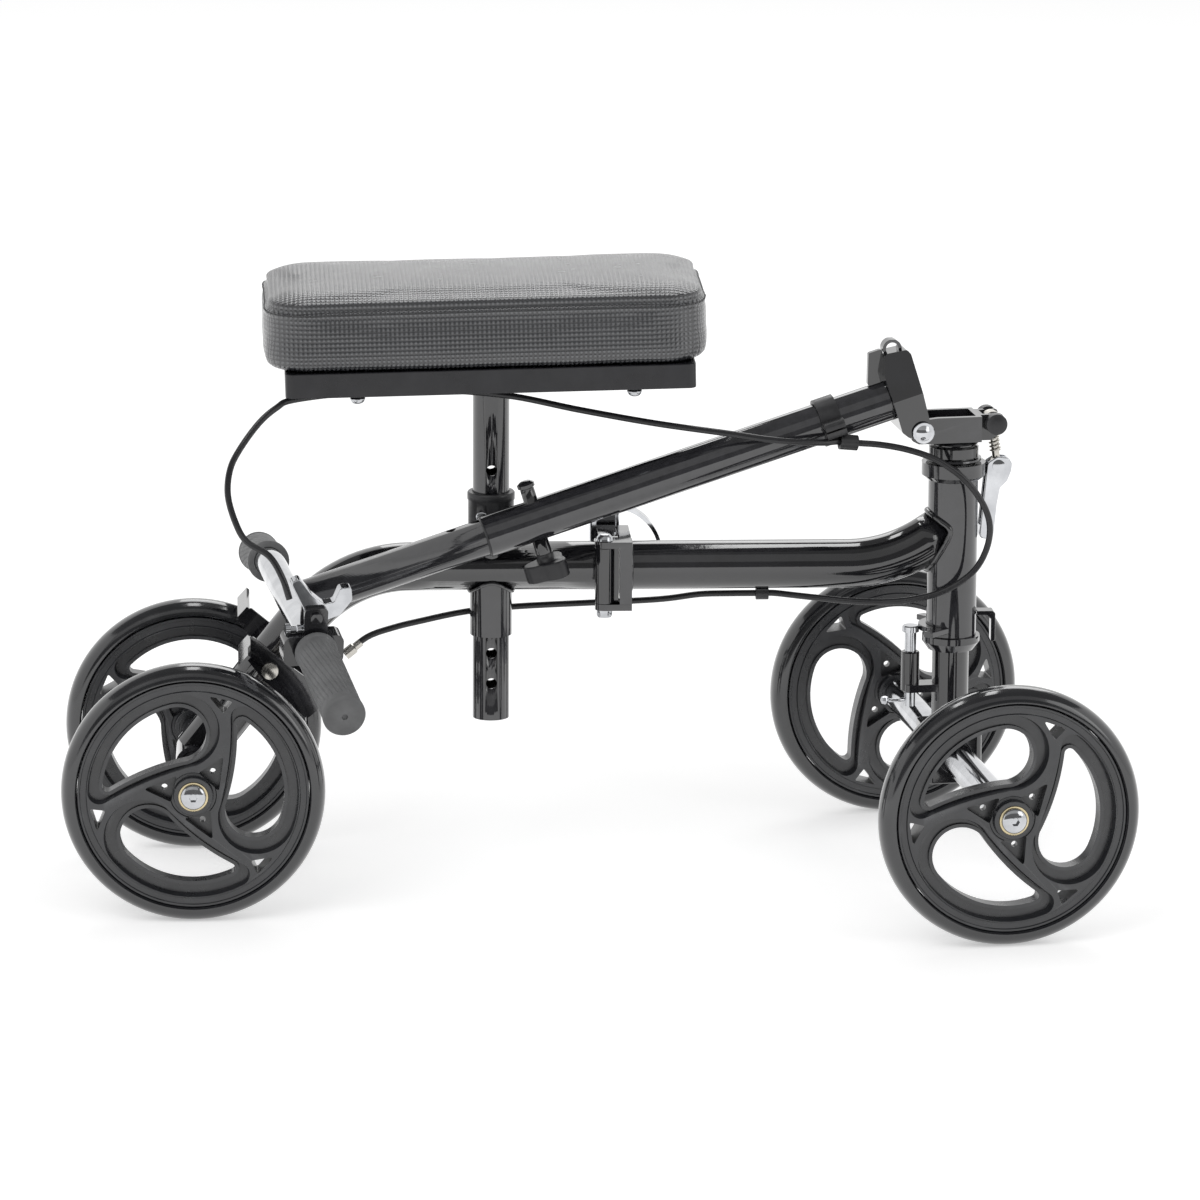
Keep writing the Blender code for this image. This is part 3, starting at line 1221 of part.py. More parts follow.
def knob_frame():
    """The knob's frame on the column's axis, Z out of the tube's lower face."""
    turn = Matrix.Rotation(-math.pi / 2, 4, "Y")
    return column_place() @ Matrix.Translation((0, 0, KNOB_AT)) @ turn


def add_column_tube(pivot):
    """The outer column tube, with the threaded boss for the height knob and the height button's housing."""
    low = CASTING_TOP + GAP
    bm = pipe(COLUMN_R, COLUMN_R - COLUMN_WALL, low, COLUMN_END, TUBE_STEPS + 4)
    tube = add_object("column_tube", bm, pivot, gloss_black(), column_place())
    boss = rod(KNOB_BOSS_R, COLUMN_R - 3 * mm, COLUMN_R + KNOB_BOSS_H, 12)
    high = COLUMN_R + BUTTON_H
    button = turned([
        (0, COLUMN_R - 3 * mm), (BUTTON_R, COLUMN_R - 3 * mm), (BUTTON_R, high - 6 * mm),
        (BUTTON_DOME_R, high - 5 * mm),
        (BUTTON_DOME_R, high - 2.5 * mm), (BUTTON_DOME_R * 0.6, high - 0.5 * mm), (0, high),
    ], SMALL_STEPS)
    above = column_place() @ Matrix.Translation((0, 0, KNOB_AT - 2 * mm)) @ Matrix.Rotation(math.pi / 2, 4, "Y")
    hole = rod(KNOB_STEM_R + SLIDE_GAP, 0, COLUMN_R + 20 * mm, 10)
    room = rod(COLUMN_R - COLUMN_WALL, KNOB_AT - 20 * mm, KNOB_AT + 20 * mm, TUBE_STEPS + 4)
    joins = [cutter("knob_boss", boss, pivot, knob_frame()), cutter("height_button", button, pivot, above)]
    finish_cuts(tube, [], joins)
    finish_cuts(tube, [cutter("knob_hole", hole, pivot, knob_frame()),
                       cutter("boss_room", room, pivot, column_place())])


def add_column_clamp(pivot):
    """A split band round the column with a screw boss and a strap that holds the brake cable."""
    inner = COLUMN_R + GAP
    outer = inner + 2.6 * mm
    half = 8 * mm
    band = pipe(outer, inner, -half, half, TUBE_STEPS + 4)
    place = column_place() @ Matrix.Translation((0, 0, CLAMP_AT)) @ Matrix.Rotation(CLAMP_TURN, 4, "Z")
    item = add_object("column_clamp", band, pivot, gloss_black(), place)
    ear = prism(round_rect(11 * mm, 13 * mm, 3 * mm, 2, outer + 3 * mm), -half, half)
    spot = Vector(COLUMN_CLIP)
    run = along(spot, spot + Vector(CLIP_RUN))
    ring = cutter("clip_ring", rod(CABLE_R + 3.5 * mm, -7 * mm, 7 * mm, 12), pivot, run)
    finish_cuts(item, [], [cutter("clamp_ear", ear, pivot, place), ring])
    slit = prism(round_rect(19 * mm, 1.6 * mm, 0.4 * mm, 1, outer + 3 * mm), -half - 1 * mm, half + 1 * mm)
    room = rod(inner, -90 * mm, 90 * mm, TUBE_STEPS + 4)
    bore = rod(CABLE_R + 2 * GAP, -20 * mm, 20 * mm, 10)
    finish_cuts(item, [cutter("clamp_room", room, pivot, place), cutter("clamp_slit", slit, pivot, place),
                       cutter("clip_bore", bore, pivot, run)])


def knob_outline():
    """The three-lobed outline of the height knob."""
    points = []
    for i in range(30):
        angle = 12.0 * i * deg
        reach = KNOB_R * (0.84 + 0.16 * math.cos(3 * angle))
        points.append((reach * math.cos(angle), reach * math.sin(angle)))
    return points


def add_height_knob(pivot):
    """The knob under the column whose stem clamps the inner tube."""
    place = knob_frame()
    knob_empty = add_empty("height_knob_axis", pivot)
    knob_empty.matrix_local = place
    head = soft_prism(knob_outline(), KNOB_HEAD_AT, KNOB_HEAD_AT + KNOB_HEAD_T, 1.5 * mm)
    knob = add_object("height_knob", head, knob_empty, black_plastic())
    stem = rod(KNOB_STEM_R, MAST_R + 0.6 * mm, KNOB_HEAD_AT + 2 * mm, 12)
    neck = rod(7 * mm, COLUMN_R + KNOB_BOSS_H + GAP, KNOB_HEAD_AT + 1 * mm, 12)
    finish_cuts(knob, [], [cutter("knob_stem", stem, knob_empty), cutter("knob_neck", neck, knob_empty)])


def add_mast(slider):
    """The inner tube that slides in the column, with its height holes, mitred to the bar."""
    bm = pipe(MAST_R, MAST_R - MAST_WALL, MAST_START, BAR_AT, TUBE_STEPS + 2)
    mast = add_object("handlebar_mast", bm, slider, gloss_black(), column_place())
    cuts = []
    for i in range(MAST_HOLES):
        place = column_place() @ Matrix.Translation((0, 0, MAST_HOLE_AT - HOLE_PITCH * i))
        place = place @ Matrix.Rotation(math.pi / 2, 4, "Y")
        cuts.append(cutter(f"mast_hole_{i}", rod(4 * mm, 0, 30 * mm, 10), slider, place))
    saddle = rod(BAR_R + GAP, -50 * mm, 50 * mm, TUBE_STEPS)
    cuts.append(cutter("bar_room", saddle, slider, bar_place() @ axis_y((0, 0, BAR_AT))))
    finish_cuts(mast, cuts)


def bar_place():
    """The bar's frame: its middle above the mast's axis, twisted and turned a little on the mast."""
    middle = Matrix.Rotation(BAR_TWIST, 4, "Z") @ Matrix.Translation((BAR_LIFT, 0, BAR_AT))
    return column_place() @ middle @ Matrix.Rotation(BAR_TURN, 4, "X") @ Matrix.Translation((0, 0, -BAR_AT))


def bar_path():
    """The handlebar: straight across the mast, then swept down and back at each side."""
    drop = BAR_SWEEP * (BAR_HALF - BAR_BEND_AT)
    corners = [(-drop, -BAR_HALF, BAR_AT), (0, -BAR_BEND_AT, BAR_AT), (0, BAR_BEND_AT, BAR_AT),
               (-drop, BAR_HALF, BAR_AT)]
    return fillet_path(corners, [BAR_BEND_R, BAR_BEND_R], 5 * deg)


def add_handlebar(slider):
    bar = swept(bar_path(), BAR_R, BAR_R - 1.6 * mm, SWEPT_STEPS)
    add_object("handlebar", bar, slider, chrome(), bar_place())


def grip_frame(side):
    """The frame at a grip's inner end, Z running out along the bar's end."""
    drop = BAR_SWEEP * (BAR_HALF - BAR_BEND_AT)
    end = Vector((-drop, side * BAR_HALF, BAR_AT))
    run = Vector((-drop, side * (BAR_HALF - BAR_BEND_AT), 0)).normalized()
    start = end - run * (GRIP_L - GRIP_CAP)
    return bar_place() @ along(start, end)


def add_grip(slider, name, side):
    """A round rubber grip with lengthwise grooves, an inner collar and a domed end."""
    bore = BAR_R + GAP
    closed = GRIP_L - GRIP_CAP + GAP
    profile = [
        (bore, 0), (GRIP_R - 0.6 * mm, 0), (GRIP_R + 0.6 * mm, 1.2 * mm), (GRIP_R + 0.6 * mm, 4.5 * mm),
        (GRIP_R - 0.4 * mm, 6 * mm), (GRIP_R - 0.4 * mm, GRIP_L - 7 * mm), (GRIP_R + 0.4 * mm, GRIP_L - 5.5 * mm),
        (GRIP_R + 0.2 * mm, GRIP_L - 1.6 * mm), (GRIP_R - 2.6 * mm, GRIP_L), (0, GRIP_L),
    ]
    inside = [(0, closed), (bore, closed)]
    bm = turned(inside + profile[:-1] + [(0, GRIP_L)], TUBE_STEPS)
    add_object(name, bm, slider, grip_rubber(), grip_frame(side))


# Brake lever on the near grip's side

def brake_frame():
    """The frame on the bar inside the near grip: Z runs out along the bar, Y up, X forward."""
    grip = grip_frame(-1)
    run = grip.to_3x3() @ Vector((0, 0, 1))
    up = Vector((math.cos(COLUMN_DROP), 0, -math.sin(COLUMN_DROP)))
    up = (up - run * up.dot(run)).normalized()
    ahead = up.cross(run)
    turn = Matrix((ahead, up, run)).transposed().to_4x4()
    return Matrix.Translation(grip.translation - run * LEVER_CLAMP_BACK) @ turn


def add_brake_lever(slider):
    """The lever's clamp on the bar with its pivot pin and cable adjuster, and the hooked bright lever."""
    place = brake_frame()
    half = 8 * mm
    clamp = add_object("brake_clamp", prism(round_rect(46 * mm, 24 * mm, 6 * mm, 2, -1 * mm, -1 * mm), -half, half),
                       slider, black_plastic(), place)
    top = LEVER_PIN_UP + 8 * mm
    riser = prism(round_rect(18 * mm, top, 4 * mm, 2, 0, top / 2), -half, half)
    room = rod(BAR_R + GAP, -20 * mm, 20 * mm, TUBE_STEPS)
    slot = prism(round_rect(60 * mm, 40 * mm, 1 * mm, 1, 0, LEVER_SLOT_UP + 20 * mm),
                 -BLADE_HALF - GAP, BLADE_HALF + GAP)
    pin_at = place @ Matrix.Translation((0, LEVER_PIN_UP, 0))
    joins = [cutter("clamp_riser", riser, slider, place)]
    finish_cuts(clamp, [cutter("clamp_room", room, slider, place), cutter("blade_slot", slot, slider, place)], joins)
    pin = headed_pin(LEVER_BOLT_R, 4.6 * mm, 1.6 * mm, half, 1.0 * mm)
    adjuster = turned([(0, 5 * mm), (3.6 * mm, 5 * mm), (3.6 * mm, 13 * mm), (2.6 * mm, 14 * mm),
                       (2.6 * mm, 18 * mm), (4.4 * mm, 18.6 * mm), (4.4 * mm, 22 * mm), (0, 22 * mm)], 10)
    back = place @ Matrix.Translation((0, 14 * mm, 0)) @ Matrix.Rotation(-math.pi / 2, 4, "Y")
    finish_cuts(clamp, [], [cutter("lever_bolt", pin, slider, pin_at)])
    finish_cuts(clamp, [], [cutter("cable_adjuster", adjuster, slider, back)])
    lever = add_empty("brake_lever_pivot", slider)
    lever.matrix_local = pin_at
    outline = rounded_corners([
        (-20 * mm, 29 * mm), (-10 * mm, 8 * mm), (-5 * mm, -6 * mm), (6 * mm, -5 * mm), (19 * mm, 0),
        (28 * mm, 12 * mm), (27 * mm, 23 * mm), (18 * mm, 22 * mm), (14 * mm, 11 * mm), (6 * mm, 10 * mm),
        (-3 * mm, 18 * mm), (-13 * mm, 32 * mm),
    ], 3.5 * mm, 2)
    blade = soft_prism(outline, -BLADE_HALF, BLADE_HALF, 0.8 * mm)
    item = add_object("brake_lever", blade, lever, chrome())
    hole = rod(LEVER_BOLT_R + SLIDE_GAP, -20 * mm, 20 * mm, 12)
    finish_cuts(item, [cutter("blade_hole", hole, lever)])


# Seat

def add_seat_post(seat):
    """The post with its height holes, up into the tray's socket."""
    bm = pipe(POST_R, POST_R - POST_WALL, POST_BOTTOM, POST_TOP, SWEPT_STEPS)
    post = add_object("seat_post", bm, seat, gloss_black())
    cuts = []
    for i in range(POST_HOLES):
        place = axis_y((0, 0, POST_HOLE_LOW + HOLE_PITCH * i))
        cuts.append(cutter(f"post_hole_{i}", rod(HOLE_R, -30 * mm, 30 * mm, HOLE_STEPS), seat, place))
    finish_cuts(post, cuts)


def tray_frame():
    """The frame at the middle of the tray's lower edge, tipped with the seat, from the post's axis."""
    middle = (TRAY_REAR_X + TRAY_FRONT_X) / 2 - POST_X
    return Matrix.Translation((middle, 0, TRAY_Z)) @ Matrix.Rotation(-TRAY_PITCH, 4, "Y")


def add_seat_tray(seat):
    """The folded steel tray, open below, with the post's socket and four screws."""
    length = TRAY_FRONT_X - TRAY_REAR_X
    place = tray_frame()
    shell = prism(round_rect(length, TRAY_W, 6 * mm, 3), 0, TRAY_LIP)
    tray = add_object("seat_tray", shell, seat, gloss_black(), place)
    inside = prism(round_rect(length - 2 * TRAY_T, TRAY_W - 2 * TRAY_T, 4 * mm, 3), -9 * mm, TRAY_LIP - TRAY_T)
    finish_cuts(tray, [cutter("tray_inside", inside, seat, place)])
    socket = pipe(POST_R + 5 * mm, POST_R + GAP, TRAY_Z - 6 * mm, TRAY_Z + TRAY_LIP - 1 * mm, TUBE_STEPS)
    joins = [cutter("post_socket", socket, seat)]
    shank = TRAY_LIP - 1 * mm
    for i, (x, y) in enumerate(TRAY_SCREWS):
        screw = turned([*TRAY_SCREW_HEAD, (TRAY_SCREW_R, shank), (0, shank)], 10)
        joins.append(cutter(f"tray_screw_{i}", screw, seat, place @ Matrix.Translation((x, y, 0))))
    finish_cuts(tray, [], joins)


def pad_ring(inset, height):
    """One outline of the cushion, its corners rounding in with the inset."""
    radius = max(6 * mm, PAD_CORNER_R - inset)
    points = round_rect(PAD_L - 2 * inset, PAD_W - 2 * inset, radius, PAD_CORNER_STEPS)
    return [(x, y, height + pad_crown(x, y)) for x, y in points]


def pad_crown(x, y):
    """How far the top sinks away from the crown's middle, by the seat's own length and width."""
    across = min(1.0, abs(2 * y / PAD_W))
    along_x = min(1.0, abs(2 * x / PAD_L))
    return -PAD_CROWN * (0.65 * across ** 2.2 + 0.35 * along_x ** 4)


def seat_cushion_mesh():
    """A crowned pad with drawn-in sides, a seam groove round the top and one low on the side."""
    top = PAD_H
    seam = PAD_SEAM_AT
    side = [
        (10 * mm, 0.0, 0.0), (3 * mm, 1.5 * mm, 0.0), (0.8 * mm, 5 * mm, 0.0), (0.0, 12 * mm, 0.0),
        (1.5 * mm, 0.45 * seam, 0.3), (1.8 * mm, 0.7 * seam, 0.6), (0.6 * mm, seam - 4 * mm, 0.9),
        (1.6 * mm, seam, 1.0), (0.8 * mm, seam + 2.5 * mm, 1.0), (4 * mm, seam + 8 * mm, 1.0),
        (12 * mm, top - 3.5 * mm, 1.0), (26 * mm, top - 1.0 * mm, 1.0), (48 * mm, top, 1.0),
        (72 * mm, top, 1.0),
    ]
    bm = bmesh.new()
    rings = []
    for inset, height, follow in side:
        ring = []
        for x, y, z in pad_ring(inset, 0.0):
            ring.append(bm.verts.new((x, y, height + z * follow)))
        rings.append(ring)
    for one, two in zip(rings, rings[1:]):
        for i in range(len(one)):
            j = (i + 1) % len(one)
            bm.faces.new((one[i], one[j], two[j], two[i]))
    bm.faces.new(rings[-1])
    bm.faces.new(list(reversed(rings[0])))
    return bm


def add_seat_cushion(seat):
    place = tray_frame() @ Matrix.Translation((PAD_SHIFT, 0, TRAY_LIP + GAP))
    add_object("seat_cushion", seat_cushion_mesh(), seat, vinyl(), place, 50.0)


# Rear brake

def yoke_points(corners):
    """Corners read from the shoe's spot on the tyre, as seen from the yoke's pivot."""
    return [(SHOE_SPOT_X + x - YOKE_X, SHOE_SPOT_Z + z - YOKE_Z) for x, z in corners]


def lug_points():
    """The lug's outline: its foot on the web, its tip round the cable's end."""
    end_x, _, end_z = CABLE_REAR[-1]
    tip = [(end_x * mm + x - YOKE_X, end_z * mm + z - YOKE_Z) for x, z in LUG_TIP]
    return yoke_points(LUG_FOOT) + tip


def add_brake_yoke(empty):
    """The rocking yoke: two side plates, the web that joins them and the two shoes over the tyres."""
    pivot = add_empty("rear_brake", empty, rear(Matrix.Translation((YOKE_X, 0, YOKE_Z))).translation)
    outline = rounded_corners(yoke_points(PLATE_CORNERS), 4 * mm, 2)
    plates = []
    for side, name in ((-1, "near"), (1, "far")):
        low = YOKE_HALF_W - YOKE_T if side < 0 else -YOKE_HALF_W
        plates.append((name, prism(outline, low, low + YOKE_T)))
    item = add_object("brake_yoke", plates[0][1], pivot, gloss_black(), side_plate())
    joins = [cutter("far_plate", plates[1][1], pivot, side_plate())]
    inside = YOKE_HALF_W - YOKE_LAP
    web = prism(yoke_points(WEB_CORNERS), -inside, inside)
    joins.append(cutter("yoke_web", web, pivot, side_plate()))
    joins.append(cutter("cable_lug", prism(lug_points(), -LUG_RIGHT, LUG_LEFT), pivot, side_plate()))
    shoe = yoke_points(SHOE_CORNERS)
    for side, name in ((-1, "near"), (1, "far")):
        low = inside if side < 0 else -SHOE_END
        high = SHOE_END if side < 0 else -inside
        joins.append(cutter("shoe_" + name, prism(shoe, low, high), pivot, side_plate()))
    hole = cutter("yoke_bore", rod(YOKE_BOLT_R + SLIDE_GAP, -90 * mm, 90 * mm, SMALL_STEPS), pivot, axis_y())
    finish_cuts(item, [hole], joins)
    lug_hole = cutter("lug_bore", rod(FERRULE_R - 1.4 * mm, -9 * mm, 9 * mm, 10), pivot, ferrule_frame(pivot))
    finish_cuts(item, [lug_hole])
    bolt = headed_pin(YOKE_BOLT_R, 6.5 * mm, 2.5 * mm, YOKE_HALF_W + GAP, 1.2 * mm)
    spot = rear(axis_y((YOKE_X, 0, YOKE_Z)))
    add_object("brake_yoke_bolt", bolt, empty, zinc(), spot)
    return pivot


def cable_end():
    """The last two points of the cable's centre line, in the chassis frame."""
    return CABLE_REAR[-2], CABLE_REAR[-1]


def ferrule_frame(pivot):
    """The frame at the cable's end, Z running back along the cable, from the yoke's pivot."""
    before, last = [Vector(p) * mm for p in cable_end()]
    shift = Matrix.Translation((-YOKE_X, 0, -YOKE_Z))
    return shift @ along(last, last + (before - last))


def add_cable_ferrule(pivot):
    """The bright adjuster on the yoke's lug that the cable ends in."""
    profile = [
        (FERRULE_BORE, 0), (FERRULE_R, 0), (FERRULE_R, 9 * mm), (FERRULE_R - 1.2 * mm, 10 * mm),
        (FERRULE_R - 1.2 * mm, 16 * mm), (FERRULE_BORE, 16 * mm),
    ]
    add_object("cable_ferrule", turned(profile, 8, True), pivot, zinc(), ferrule_frame(pivot))


# Brake cable in three lengths, one on each body it runs along

def cable_length(points, spacing=28 * mm):
    return smooth_curve([Vector(p) * mm for p in points], spacing)


def chassis_to(empty):
    bpy.context.view_layer.update()
    chain = Matrix.Identity(4)
    item = empty
    while item is not None and item.name != "walker":
        chain = item.matrix_local @ chain
        item = item.parent
    return chain.inverted()


def add_cable(name, owner, points):
    path = [chassis_to(owner) @ p for p in cable_length(points)]
    add_object(name, swept(path, CABLE_R, 0.0, 7), owner, cable_jacket(), None, 60.0)


# The whole walker

def centre_root(root):
    """Stand the chassis frame so that the middle of the walker's footprint is the origin."""
    bpy.context.view_layer.update()
    low = Vector((1e9, 1e9))
    high = Vector((-1e9, -1e9))
    for item in bpy.data.objects:
        if item.type != "MESH":
            continue
        for vertex in item.data.vertices:
            spot = (item.matrix_world @ vertex.co).to_2d()
            low = Vector(map(min, low, spot))
            high = Vector(map(max, high, spot))
    middle = (low + high) / 2
    root.location = (-middle.x, -middle.y, 0)


def build_frame(root):
    add_main_tube_front(root)
    add_head_tube(root)
    add_cups(root)
    add_steering_stop(root)
    add_head_hook(root)
    add_hinge_front(root)
    add_hinge_pin(root)
    add_frame_latch(root)
    clip = Matrix.Translation((CLIP_X, 0, CLIP_Z)) @ Matrix(((0, 0, 1, 0), (1, 0, 0, 0), (0, 1, 0, 0), (0, 0, 0, 1)))
    add_cable_clip("cable_clip", root, clip, FRAME_Z - FRAME_R - CLIP_Z)


def build_rear(root):
    empty = add_empty("rear_frame", root, (HINGE_AXIS_X, HINGE_PIN_Y, 0))
    add_main_tube_rear(empty)
    add_hinge_rear(empty)
    add_sleeve_and_collar(empty)
    add_rear_axle(empty)
    for side, name, phase in ((-1, "near", 0.0), (1, "far", REAR_FAR_PHASE)):
        spot = rear(Matrix.Translation((REAR_X, side * REAR_TRACK / 2, WHEEL_R))).translation
        add_wheel(f"rear_wheel_{name}", empty, spot, side, phase)
    pivot = add_brake_yoke(empty)
    add_cable_ferrule(pivot)
    add_cable("brake_cable_rear", empty, CABLE_REAR)
    seat = add_empty("seat", empty, rear(Matrix.Translation((POST_X, 0, 0))).translation)
    add_seat_post(seat)
    add_seat_tray(seat)
    add_seat_cushion(seat)


def build_steering(root):
    steering = add_empty("steering", root, (FRONT_X, 0, 0), (0, 0, STEER))
    add_fork(steering)
    add_front_axle(steering)
    add_locknut(steering)
    add_column_base(steering)
    add_head_pins(steering)
    add_column_latch(steering)
    add_steering_lock(steering)
    for side, name, phase in ((-1, "near", FRONT_NEAR_PHASE), (1, "far", FRONT_FAR_PHASE)):
        spot = (0, side * FRONT_TRACK / 2, WHEEL_R)
        add_wheel(f"front_wheel_{name}", steering, spot, side, phase)
    return steering


def build_column(steering):
    tilt = (0, -(math.pi / 2 + COLUMN_DROP), 0)
    pivot = add_empty("tiller", steering, (-PIVOT_BACK, 0, PIVOT_Z), tilt)
    add_column_casting(pivot)
    add_column_tube(pivot)
    add_column_clamp(pivot)
    add_height_knob(pivot)
    add_cable("brake_cable_front", pivot, CABLE_FRONT)
    slider = add_empty("handlebar_slide", pivot)
    add_mast(slider)
    add_handlebar(slider)
    add_grip(slider, "grip_near", -1)
    add_grip(slider, "grip_far", 1)
    add_brake_lever(slider)
    add_cable("brake_cable_upper", slider, CABLE_UPPER)


def build():
    clear_scene()
    root = add_empty("walker", None)
    build_frame(root)
    build_rear(root)
    steering = build_steering(root)
    build_column(steering)
    centre_root(root)
    print(f"objects: {len([o for o in bpy.data.objects if o.type == 'MESH'])}")


build()
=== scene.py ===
"""The looks of the folding knee walker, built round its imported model.

Metres, +Z up. Each sub-part is shaped again from the model's own sizes with finer rounds, soft edges
and small details, then rides on the body of the node that it stands for.
"""
import functools
import json
import math

import bmesh
import bpy
from mathutils import Matrix, Vector, noise

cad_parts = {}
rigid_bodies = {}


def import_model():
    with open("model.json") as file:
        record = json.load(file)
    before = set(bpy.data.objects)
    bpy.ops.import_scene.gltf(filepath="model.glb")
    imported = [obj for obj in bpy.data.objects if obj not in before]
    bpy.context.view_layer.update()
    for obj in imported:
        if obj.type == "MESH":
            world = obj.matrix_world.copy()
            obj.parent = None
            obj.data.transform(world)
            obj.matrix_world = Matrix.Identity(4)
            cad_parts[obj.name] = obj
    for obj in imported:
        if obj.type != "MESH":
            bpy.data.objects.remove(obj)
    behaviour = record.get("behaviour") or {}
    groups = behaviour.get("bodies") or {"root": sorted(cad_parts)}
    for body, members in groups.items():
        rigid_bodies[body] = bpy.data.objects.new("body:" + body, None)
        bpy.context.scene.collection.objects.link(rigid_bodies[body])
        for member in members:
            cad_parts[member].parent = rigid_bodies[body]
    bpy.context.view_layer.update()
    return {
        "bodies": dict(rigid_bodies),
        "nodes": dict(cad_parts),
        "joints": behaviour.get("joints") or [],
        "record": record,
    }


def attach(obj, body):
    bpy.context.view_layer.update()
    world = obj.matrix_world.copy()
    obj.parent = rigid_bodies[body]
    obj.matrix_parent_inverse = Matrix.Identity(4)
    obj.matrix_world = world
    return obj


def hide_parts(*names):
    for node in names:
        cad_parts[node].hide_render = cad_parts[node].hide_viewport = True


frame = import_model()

mm = 0.001
deg = math.pi / 180.0


def in_mm(*points):
    """Points given in millimetres."""
    return [tuple(value * mm for value in point) for point in points]


# Clearances between pieces
GAP = 0.3 * mm
SLIDE_GAP = 0.35 * mm

# Wheels
WHEEL_R = 101.6 * mm
TYRE_T = 12.6 * mm
TYRE_SEAT_R = WHEEL_R - TYRE_T
TYRE_W = 28.0 * mm
RIM_W = 24.0 * mm
RIM_WEB_T = 9.0 * mm
HUB_R = 15.0 * mm
HUB_W = 34.0 * mm
AXLE_BOLT_R = 4.0 * mm
AXLE_HEAD_R = 10.5 * mm
AXLE_HEAD_T = 5.0 * mm

# Where the wheels stand
WHEELBASE = 593.5 * mm
FRONT_TRACK = 396.0 * mm
REAR_TRACK = 210.0 * mm
STEER = 7.66 * deg
FRONT_X = WHEELBASE / 2
REAR_X = -WHEELBASE / 2

# Frame tubes
FRAME_R = 19.05 * mm
FRAME_WALL = 2.0 * mm
FRAME_Z = 253.0 * mm
FRONT_BEND_X = 248.5 * mm
FRONT_BEND_R = 115.0 * mm
FRONT_RISE = 33.0 * deg
REAR_BEND_R = 105.0 * mm
REAR_DROP = 52.0 * deg
AXLE_TUBE_R = 10.0 * mm
AXLE_TUBE_FRONT_R = 12.7 * mm
AXLE_SHOULDER = GAP
REAR_CROSS_HALF = 24.0 * mm
REAR_CROSS_R = 14.0 * mm
REAR_SADDLE = 5.0 * mm

# Mid-frame hinge, its pin on the right side
HINGE_X = 34.5 * mm
HINGE_REAR_T = 15.5 * mm
HINGE_FRONT_T = 9.5 * mm
HINGE_AXIS_BACK = 11.6 * mm
HINGE_AXIS_X = HINGE_X - HINGE_AXIS_BACK
HINGE_PIN_Y = -33.0 * mm
HINGE_PIN_R = 4.0 * mm
HINGE_H = 54.5 * mm
HINGE_EAR_T = 5.0 * mm
HINGE_EAR_ROOM = 1.2 * mm
HINGE_HALF_W = 25.0 * mm
HINGE_BARREL_R = 7.5 * mm
LATCH_DEPTH = 18.0 * mm
LATCH_Z = 275.0 * mm
LATCH_H = 26.0 * mm
LATCH_LEVER_R = 40.0 * mm
LATCH_LEVER_LIFT = 2.5 * mm

# Head tube and steering
HEAD_R = 19.5 * mm
HEAD_WALL = 2.5 * mm
HEAD_BOTTOM = 196.0 * mm
HEAD_TOP = 320.0 * mm
STEERER_R = 14.3 * mm
CUP_R = 25.0 * mm
CUP_LOW_R = 22.5 * mm
UPPER_CUP_H = 14.0 * mm
LOWER_CUP_H = 11.5 * mm
HOOK_TOP = 215.0 * mm
CROWN_TOP = 124.0 * mm
CROWN_L = 44.0 * mm
CROWN_HALF = 22.0 * mm

# Steering lock behind the head tube
PIN_PATH_R = 32.3 * mm
LOCK_PIN_R = 4.5 * mm
LOCK_SLEEVE_R = 7.2 * mm
LOCK_CAP_R = 6.5 * mm
LOCK_LOW = 151.0 * mm
LOCK_HIGH = 183.0 * mm
LOCK_TOP = 203.8 * mm
STOP_REACH = 38.0 * mm
STOP_ARM_AT = 50.0 * deg
STOP_Z = 200.0 * mm
STOP_T = 4.5 * mm

# The column's saddle on the steerer and the latch that hangs on it
BASE_LOW = 352.3 * mm
BASE_TOP = 372.5 * mm
BASE_HALF_W = 18.0 * mm
BASE_FRONT_X = 36.5 * mm
BASE_NOSE_HALF = 11.3 * mm
BASE_NOSE_X = 18.0 * mm
CHEEK_T = 4.5 * mm
LATCH_PIN_X = 29.8 * mm
LATCH_PIN_Z = 366.0 * mm
LATCH_PIN_R = 4.0 * mm
LATCH_CAP_R = 8.2 * mm
LATCH_HANG = 8.0 * deg
LATCH_STUD_R = 3.0 * mm
LATCH_STUD_L = 36.4 * mm
LATCH_FOOT_R = 6.5 * mm
SPRING_WIRE_R = 0.7 * mm
SPRING_PITCH = 3.0 * mm
SPRING_TURNS = 4.4
SPRING_START = 12.0 * mm
COIL_POINTS = 8
LEVER_PIN_R = 3.0 * mm
LEVER_L = 58.5 * mm
LEVER_LEAN = 15.5 * deg
LATCH_CAP_T = 7.6 * mm
LEVER_HALF_W = 6.0 * mm
LEVER_SLOT = 3.6 * mm

# Seat post, collar and sleeve
POST_X = -64.0 * mm
POST_R = 14.3 * mm
POST_WALL = 2.0 * mm
POST_BOTTOM = 132.0 * mm
HOLE_R = 4.3 * mm
HOLE_PITCH = 24.3 * mm
POST_TOP = 421.0 * mm
POST_HOLES = 8
POST_HOLE_LOW = 161.8 * mm
SLEEVE_R = 16.4 * mm
SLEEVE_BOTTOM = 199.0 * mm
COLLAR_R = 17.8 * mm
COLLAR_BOTTOM = 286.0 * mm
COLLAR_TOP = 313.0 * mm

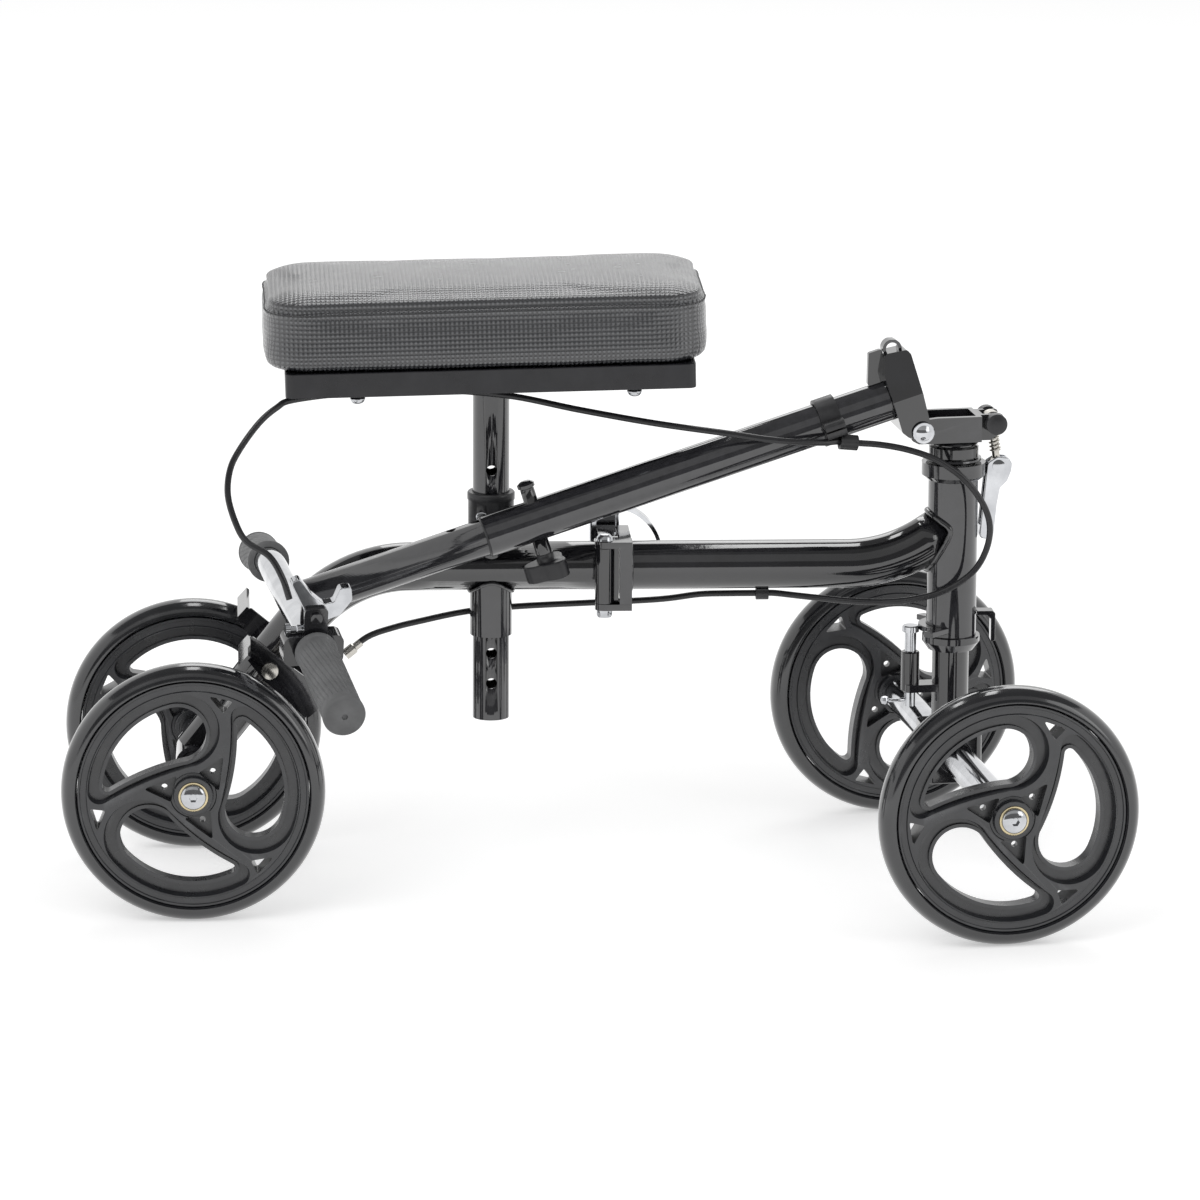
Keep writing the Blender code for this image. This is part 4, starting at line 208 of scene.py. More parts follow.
# Seat
TRAY_REAR_X = -224.0 * mm
TRAY_FRONT_X = 90.5 * mm
TRAY_W = 160.0 * mm
TRAY_LIP = 19.0 * mm
TRAY_T = 2.0 * mm
TRAY_Z = 406.9 * mm
TRAY_PITCH = 1.25 * deg
TRAY_SCREW_R = 4.6 * mm
TRAY_DOME = in_mm((0, 0), (5.6, 0), (5.9, 0.5), (5.7, 1.2), (5.2, 2.6), (4.0, 3.9), (2.2, 4.6), (0, 4.8))
TRAY_SCREW_HEAD = in_mm((0, -6.4), (3.4, -5.6), (4.6, -3))
TRAY_SCREWS = in_mm(*((x, y) for x in (-102, 110) for y in (-70, 70)))
PAD_L = 342.0 * mm
PAD_W = 170.0 * mm
PAD_H = 66.0 * mm
PAD_CROWN = 9.0 * mm
PAD_CORNER_R = 34.0 * mm
PAD_CORNER_STEPS = 5
PAD_SEAM_AT = 46.0 * mm
PAD_SHIFT = -2.5 * mm

# Steering column, in its own frame: Z runs from the pivot up the tube
PIVOT_BACK = 29.9 * mm
PIVOT_Z = 362.5 * mm
PIVOT_R = 4.5 * mm
COLUMN_DROP = 17.0 * deg
COLUMN_OFFSET = 27.8 * mm
COLUMN_R = 16.0 * mm
COLUMN_WALL = 1.35 * mm
COLUMN_END = 346.7 * mm
CASTING_TOP = 15.5 * mm
CASTING_PLATE = 11.3 * mm
CASTING_FRONT_X = 66.0 * mm
FLANGE_HALF_W = 22.0 * mm
NOSE_HALF_W = 7.0 * mm
TAPER_FROM = 30.0 * mm
CLAMP_AT = 65.2 * mm
KNOB_AT = 307.5 * mm
KNOB_R = 19.0 * mm
KNOB_BOSS_R = 6.25 * mm
KNOB_BOSS_H = 11.0 * mm
KNOB_HEAD_AT = 33.0 * mm
KNOB_HEAD_T = 14.0 * mm
BUTTON_R = 5.5 * mm
BUTTON_DOME_R = 6.8 * mm
BUTTON_H = 16.5 * mm
KNOB_STEM_R = 3.5 * mm
MAST_R = 14.3 * mm
MAST_WALL = 1.6 * mm
MAST_START = 183.0 * mm
MAST_HOLES = 4
MAST_HOLE_AT = 371.2 * mm
BAR_AT = 506.0 * mm
BAR_LIFT = 4.8 * mm
BAR_TWIST = -1.4 * deg
BAR_TURN = -0.9 * deg
BAR_R = 11.1 * mm
BAR_HALF = 238.0 * mm
BAR_BEND_AT = 100.0 * mm
BAR_BEND_R = 120.0 * mm
BAR_SWEEP = 0.2
GRIP_R = 15.8 * mm
GRIP_L = 111.0 * mm
GRIP_CAP = 4.0 * mm
LEVER_CLAMP_BACK = 11.0 * mm
LEVER_PIN_UP = 26.0 * mm
LEVER_SLOT_UP = 16.0 * mm
LEVER_BOLT_R = 3.0 * mm
BLADE_HALF = 4.5 * mm

# Rear brake yoke: its places are read from the spot on the tyre that the shoe faces
SHOE_SPOT_X = REAR_X + 0.28 * WHEEL_R
SHOE_SPOT_Z = WHEEL_R + 0.96 * WHEEL_R
YOKE_X = SHOE_SPOT_X + 31.302 * mm
YOKE_Z = SHOE_SPOT_Z - 17.136 * mm
YOKE_HALF_W = 47.0 * mm
YOKE_T = 2.5 * mm
YOKE_BOLT_R = 4.0 * mm
SHOE_END = 111.0 * mm
SHOE_CORNERS = in_mm((14.202, 11.364), (6.802, 3.164), (8.702, 1.464), (16.302, 9.664))
PLATE_CORNERS = in_mm((16.702, 11.264), (41.302, -9.136), (76.302, -36.136), (66.602, -50.136),
                      (59.802, -56.136), (28.302, -27.136), (6.302, 1.364))
WEB_CORNERS = in_mm((75.702, -36.136), (73.302, -34.536), (58.302, -53.736), (60.502, -55.536))
LUG_FOOT = in_mm((72.302, -39.136), (75.802, -39.636))
LUG_TIP = in_mm((-5.6, 9), (-9.1, 10))
LUG_RIGHT = 16 * mm
LUG_LEFT = 5 * mm
YOKE_LAP = 1 * mm

# Brake cable and what holds it
CABLE_R = 2.5 * mm
FERRULE_R = 4.4 * mm
FERRULE_BORE = CABLE_R + GAP
CLIP_X = 148.0 * mm
CLIP_Z = 229.5 * mm
COLUMN_CLIP = (10.8 * mm, -17.4 * mm, 57.6 * mm)
CLIP_RUN = (0.40, -0.05, 0.915)
CLAMP_TURN = -95.0 * deg

# The cable's centre line in millimetres, from the lever to the rear brake
CABLE_UPPER = (
    (-222.8, -188.3, 273), (-228.3, -187, 289.9), (-237.9, -183, 305.3), (-254.4, -178, 315.1),
    (-262.5, -168, 326.7), (-268.4, -150, 344.3), (-266.7, -133, 360.6), (-259, -118, 373.5),
    (-244.3, -95, 388.6), (-230.5, -80, 397.4), (-218.1, -70, 401), (-174.3, -56, 403.2),
    (-112.6, -44, 402.6), (-52.9, -31, 395.2), (3.5, -31, 383.4), (61.1, -38, 374), (117, -42, 366.5),
    (154.5, -43, 361), (188, -37, 357.6), (202.9, -30.6, 357.0), (211.1, -29.1, 356.0),
)
CABLE_FRONT = (
    (212.3, -28.9, 355.9), (220.5, -27.4, 354.9), (236.4, -29, 353.9),
    (255.8, -29, 350.3), (275.4, -29, 343.9), (291.1, -29, 335),
    (306.1, -29, 322.2), (318.9, -29, 303), (323.1, -29, 285.4), (319.5, -29, 267.1), (309.7, -28, 250.9),
    (292.8, -27, 238.8), (273.6, -25, 231.3), (246.7, -20, 226.3), (216.1, -12, 225.4), (193.2, -5, 226.3),
    (174, -0.6, 227.6), (158, 0, 229.4), (148.4, 0, 229.5),
)
CABLE_REAR = (
    (147.4, 0, 229.5), (137, 0, 229.5), (122, 2, 229), (100, 8, 227.1), (76, 16, 222), (53.7, 22, 219),
    (14.6, 24, 217),
    (-44.3, 24, 214.4), (-83.5, 23, 210.8), (-118.8, 19, 204.5), (-140.1, 13, 200.8), (-160.6, 8, 194.6),
    (-177.9, 5, 181),
)

# Where the spokes point on each wheel
SPOKE_COUNT = 3
SPOKE_STEP = 120.0 * deg
REAR_FAR_PHASE = -40.0 * deg
FRONT_NEAR_PHASE = -8.0 * deg
FRONT_FAR_PHASE = 58.0 * deg
RIM_BAND_T = 9.0 * mm
POCKET_LEDGE = 10.0 * mm
POCKET_R = TYRE_SEAT_R - RIM_BAND_T
OPENING_R = POCKET_R - POCKET_LEDGE
OPENING_FAT_R = 22.0 * mm
OPENING_FAT_AT = -136.0
OPENING_TIP_R = 4.0 * mm
OPENING_TIP_AT = -65.0
OPENING_BULGE = 3.0 * mm
POCKET_FAT_R = 28.5 * mm
POCKET_FAT_AT = -140.0
POCKET_TIP_R = 8.0 * mm
POCKET_TIP_AT = -62.0
POCKET_STEPS = 3
CORNER_HOLE_AT = 73.0 * deg
CORNER_HOLE_R = POCKET_R - 4.5 * mm
CORNER_HOLE = in_mm((4.3, -7.8), (2.9, 11.0), (-7.1, -3.7))
DRAIN_HOLE_AT = 48.0 * deg
DRAIN_HOLE_R = 22.5 * mm
DRAIN_HOLE_SIZE = 2.4 * mm
TYRE_SHOULDER = 1.5 * mm
TYRE_TUCK = 3.0 * mm
TYRE_STEPS = 6
AXLE_BOLT_REACH = 10.0 * mm

# Sides and steps of round pieces
BIG_STEPS = 24
SWEPT_STEPS = 12
TUBE_STEPS = 16
SMALL_STEPS = 10
HOLE_STEPS = 6
ON_AXIS = 1e-7

# How much finer the pieces are than the model: sides and steps, and points of a curve
FINE = 4
CURVE_FINE = 5

# Details of the wheels
OUTLINE_POINTS = 120
RIM_LEDGE = 1.2 * mm
RIM_RING_T = 2.2 * mm
LIP_T = 2.8 * mm
LIP_H = 2.2 * mm
POCKET_DRAFT = 1.2 * mm
HUB_RING_T = 3.6 * mm
HUB_POCKET_DEPTH = 8.6 * mm
HUB_POCKET_AT = 47.0 * deg
HUB_POCKET = in_mm((38.3, 3.7), (15.5, -12.5), (15.4, 9.0))
HUB_POCKET_CORNER_R = 1.6 * mm
CORNER_HOLE_ROUND = 1.2 * mm
LIP_OVERLAP = 0.05 * mm
CUT_BEYOND = 2.0 * mm
SOCKET_R = 3.3 * mm
WASHER_R = AXLE_HEAD_R + 1.1 * mm
TYRE_BULGE = 0.92
TYRE_BEAD = 0.2 * mm
TYRE_BEAD_STEP = 0.5 * mm

# Details of the grips
GRIP_RIBS = 26
GRIP_RIB_DEPTH = 0.7 * mm
GRIP_RIB_TWIST = 0.9
GRIP_RIB_WIDTH = 0.45
GRIP_PLAIN_END = 0.1
GRIP_LENGTH_STEPS = 40
GRIP_COLLAR_END = 6.0 * mm
GRIP_END_HOLE_R = 2.4 * mm

# Details of the cushion
PAD_SHRINK = 1.2 * mm
PAD_SEAM_DEPTH = 0.9 * mm
PAD_SEAM_ROLL = 1.2 * mm
PAD_SEAM_HALF = 1.8 * mm
PAD_SEAM_REACH = 22.0 * mm
PAD_ROLL_AT = 2.2
PAD_ROLL_WIDTH = 1.1
PAD_SWELL = 3.0
PAD_SWELL_LIMIT = 1.5 * mm
PAD_CLOTH_STEPS = 20
PAD_HELD_BELOW = 4.0 * mm
PAD_VOXEL = 4.2 * mm
PAD_RUFFLE = 0.5 * mm
PAD_RUFFLE_SCALE = 17.0
PAD_STITCH_AT = PAD_SEAM_AT + 5.5 * mm
PAD_TOP = PAD_H - 4.5 * mm
PAD_FLAT = 0.5
VINYL_GRID = math.pi / (3.5 * mm)
STITCH_L = 3.6 * mm
STITCH_GAP = 1.4 * mm
STITCH_R = 0.42 * mm
STITCH_INSET = -2.0 * mm
STITCH_POINTS = 2000
STITCH_LIFT = 0.1 * mm
STITCH_ARCH = 0.3 * mm
STITCH_SINK = 0.8 * mm

# Details of the cable
CABLE_STEP = 28.0 * mm
CLIP_W = 10.0 * mm

# Details of the welds
WELD_SIDES = 12
WELD_UNEVEN = 0.12
WELD_NOISE = 700.0
WELD_POINTS = 120
WELD_RING_POINTS = 96

# The photograph's view, in the chassis frame
PHOTO_SIZE = 1200
SENSOR = 36.0
VIEW_RISE = 13.608 * deg
VIEW_TURN = -3.026 * deg
VIEW_ROLL = 0.26 * deg
VIEW_DISTANCE = 5691.55 * mm
VIEW_TARGET = Vector((21.247, 0.0, 224.849)) * mm
VIEW_FOCAL_PIXELS = 7286.6

# The studio: floor and world levels, area lamps (spot, size, power) and cards that only mirrors see
FLOOR_HALF = 14.0
FLOOR_GREY = 0.82
FLOOR_GLOW = 0.42
WORLD_LIGHT = 0.62
WORLD_SEEN = 1.0
LAMP_TARGET = (0.0, 0.0, 0.2)
LAMPS = {
    "key": ((-1.8, -2.6, 3.2), (2.4, 2.4), 46.0),
    "fill": ((2.8, -2.2, 1.8), (1.8, 2.2), 16.0),
    "rim": ((0.6, 3.0, 2.6), (2.6, 1.6), 26.0),
}
CARD_FOOT = 0.1
CARDS = {
    "front_shade": (0.5, 26.0, 0.16),
    "front_screen": (26.0, 60.0, 0.44),
    "top_shade": (60.0, 128.0, 0.2),
    "left_strip": (92.0, 116.0, 5.0, 1.6, -0.30, 0.09),
    "right_strip": (92.0, 116.0, 5.0, 1.6, 0.27, 0.09),
}

# Every visible piece in the order it is made, and the host node of each that stands for no node
made = []
extras = {}

JOINTS = {joint["name"]: joint for joint in frame["joints"]}
NODE_BODY = {node: body for body, nodes in frame["record"]["behaviour"]["bodies"].items() for node in nodes}


def root_place():
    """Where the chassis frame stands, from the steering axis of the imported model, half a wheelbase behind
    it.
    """
    steer = JOINTS["steering_turn"]["pos_m"]
    return Vector((steer[0] - FRONT_X, steer[1], 0.0))


# Materials

def node_of(tree, kind, **inputs):
    """A shader node with its inputs set by name."""
    node = tree.nodes.new(kind)
    for name, value in inputs.items():
        node.inputs[name.replace("_", " ")].default_value = value
    return node


def ramp_of(tree, source, stops):
    """A colour ramp with (place, grey or colour) stops, fed by source."""
    ramp = tree.nodes.new("ShaderNodeValToRGB")
    elements = ramp.color_ramp.elements
    while len(elements) < len(stops):
        elements.new(0.5)
    for element, (place, value) in zip(elements, stops):
        color = value if isinstance(value, tuple) else (value, value, value)
        element.position = place
        element.color = (*color, 1.0)
    tree.links.new(source, ramp.inputs["Fac"])
    return ramp.outputs["Color"]


def xyz_of(tree, vector):
    """A vector's three parts."""
    split = tree.nodes.new("ShaderNodeSeparateXYZ")
    tree.links.new(vector, split.inputs["Vector"])
    return split.outputs


def coords(tree, scale=(1.0, 1.0, 1.0)):
    """The piece's own coordinates in metres, stretched by scale."""
    where = tree.nodes.new("ShaderNodeTexCoord")
    mapping = tree.nodes.new("ShaderNodeMapping")
    mapping.inputs["Scale"].default_value = scale
    tree.links.new(where.outputs["Object"], mapping.inputs["Vector"])
    return mapping.outputs["Vector"]


def noise_of(tree, vector, scale, detail=4.0):
    texture = node_of(tree, "ShaderNodeTexNoise", Scale=scale, Detail=detail, Roughness=0.55)
    tree.links.new(vector, texture.inputs["Vector"])
    return texture.outputs["Fac"]


def mix_of(tree, factor, one, two):
    """one where factor is 0, two where it is 1."""
    mix = tree.nodes.new("ShaderNodeMix")
    mix.data_type = "RGBA"
    tree.links.new(factor, mix.inputs["Factor"])
    for value, name in ((one, "A"), (two, "B")):
        socket = [s for s in mix.inputs if s.name == name and s.type == "RGBA"][0]
        if isinstance(value, tuple):
            socket.default_value = (*value, 1.0)
        else:
            tree.links.new(value, socket)
    return [s for s in mix.outputs if s.type == "RGBA"][0]


def math_of(tree, operation, one, two=None):
    node = tree.nodes.new("ShaderNodeMath")
    node.operation = operation
    for index, value in enumerate((one, two)):
        if value is None:
            continue
        if isinstance(value, (int, float)):
            node.inputs[index].default_value = value
        else:
            tree.links.new(value, node.inputs[index])
    return node.outputs["Value"]


def bump_chain(tree, shader, heights):
    """Bumps laid over each other: (height source, strength, distance in metres)."""
    last = None
    for height, strength, distance in heights:
        bump = node_of(tree, "ShaderNodeBump", Strength=strength, Distance=distance)
        tree.links.new(height, bump.inputs["Height"])
        if last is not None:
            tree.links.new(last, bump.inputs["Normal"])
        last = bump.outputs["Normal"]
    tree.links.new(last, shader.inputs["Normal"])


def edge_of(tree, low, high):
    """Near 1 on sharp convex edges, 0 on flats."""
    geometry = tree.nodes.new("ShaderNodeNewGeometry")
    return ramp_of(tree, geometry.outputs["Pointiness"], ((low, 0.0), (high, 1.0)))


def start_material(name, metallic, **constants):
    """A new Principled material whose even values are set on the shader's own sockets."""
    material = bpy.data.materials.new(name)
    material.use_nodes = True
    shader = material.node_tree.nodes["Principled BSDF"]
    shader.inputs["Metallic"].default_value = metallic
    for key, value in constants.items():
        shader.inputs[key.replace("_", " ")].default_value = value
    return material, material.node_tree, shader


def finish_paint(name, dark, light, worn, rough, bumps, metallic=0.0, **constants):
    """A surface with cloudy colour, worn edges, uneven gloss and (scale, strength, depth) bumps."""
    material, tree, shader = start_material(name, metallic, **constants)
    where = coords(tree)
    cloud = ramp_of(tree, noise_of(tree, where, 38.0), ((0.35, 0.0), (0.68, 1.0)))
    color = mix_of(tree, cloud, dark, light)
    rub = math_of(tree, "MULTIPLY", edge_of(tree, 0.53, 0.62), noise_of(tree, where, 160.0, 6.0))
    color = mix_of(tree, rub, color, worn)
    tree.links.new(color, shader.inputs["Base Color"])
    smear = ramp_of(tree, noise_of(tree, where, 70.0, 6.0), ((0.3, rough[0]), (0.72, rough[1])))
    tree.links.new(smear, shader.inputs["Roughness"])
    heights = []
    for scale, strength, distance in bumps:
        heights.append((noise_of(tree, where, scale, 3.0), strength, distance))
    bump_chain(tree, shader, heights)
    return material


@functools.cache
def gloss_black():
    return finish_paint("gloss_black_paint", (0.005, 0.005, 0.006), (0.009, 0.009, 0.011),
                        (0.04, 0.04, 0.045), (0.05, 0.11), ((260.0, 0.09, 0.0003), (1500.0, 0.04, 0.0001)),
                        Specular_IOR_Level=0.85, Coat_Weight=0.6, Coat_Roughness=0.03)


@functools.cache
def tray_black():
    return finish_paint("tray_black_paint", (0.010, 0.010, 0.012), (0.016, 0.016, 0.019),
                        (0.06, 0.06, 0.065), (0.16, 0.26), ((420.0, 0.12, 0.0002), (1500.0, 0.05, 0.0001)),
                        Specular_IOR_Level=0.45)


@functools.cache
def satin_black():
    return finish_paint("satin_black_metal", (0.018, 0.018, 0.020), (0.032, 0.032, 0.034),
                        (0.14, 0.14, 0.14), (0.30, 0.44), ((900.0, 0.18, 0.0002),), 0.35)


@functools.cache
def black_plastic():
    return finish_paint("black_plastic", (0.013, 0.013, 0.015), (0.024, 0.024, 0.026), (0.06, 0.06, 0.064),
                        (0.28, 0.42), ((1700.0, 0.25, 0.0001), (120.0, 0.08, 0.0004)))


@functools.cache
def gloss_plastic():
    return finish_paint("gloss_plastic", (0.006, 0.006, 0.007), (0.011, 0.011, 0.013), (0.05, 0.05, 0.055),
                        (0.08, 0.16), ((300.0, 0.10, 0.0003), (1600.0, 0.05, 0.0001)),
                        Specular_IOR_Level=0.8, Coat_Weight=0.4)


@functools.cache
def rim_plastic():
    return finish_paint("rim_plastic", (0.012, 0.0125, 0.015), (0.020, 0.021, 0.024), (0.085, 0.087, 0.092),
                        (0.24, 0.36), ((2100.0, 0.28, 0.0001), (90.0, 0.06, 0.0005)),
                        Specular_IOR_Level=0.9)


@functools.cache
def tyre_rubber():
    """Smooth cast rubber with faint rings round the axle and a little dust on the tread."""
    material, tree, shader = start_material("tyre_rubber", 0.0, Specular_IOR_Level=0.85, Coat_Weight=0.5,
                                            Coat_Roughness=0.05)
    where = coords(tree)
    across = math_of(tree, "MULTIPLY", xyz_of(tree, where)["Z"], 2600.0)
    rings = math_of(tree, "SINE", across)
    speck = ramp_of(tree, noise_of(tree, where, 900.0, 2.0), ((0.66, 0.0), (0.74, 1.0)))
    cloud = ramp_of(tree, noise_of(tree, where, 24.0), ((0.35, 0.0), (0.7, 1.0)))
    color = mix_of(tree, cloud, (0.007, 0.0075, 0.009), (0.013, 0.0135, 0.016))
    color = mix_of(tree, speck, color, (0.034, 0.035, 0.038))
    tree.links.new(color, shader.inputs["Base Color"])
    smear = ramp_of(tree, noise_of(tree, where, 46.0, 5.0), ((0.32, 0.10), (0.7, 0.19)))
    tree.links.new(smear, shader.inputs["Roughness"])
    bump_chain(tree, shader, [(rings, 0.05, 0.0001), (noise_of(tree, where, 700.0, 3.0), 0.06, 0.0002)])
    return material


@functools.cache
def grip_rubber():
    return finish_paint("grip_rubber", (0.100, 0.101, 0.103), (0.150, 0.152, 0.155), (0.26, 0.26, 0.26),
                        (0.50, 0.68), ((1400.0, 0.45, 0.0002), (260.0, 0.10, 0.0003)))


def bright_metal(name, dark, light, rough, scratch, pits):
    """Plated metal with fine lines along it, soft smears and small pits."""
    material, tree, shader = start_material(name, 1.0)
    where = coords(tree)
    along_lines = noise_of(tree, coords(tree, (1.0, 1.0, 0.04)), 2600.0, 2.0)
    cloud = ramp_of(tree, noise_of(tree, where, 60.0), ((0.35, 0.0), (0.7, 1.0)))
    color = mix_of(tree, cloud, dark, light)
    pit = ramp_of(tree, noise_of(tree, where, 1500.0, 2.0), ((0.70, 0.0), (0.76, 1.0)))
    color = mix_of(tree, math_of(tree, "MULTIPLY", pit, pits), color, (0.25, 0.24, 0.22))
    tree.links.new(color, shader.inputs["Base Color"])
    smear = ramp_of(tree, noise_of(tree, where, 90.0, 6.0), ((0.3, rough[0]), (0.75, rough[1])))
    tree.links.new(smear, shader.inputs["Roughness"])
    bump_chain(tree, shader, [(along_lines, scratch, 0.00005),
                              (noise_of(tree, where, 300.0, 3.0), 0.05, 0.0002)])
    return material


@functools.cache
def chrome():
    return bright_metal("chrome_plate", (0.50, 0.51, 0.53), (0.66, 0.67, 0.69), (0.05, 0.13), 0.06, 0.35)


@functools.cache
def zinc():
    return bright_metal("zinc_steel", (0.52, 0.50, 0.46), (0.70, 0.68, 0.63), (0.16, 0.30), 0.12, 0.7)


@functools.cache
def brass():
    return bright_metal("brass_washer", (0.60, 0.50, 0.30), (0.74, 0.64, 0.42), (0.18, 0.30), 0.10, 0.6)


@functools.cache
def cable_jacket():
    return finish_paint("cable_jacket", (0.012, 0.012, 0.014), (0.022, 0.022, 0.024), (0.05, 0.05, 0.05),
                        (0.22, 0.34), ((1300.0, 0.20, 0.0001),))


@functools.cache
def stitch_thread():
    """Twisted black thread."""
    material, tree, shader = start_material("stitch_thread", 0.0, Sheen_Weight=0.3)
    where = coords(tree)
    twist = noise_of(tree, coords(tree, (1.0, 1.0, 3.0)), 1800.0, 2.0)
    color = mix_of(tree, twist, (0.018, 0.018, 0.020), (0.060, 0.060, 0.064))
    tree.links.new(color, shader.inputs["Base Color"])
    rough = ramp_of(tree, noise_of(tree, where, 400.0), ((0.3, 0.55), (0.7, 0.8)))
    tree.links.new(rough, shader.inputs["Roughness"])
    bump_chain(tree, shader, [(twist, 0.5, 0.0003)])
    return material


@functools.cache
def vinyl():
    """Black upholstery vinyl embossed with an even grid of small pillows, with a soft sheen and a painted
    highlight on the crest of each pillow.
    """
    material, tree, shader = start_material("black_vinyl", 0.0, Specular_IOR_Level=0.95, Coat_Weight=0.25,
                                            Coat_Roughness=0.3)
    where = coords(tree)
    spot = xyz_of(tree, where)
    facing = xyz_of(tree, tree.nodes.new("ShaderNodeTexCoord").outputs["Normal"])
    on_end = math_of(tree, "GREATER_THAN", math_of(tree, "ABSOLUTE", facing["X"]), 0.72)
    on_top = math_of(tree, "GREATER_THAN", math_of(tree, "ABSOLUTE", facing["Z"]), 0.66)
    height = None
    for plain, turned_side, choice in (("X", "Y", on_end), ("Z", "Y", on_top)):
        pick = tree.nodes.new("ShaderNodeMix")
        tree.links.new(choice, pick.inputs[0])
        tree.links.new(spot[plain], pick.inputs[2])
        tree.links.new(spot[turned_side], pick.inputs[3])
        wave = math_of(tree, "SINE", math_of(tree, "MULTIPLY", pick.outputs[0], VINYL_GRID))
        wave = math_of(tree, "POWER", math_of(tree, "ABSOLUTE", wave), 0.9)
        height = wave if height is None else math_of(tree, "MULTIPLY", height, wave)
    cloud = ramp_of(tree, noise_of(tree, where, 12.0, 5.0), ((0.3, 0.0), (0.72, 1.0)))
    color = mix_of(tree, cloud, (0.016, 0.0165, 0.019), (0.026, 0.027, 0.030))
    worn = ramp_of(tree, noise_of(tree, where, 420.0, 3.0), ((0.55, 0.0), (0.75, 1.0)))
    color = mix_of(tree, math_of(tree, "MULTIPLY", worn, 0.4), color, (0.05, 0.051, 0.056))
    # Painted highlight: the crest of each embossed pillow is painted lighter, standing in for the bright dot
    # of light it reflects.
    painted_crest_highlight = ramp_of(tree, height, ((0.5, 0.0), (0.92, 1.0)))
    color = mix_of(tree, painted_crest_highlight, color, (0.105, 0.108, 0.115))
    tree.links.new(color, shader.inputs["Base Color"])
    rough = ramp_of(tree, noise_of(tree, where, 55.0, 5.0), ((0.3, 0.19), (0.72, 0.28)))
    tree.links.new(rough, shader.inputs["Roughness"])
    bump_chain(tree, shader, [(noise_of(tree, where, 26.0, 4.0), 0.10, 0.003), (height, 1.0, 0.00042),
                              (noise_of(tree, where, 1900.0, 3.0), 0.2, 0.0001)])
    return material


# Objects

def linked(name, data, parent=None):
    """A new object in the scene."""
    item = bpy.data.objects.new(name, data)
    bpy.context.scene.collection.objects.link(item)
    item.parent = parent
    return item


def add_object(name, bm, parent, material, matrix=None, smooth_angle=35.0):
    """Close the mesh's normals outward and place it under its parent."""
    bmesh.ops.recalc_face_normals(bm, faces=bm.faces)
    mesh = bpy.data.meshes.new(name)
    bm.to_mesh(mesh)
    bm.free()
    mesh.shade_smooth()
    mesh.set_sharp_from_angle(angle=smooth_angle * deg)
    mesh.materials.append(material)
    item = linked(name + "_piece", mesh, parent)
    if matrix is not None:
        item.matrix_local = matrix
    made.append(item)
    return item


def add_extra(name, bm, parent, material, matrix, host, smooth_angle=35.0):
    """A piece that stands for no node of its own and rides with its host node."""
    item = add_object(name, bm, parent, material, matrix, smooth_angle)
    extras[item.name] = host
    return item


def add_empty(name, parent, location=(0, 0, 0), rotation=(0, 0, 0)):
    item = linked(name + "_guide", None, parent)
    item.location = location
    item.rotation_euler = rotation
    return item


def cutter(name, bm, parent, matrix=None):
    """A guide piece that only cuts or joins."""
    item = add_object(name, bm, parent, black_plastic(), matrix)
    made.remove(item)
    item.hide_render = True
    item.display_type = "WIRE"
    return item


def boolean(item, tool, operation="DIFFERENCE"):
    """Cut or join with a hidden guide piece."""
    step = item.modifiers.new(tool.name, "BOOLEAN")
    step.operation = operation
    step.solver = "EXACT"
    step.object = tool


def applied(item):
    """Keep what the modifiers make as the piece's own mesh."""
    bpy.context.view_layer.update()
    graph = bpy.context.evaluated_depsgraph_get()
    mesh = bpy.data.meshes.new_from_object(item.evaluated_get(graph))
    item.modifiers.clear()
    item.data = mesh
    mesh.name = item.name
    return item


def finish_cuts(item, tools, joins=()):
    """Join and cut a piece with its guides, keep the result as its mesh and drop the guides."""
    for tool in joins:
        boolean(item, tool, "UNION")
    for tool in tools:
        boolean(item, tool)
    material = item.data.materials[0]
    applied(item)
    for tool in [*joins, *tools]:
        bpy.data.objects.remove(tool, do_unlink=True)
    item.data.materials.clear()
    item.data.materials.append(material)


def soften(item, width=0.5 * mm, segments=2, angle=32.0):
    """Round the hard edges and shade the flats flat."""
    bm = bmesh.new()
    bm.from_mesh(item.data)
    bmesh.ops.remove_doubles(bm, verts=bm.verts, dist=0.02 * mm)
    bmesh.ops.dissolve_limit(bm, angle_limit=0.4 * deg, verts=bm.verts, edges=bm.edges)
    bm.to_mesh(item.data)
    bm.free()
    item.data.shade_smooth()
    step = item.modifiers.new("soft_edges", "BEVEL")
    step.width = width
    step.segments = segments
    step.limit_method = "ANGLE"
    step.angle_limit = angle * deg
    step.use_clamp_overlap = True
    step.harden_normals = True
    step.miter_outer = "MITER_ARC"
    return applied(item)


# Outlines

def arc(cx, cy, radius, start, end, steps):
    """Points along an arc, both ends included, angles in degrees."""
    points = []
    steps = steps * FINE
    for i in range(steps + 1):
        angle = (start + (end - start) * i / steps) * deg
        points.append((cx + radius * math.cos(angle), cy + radius * math.sin(angle)))
    return points


def round_rect(width, height, radius, steps, cx=0.0, cy=0.0):
    half_w = width / 2 - radius
    half_h = height / 2 - radius
    points = []
    for quarter, (sx, sy) in enumerate(((1, 1), (-1, 1), (-1, -1), (1, -1))):
        start = 90.0 * quarter
        points += arc(cx + sx * half_w, cy + sy * half_h, radius, start, start + 90.0, steps)
    return points


def rounded_corners(points, radius, steps=3):
    """Round each corner of a closed outline."""
    result = []
    count = len(points)
    steps = steps * FINE
    for i in range(count):
        corner = Vector(points[i])
        before = Vector(points[i - 1]) - corner
        after = Vector(points[(i + 1) % count]) - corner
        angle = before.angle(after)
        reach = min(radius / math.tan(angle / 2), 0.45 * before.length, 0.45 * after.length)
        start = corner + before.normalized() * reach
        end = corner + after.normalized() * reach
        for k in range(steps + 1):
            t = k / steps
            point = start * (1 - t) ** 2 + corner * 2 * t * (1 - t) + end * t ** 2
            result.append((point.x, point.y))
    return result


# Solids

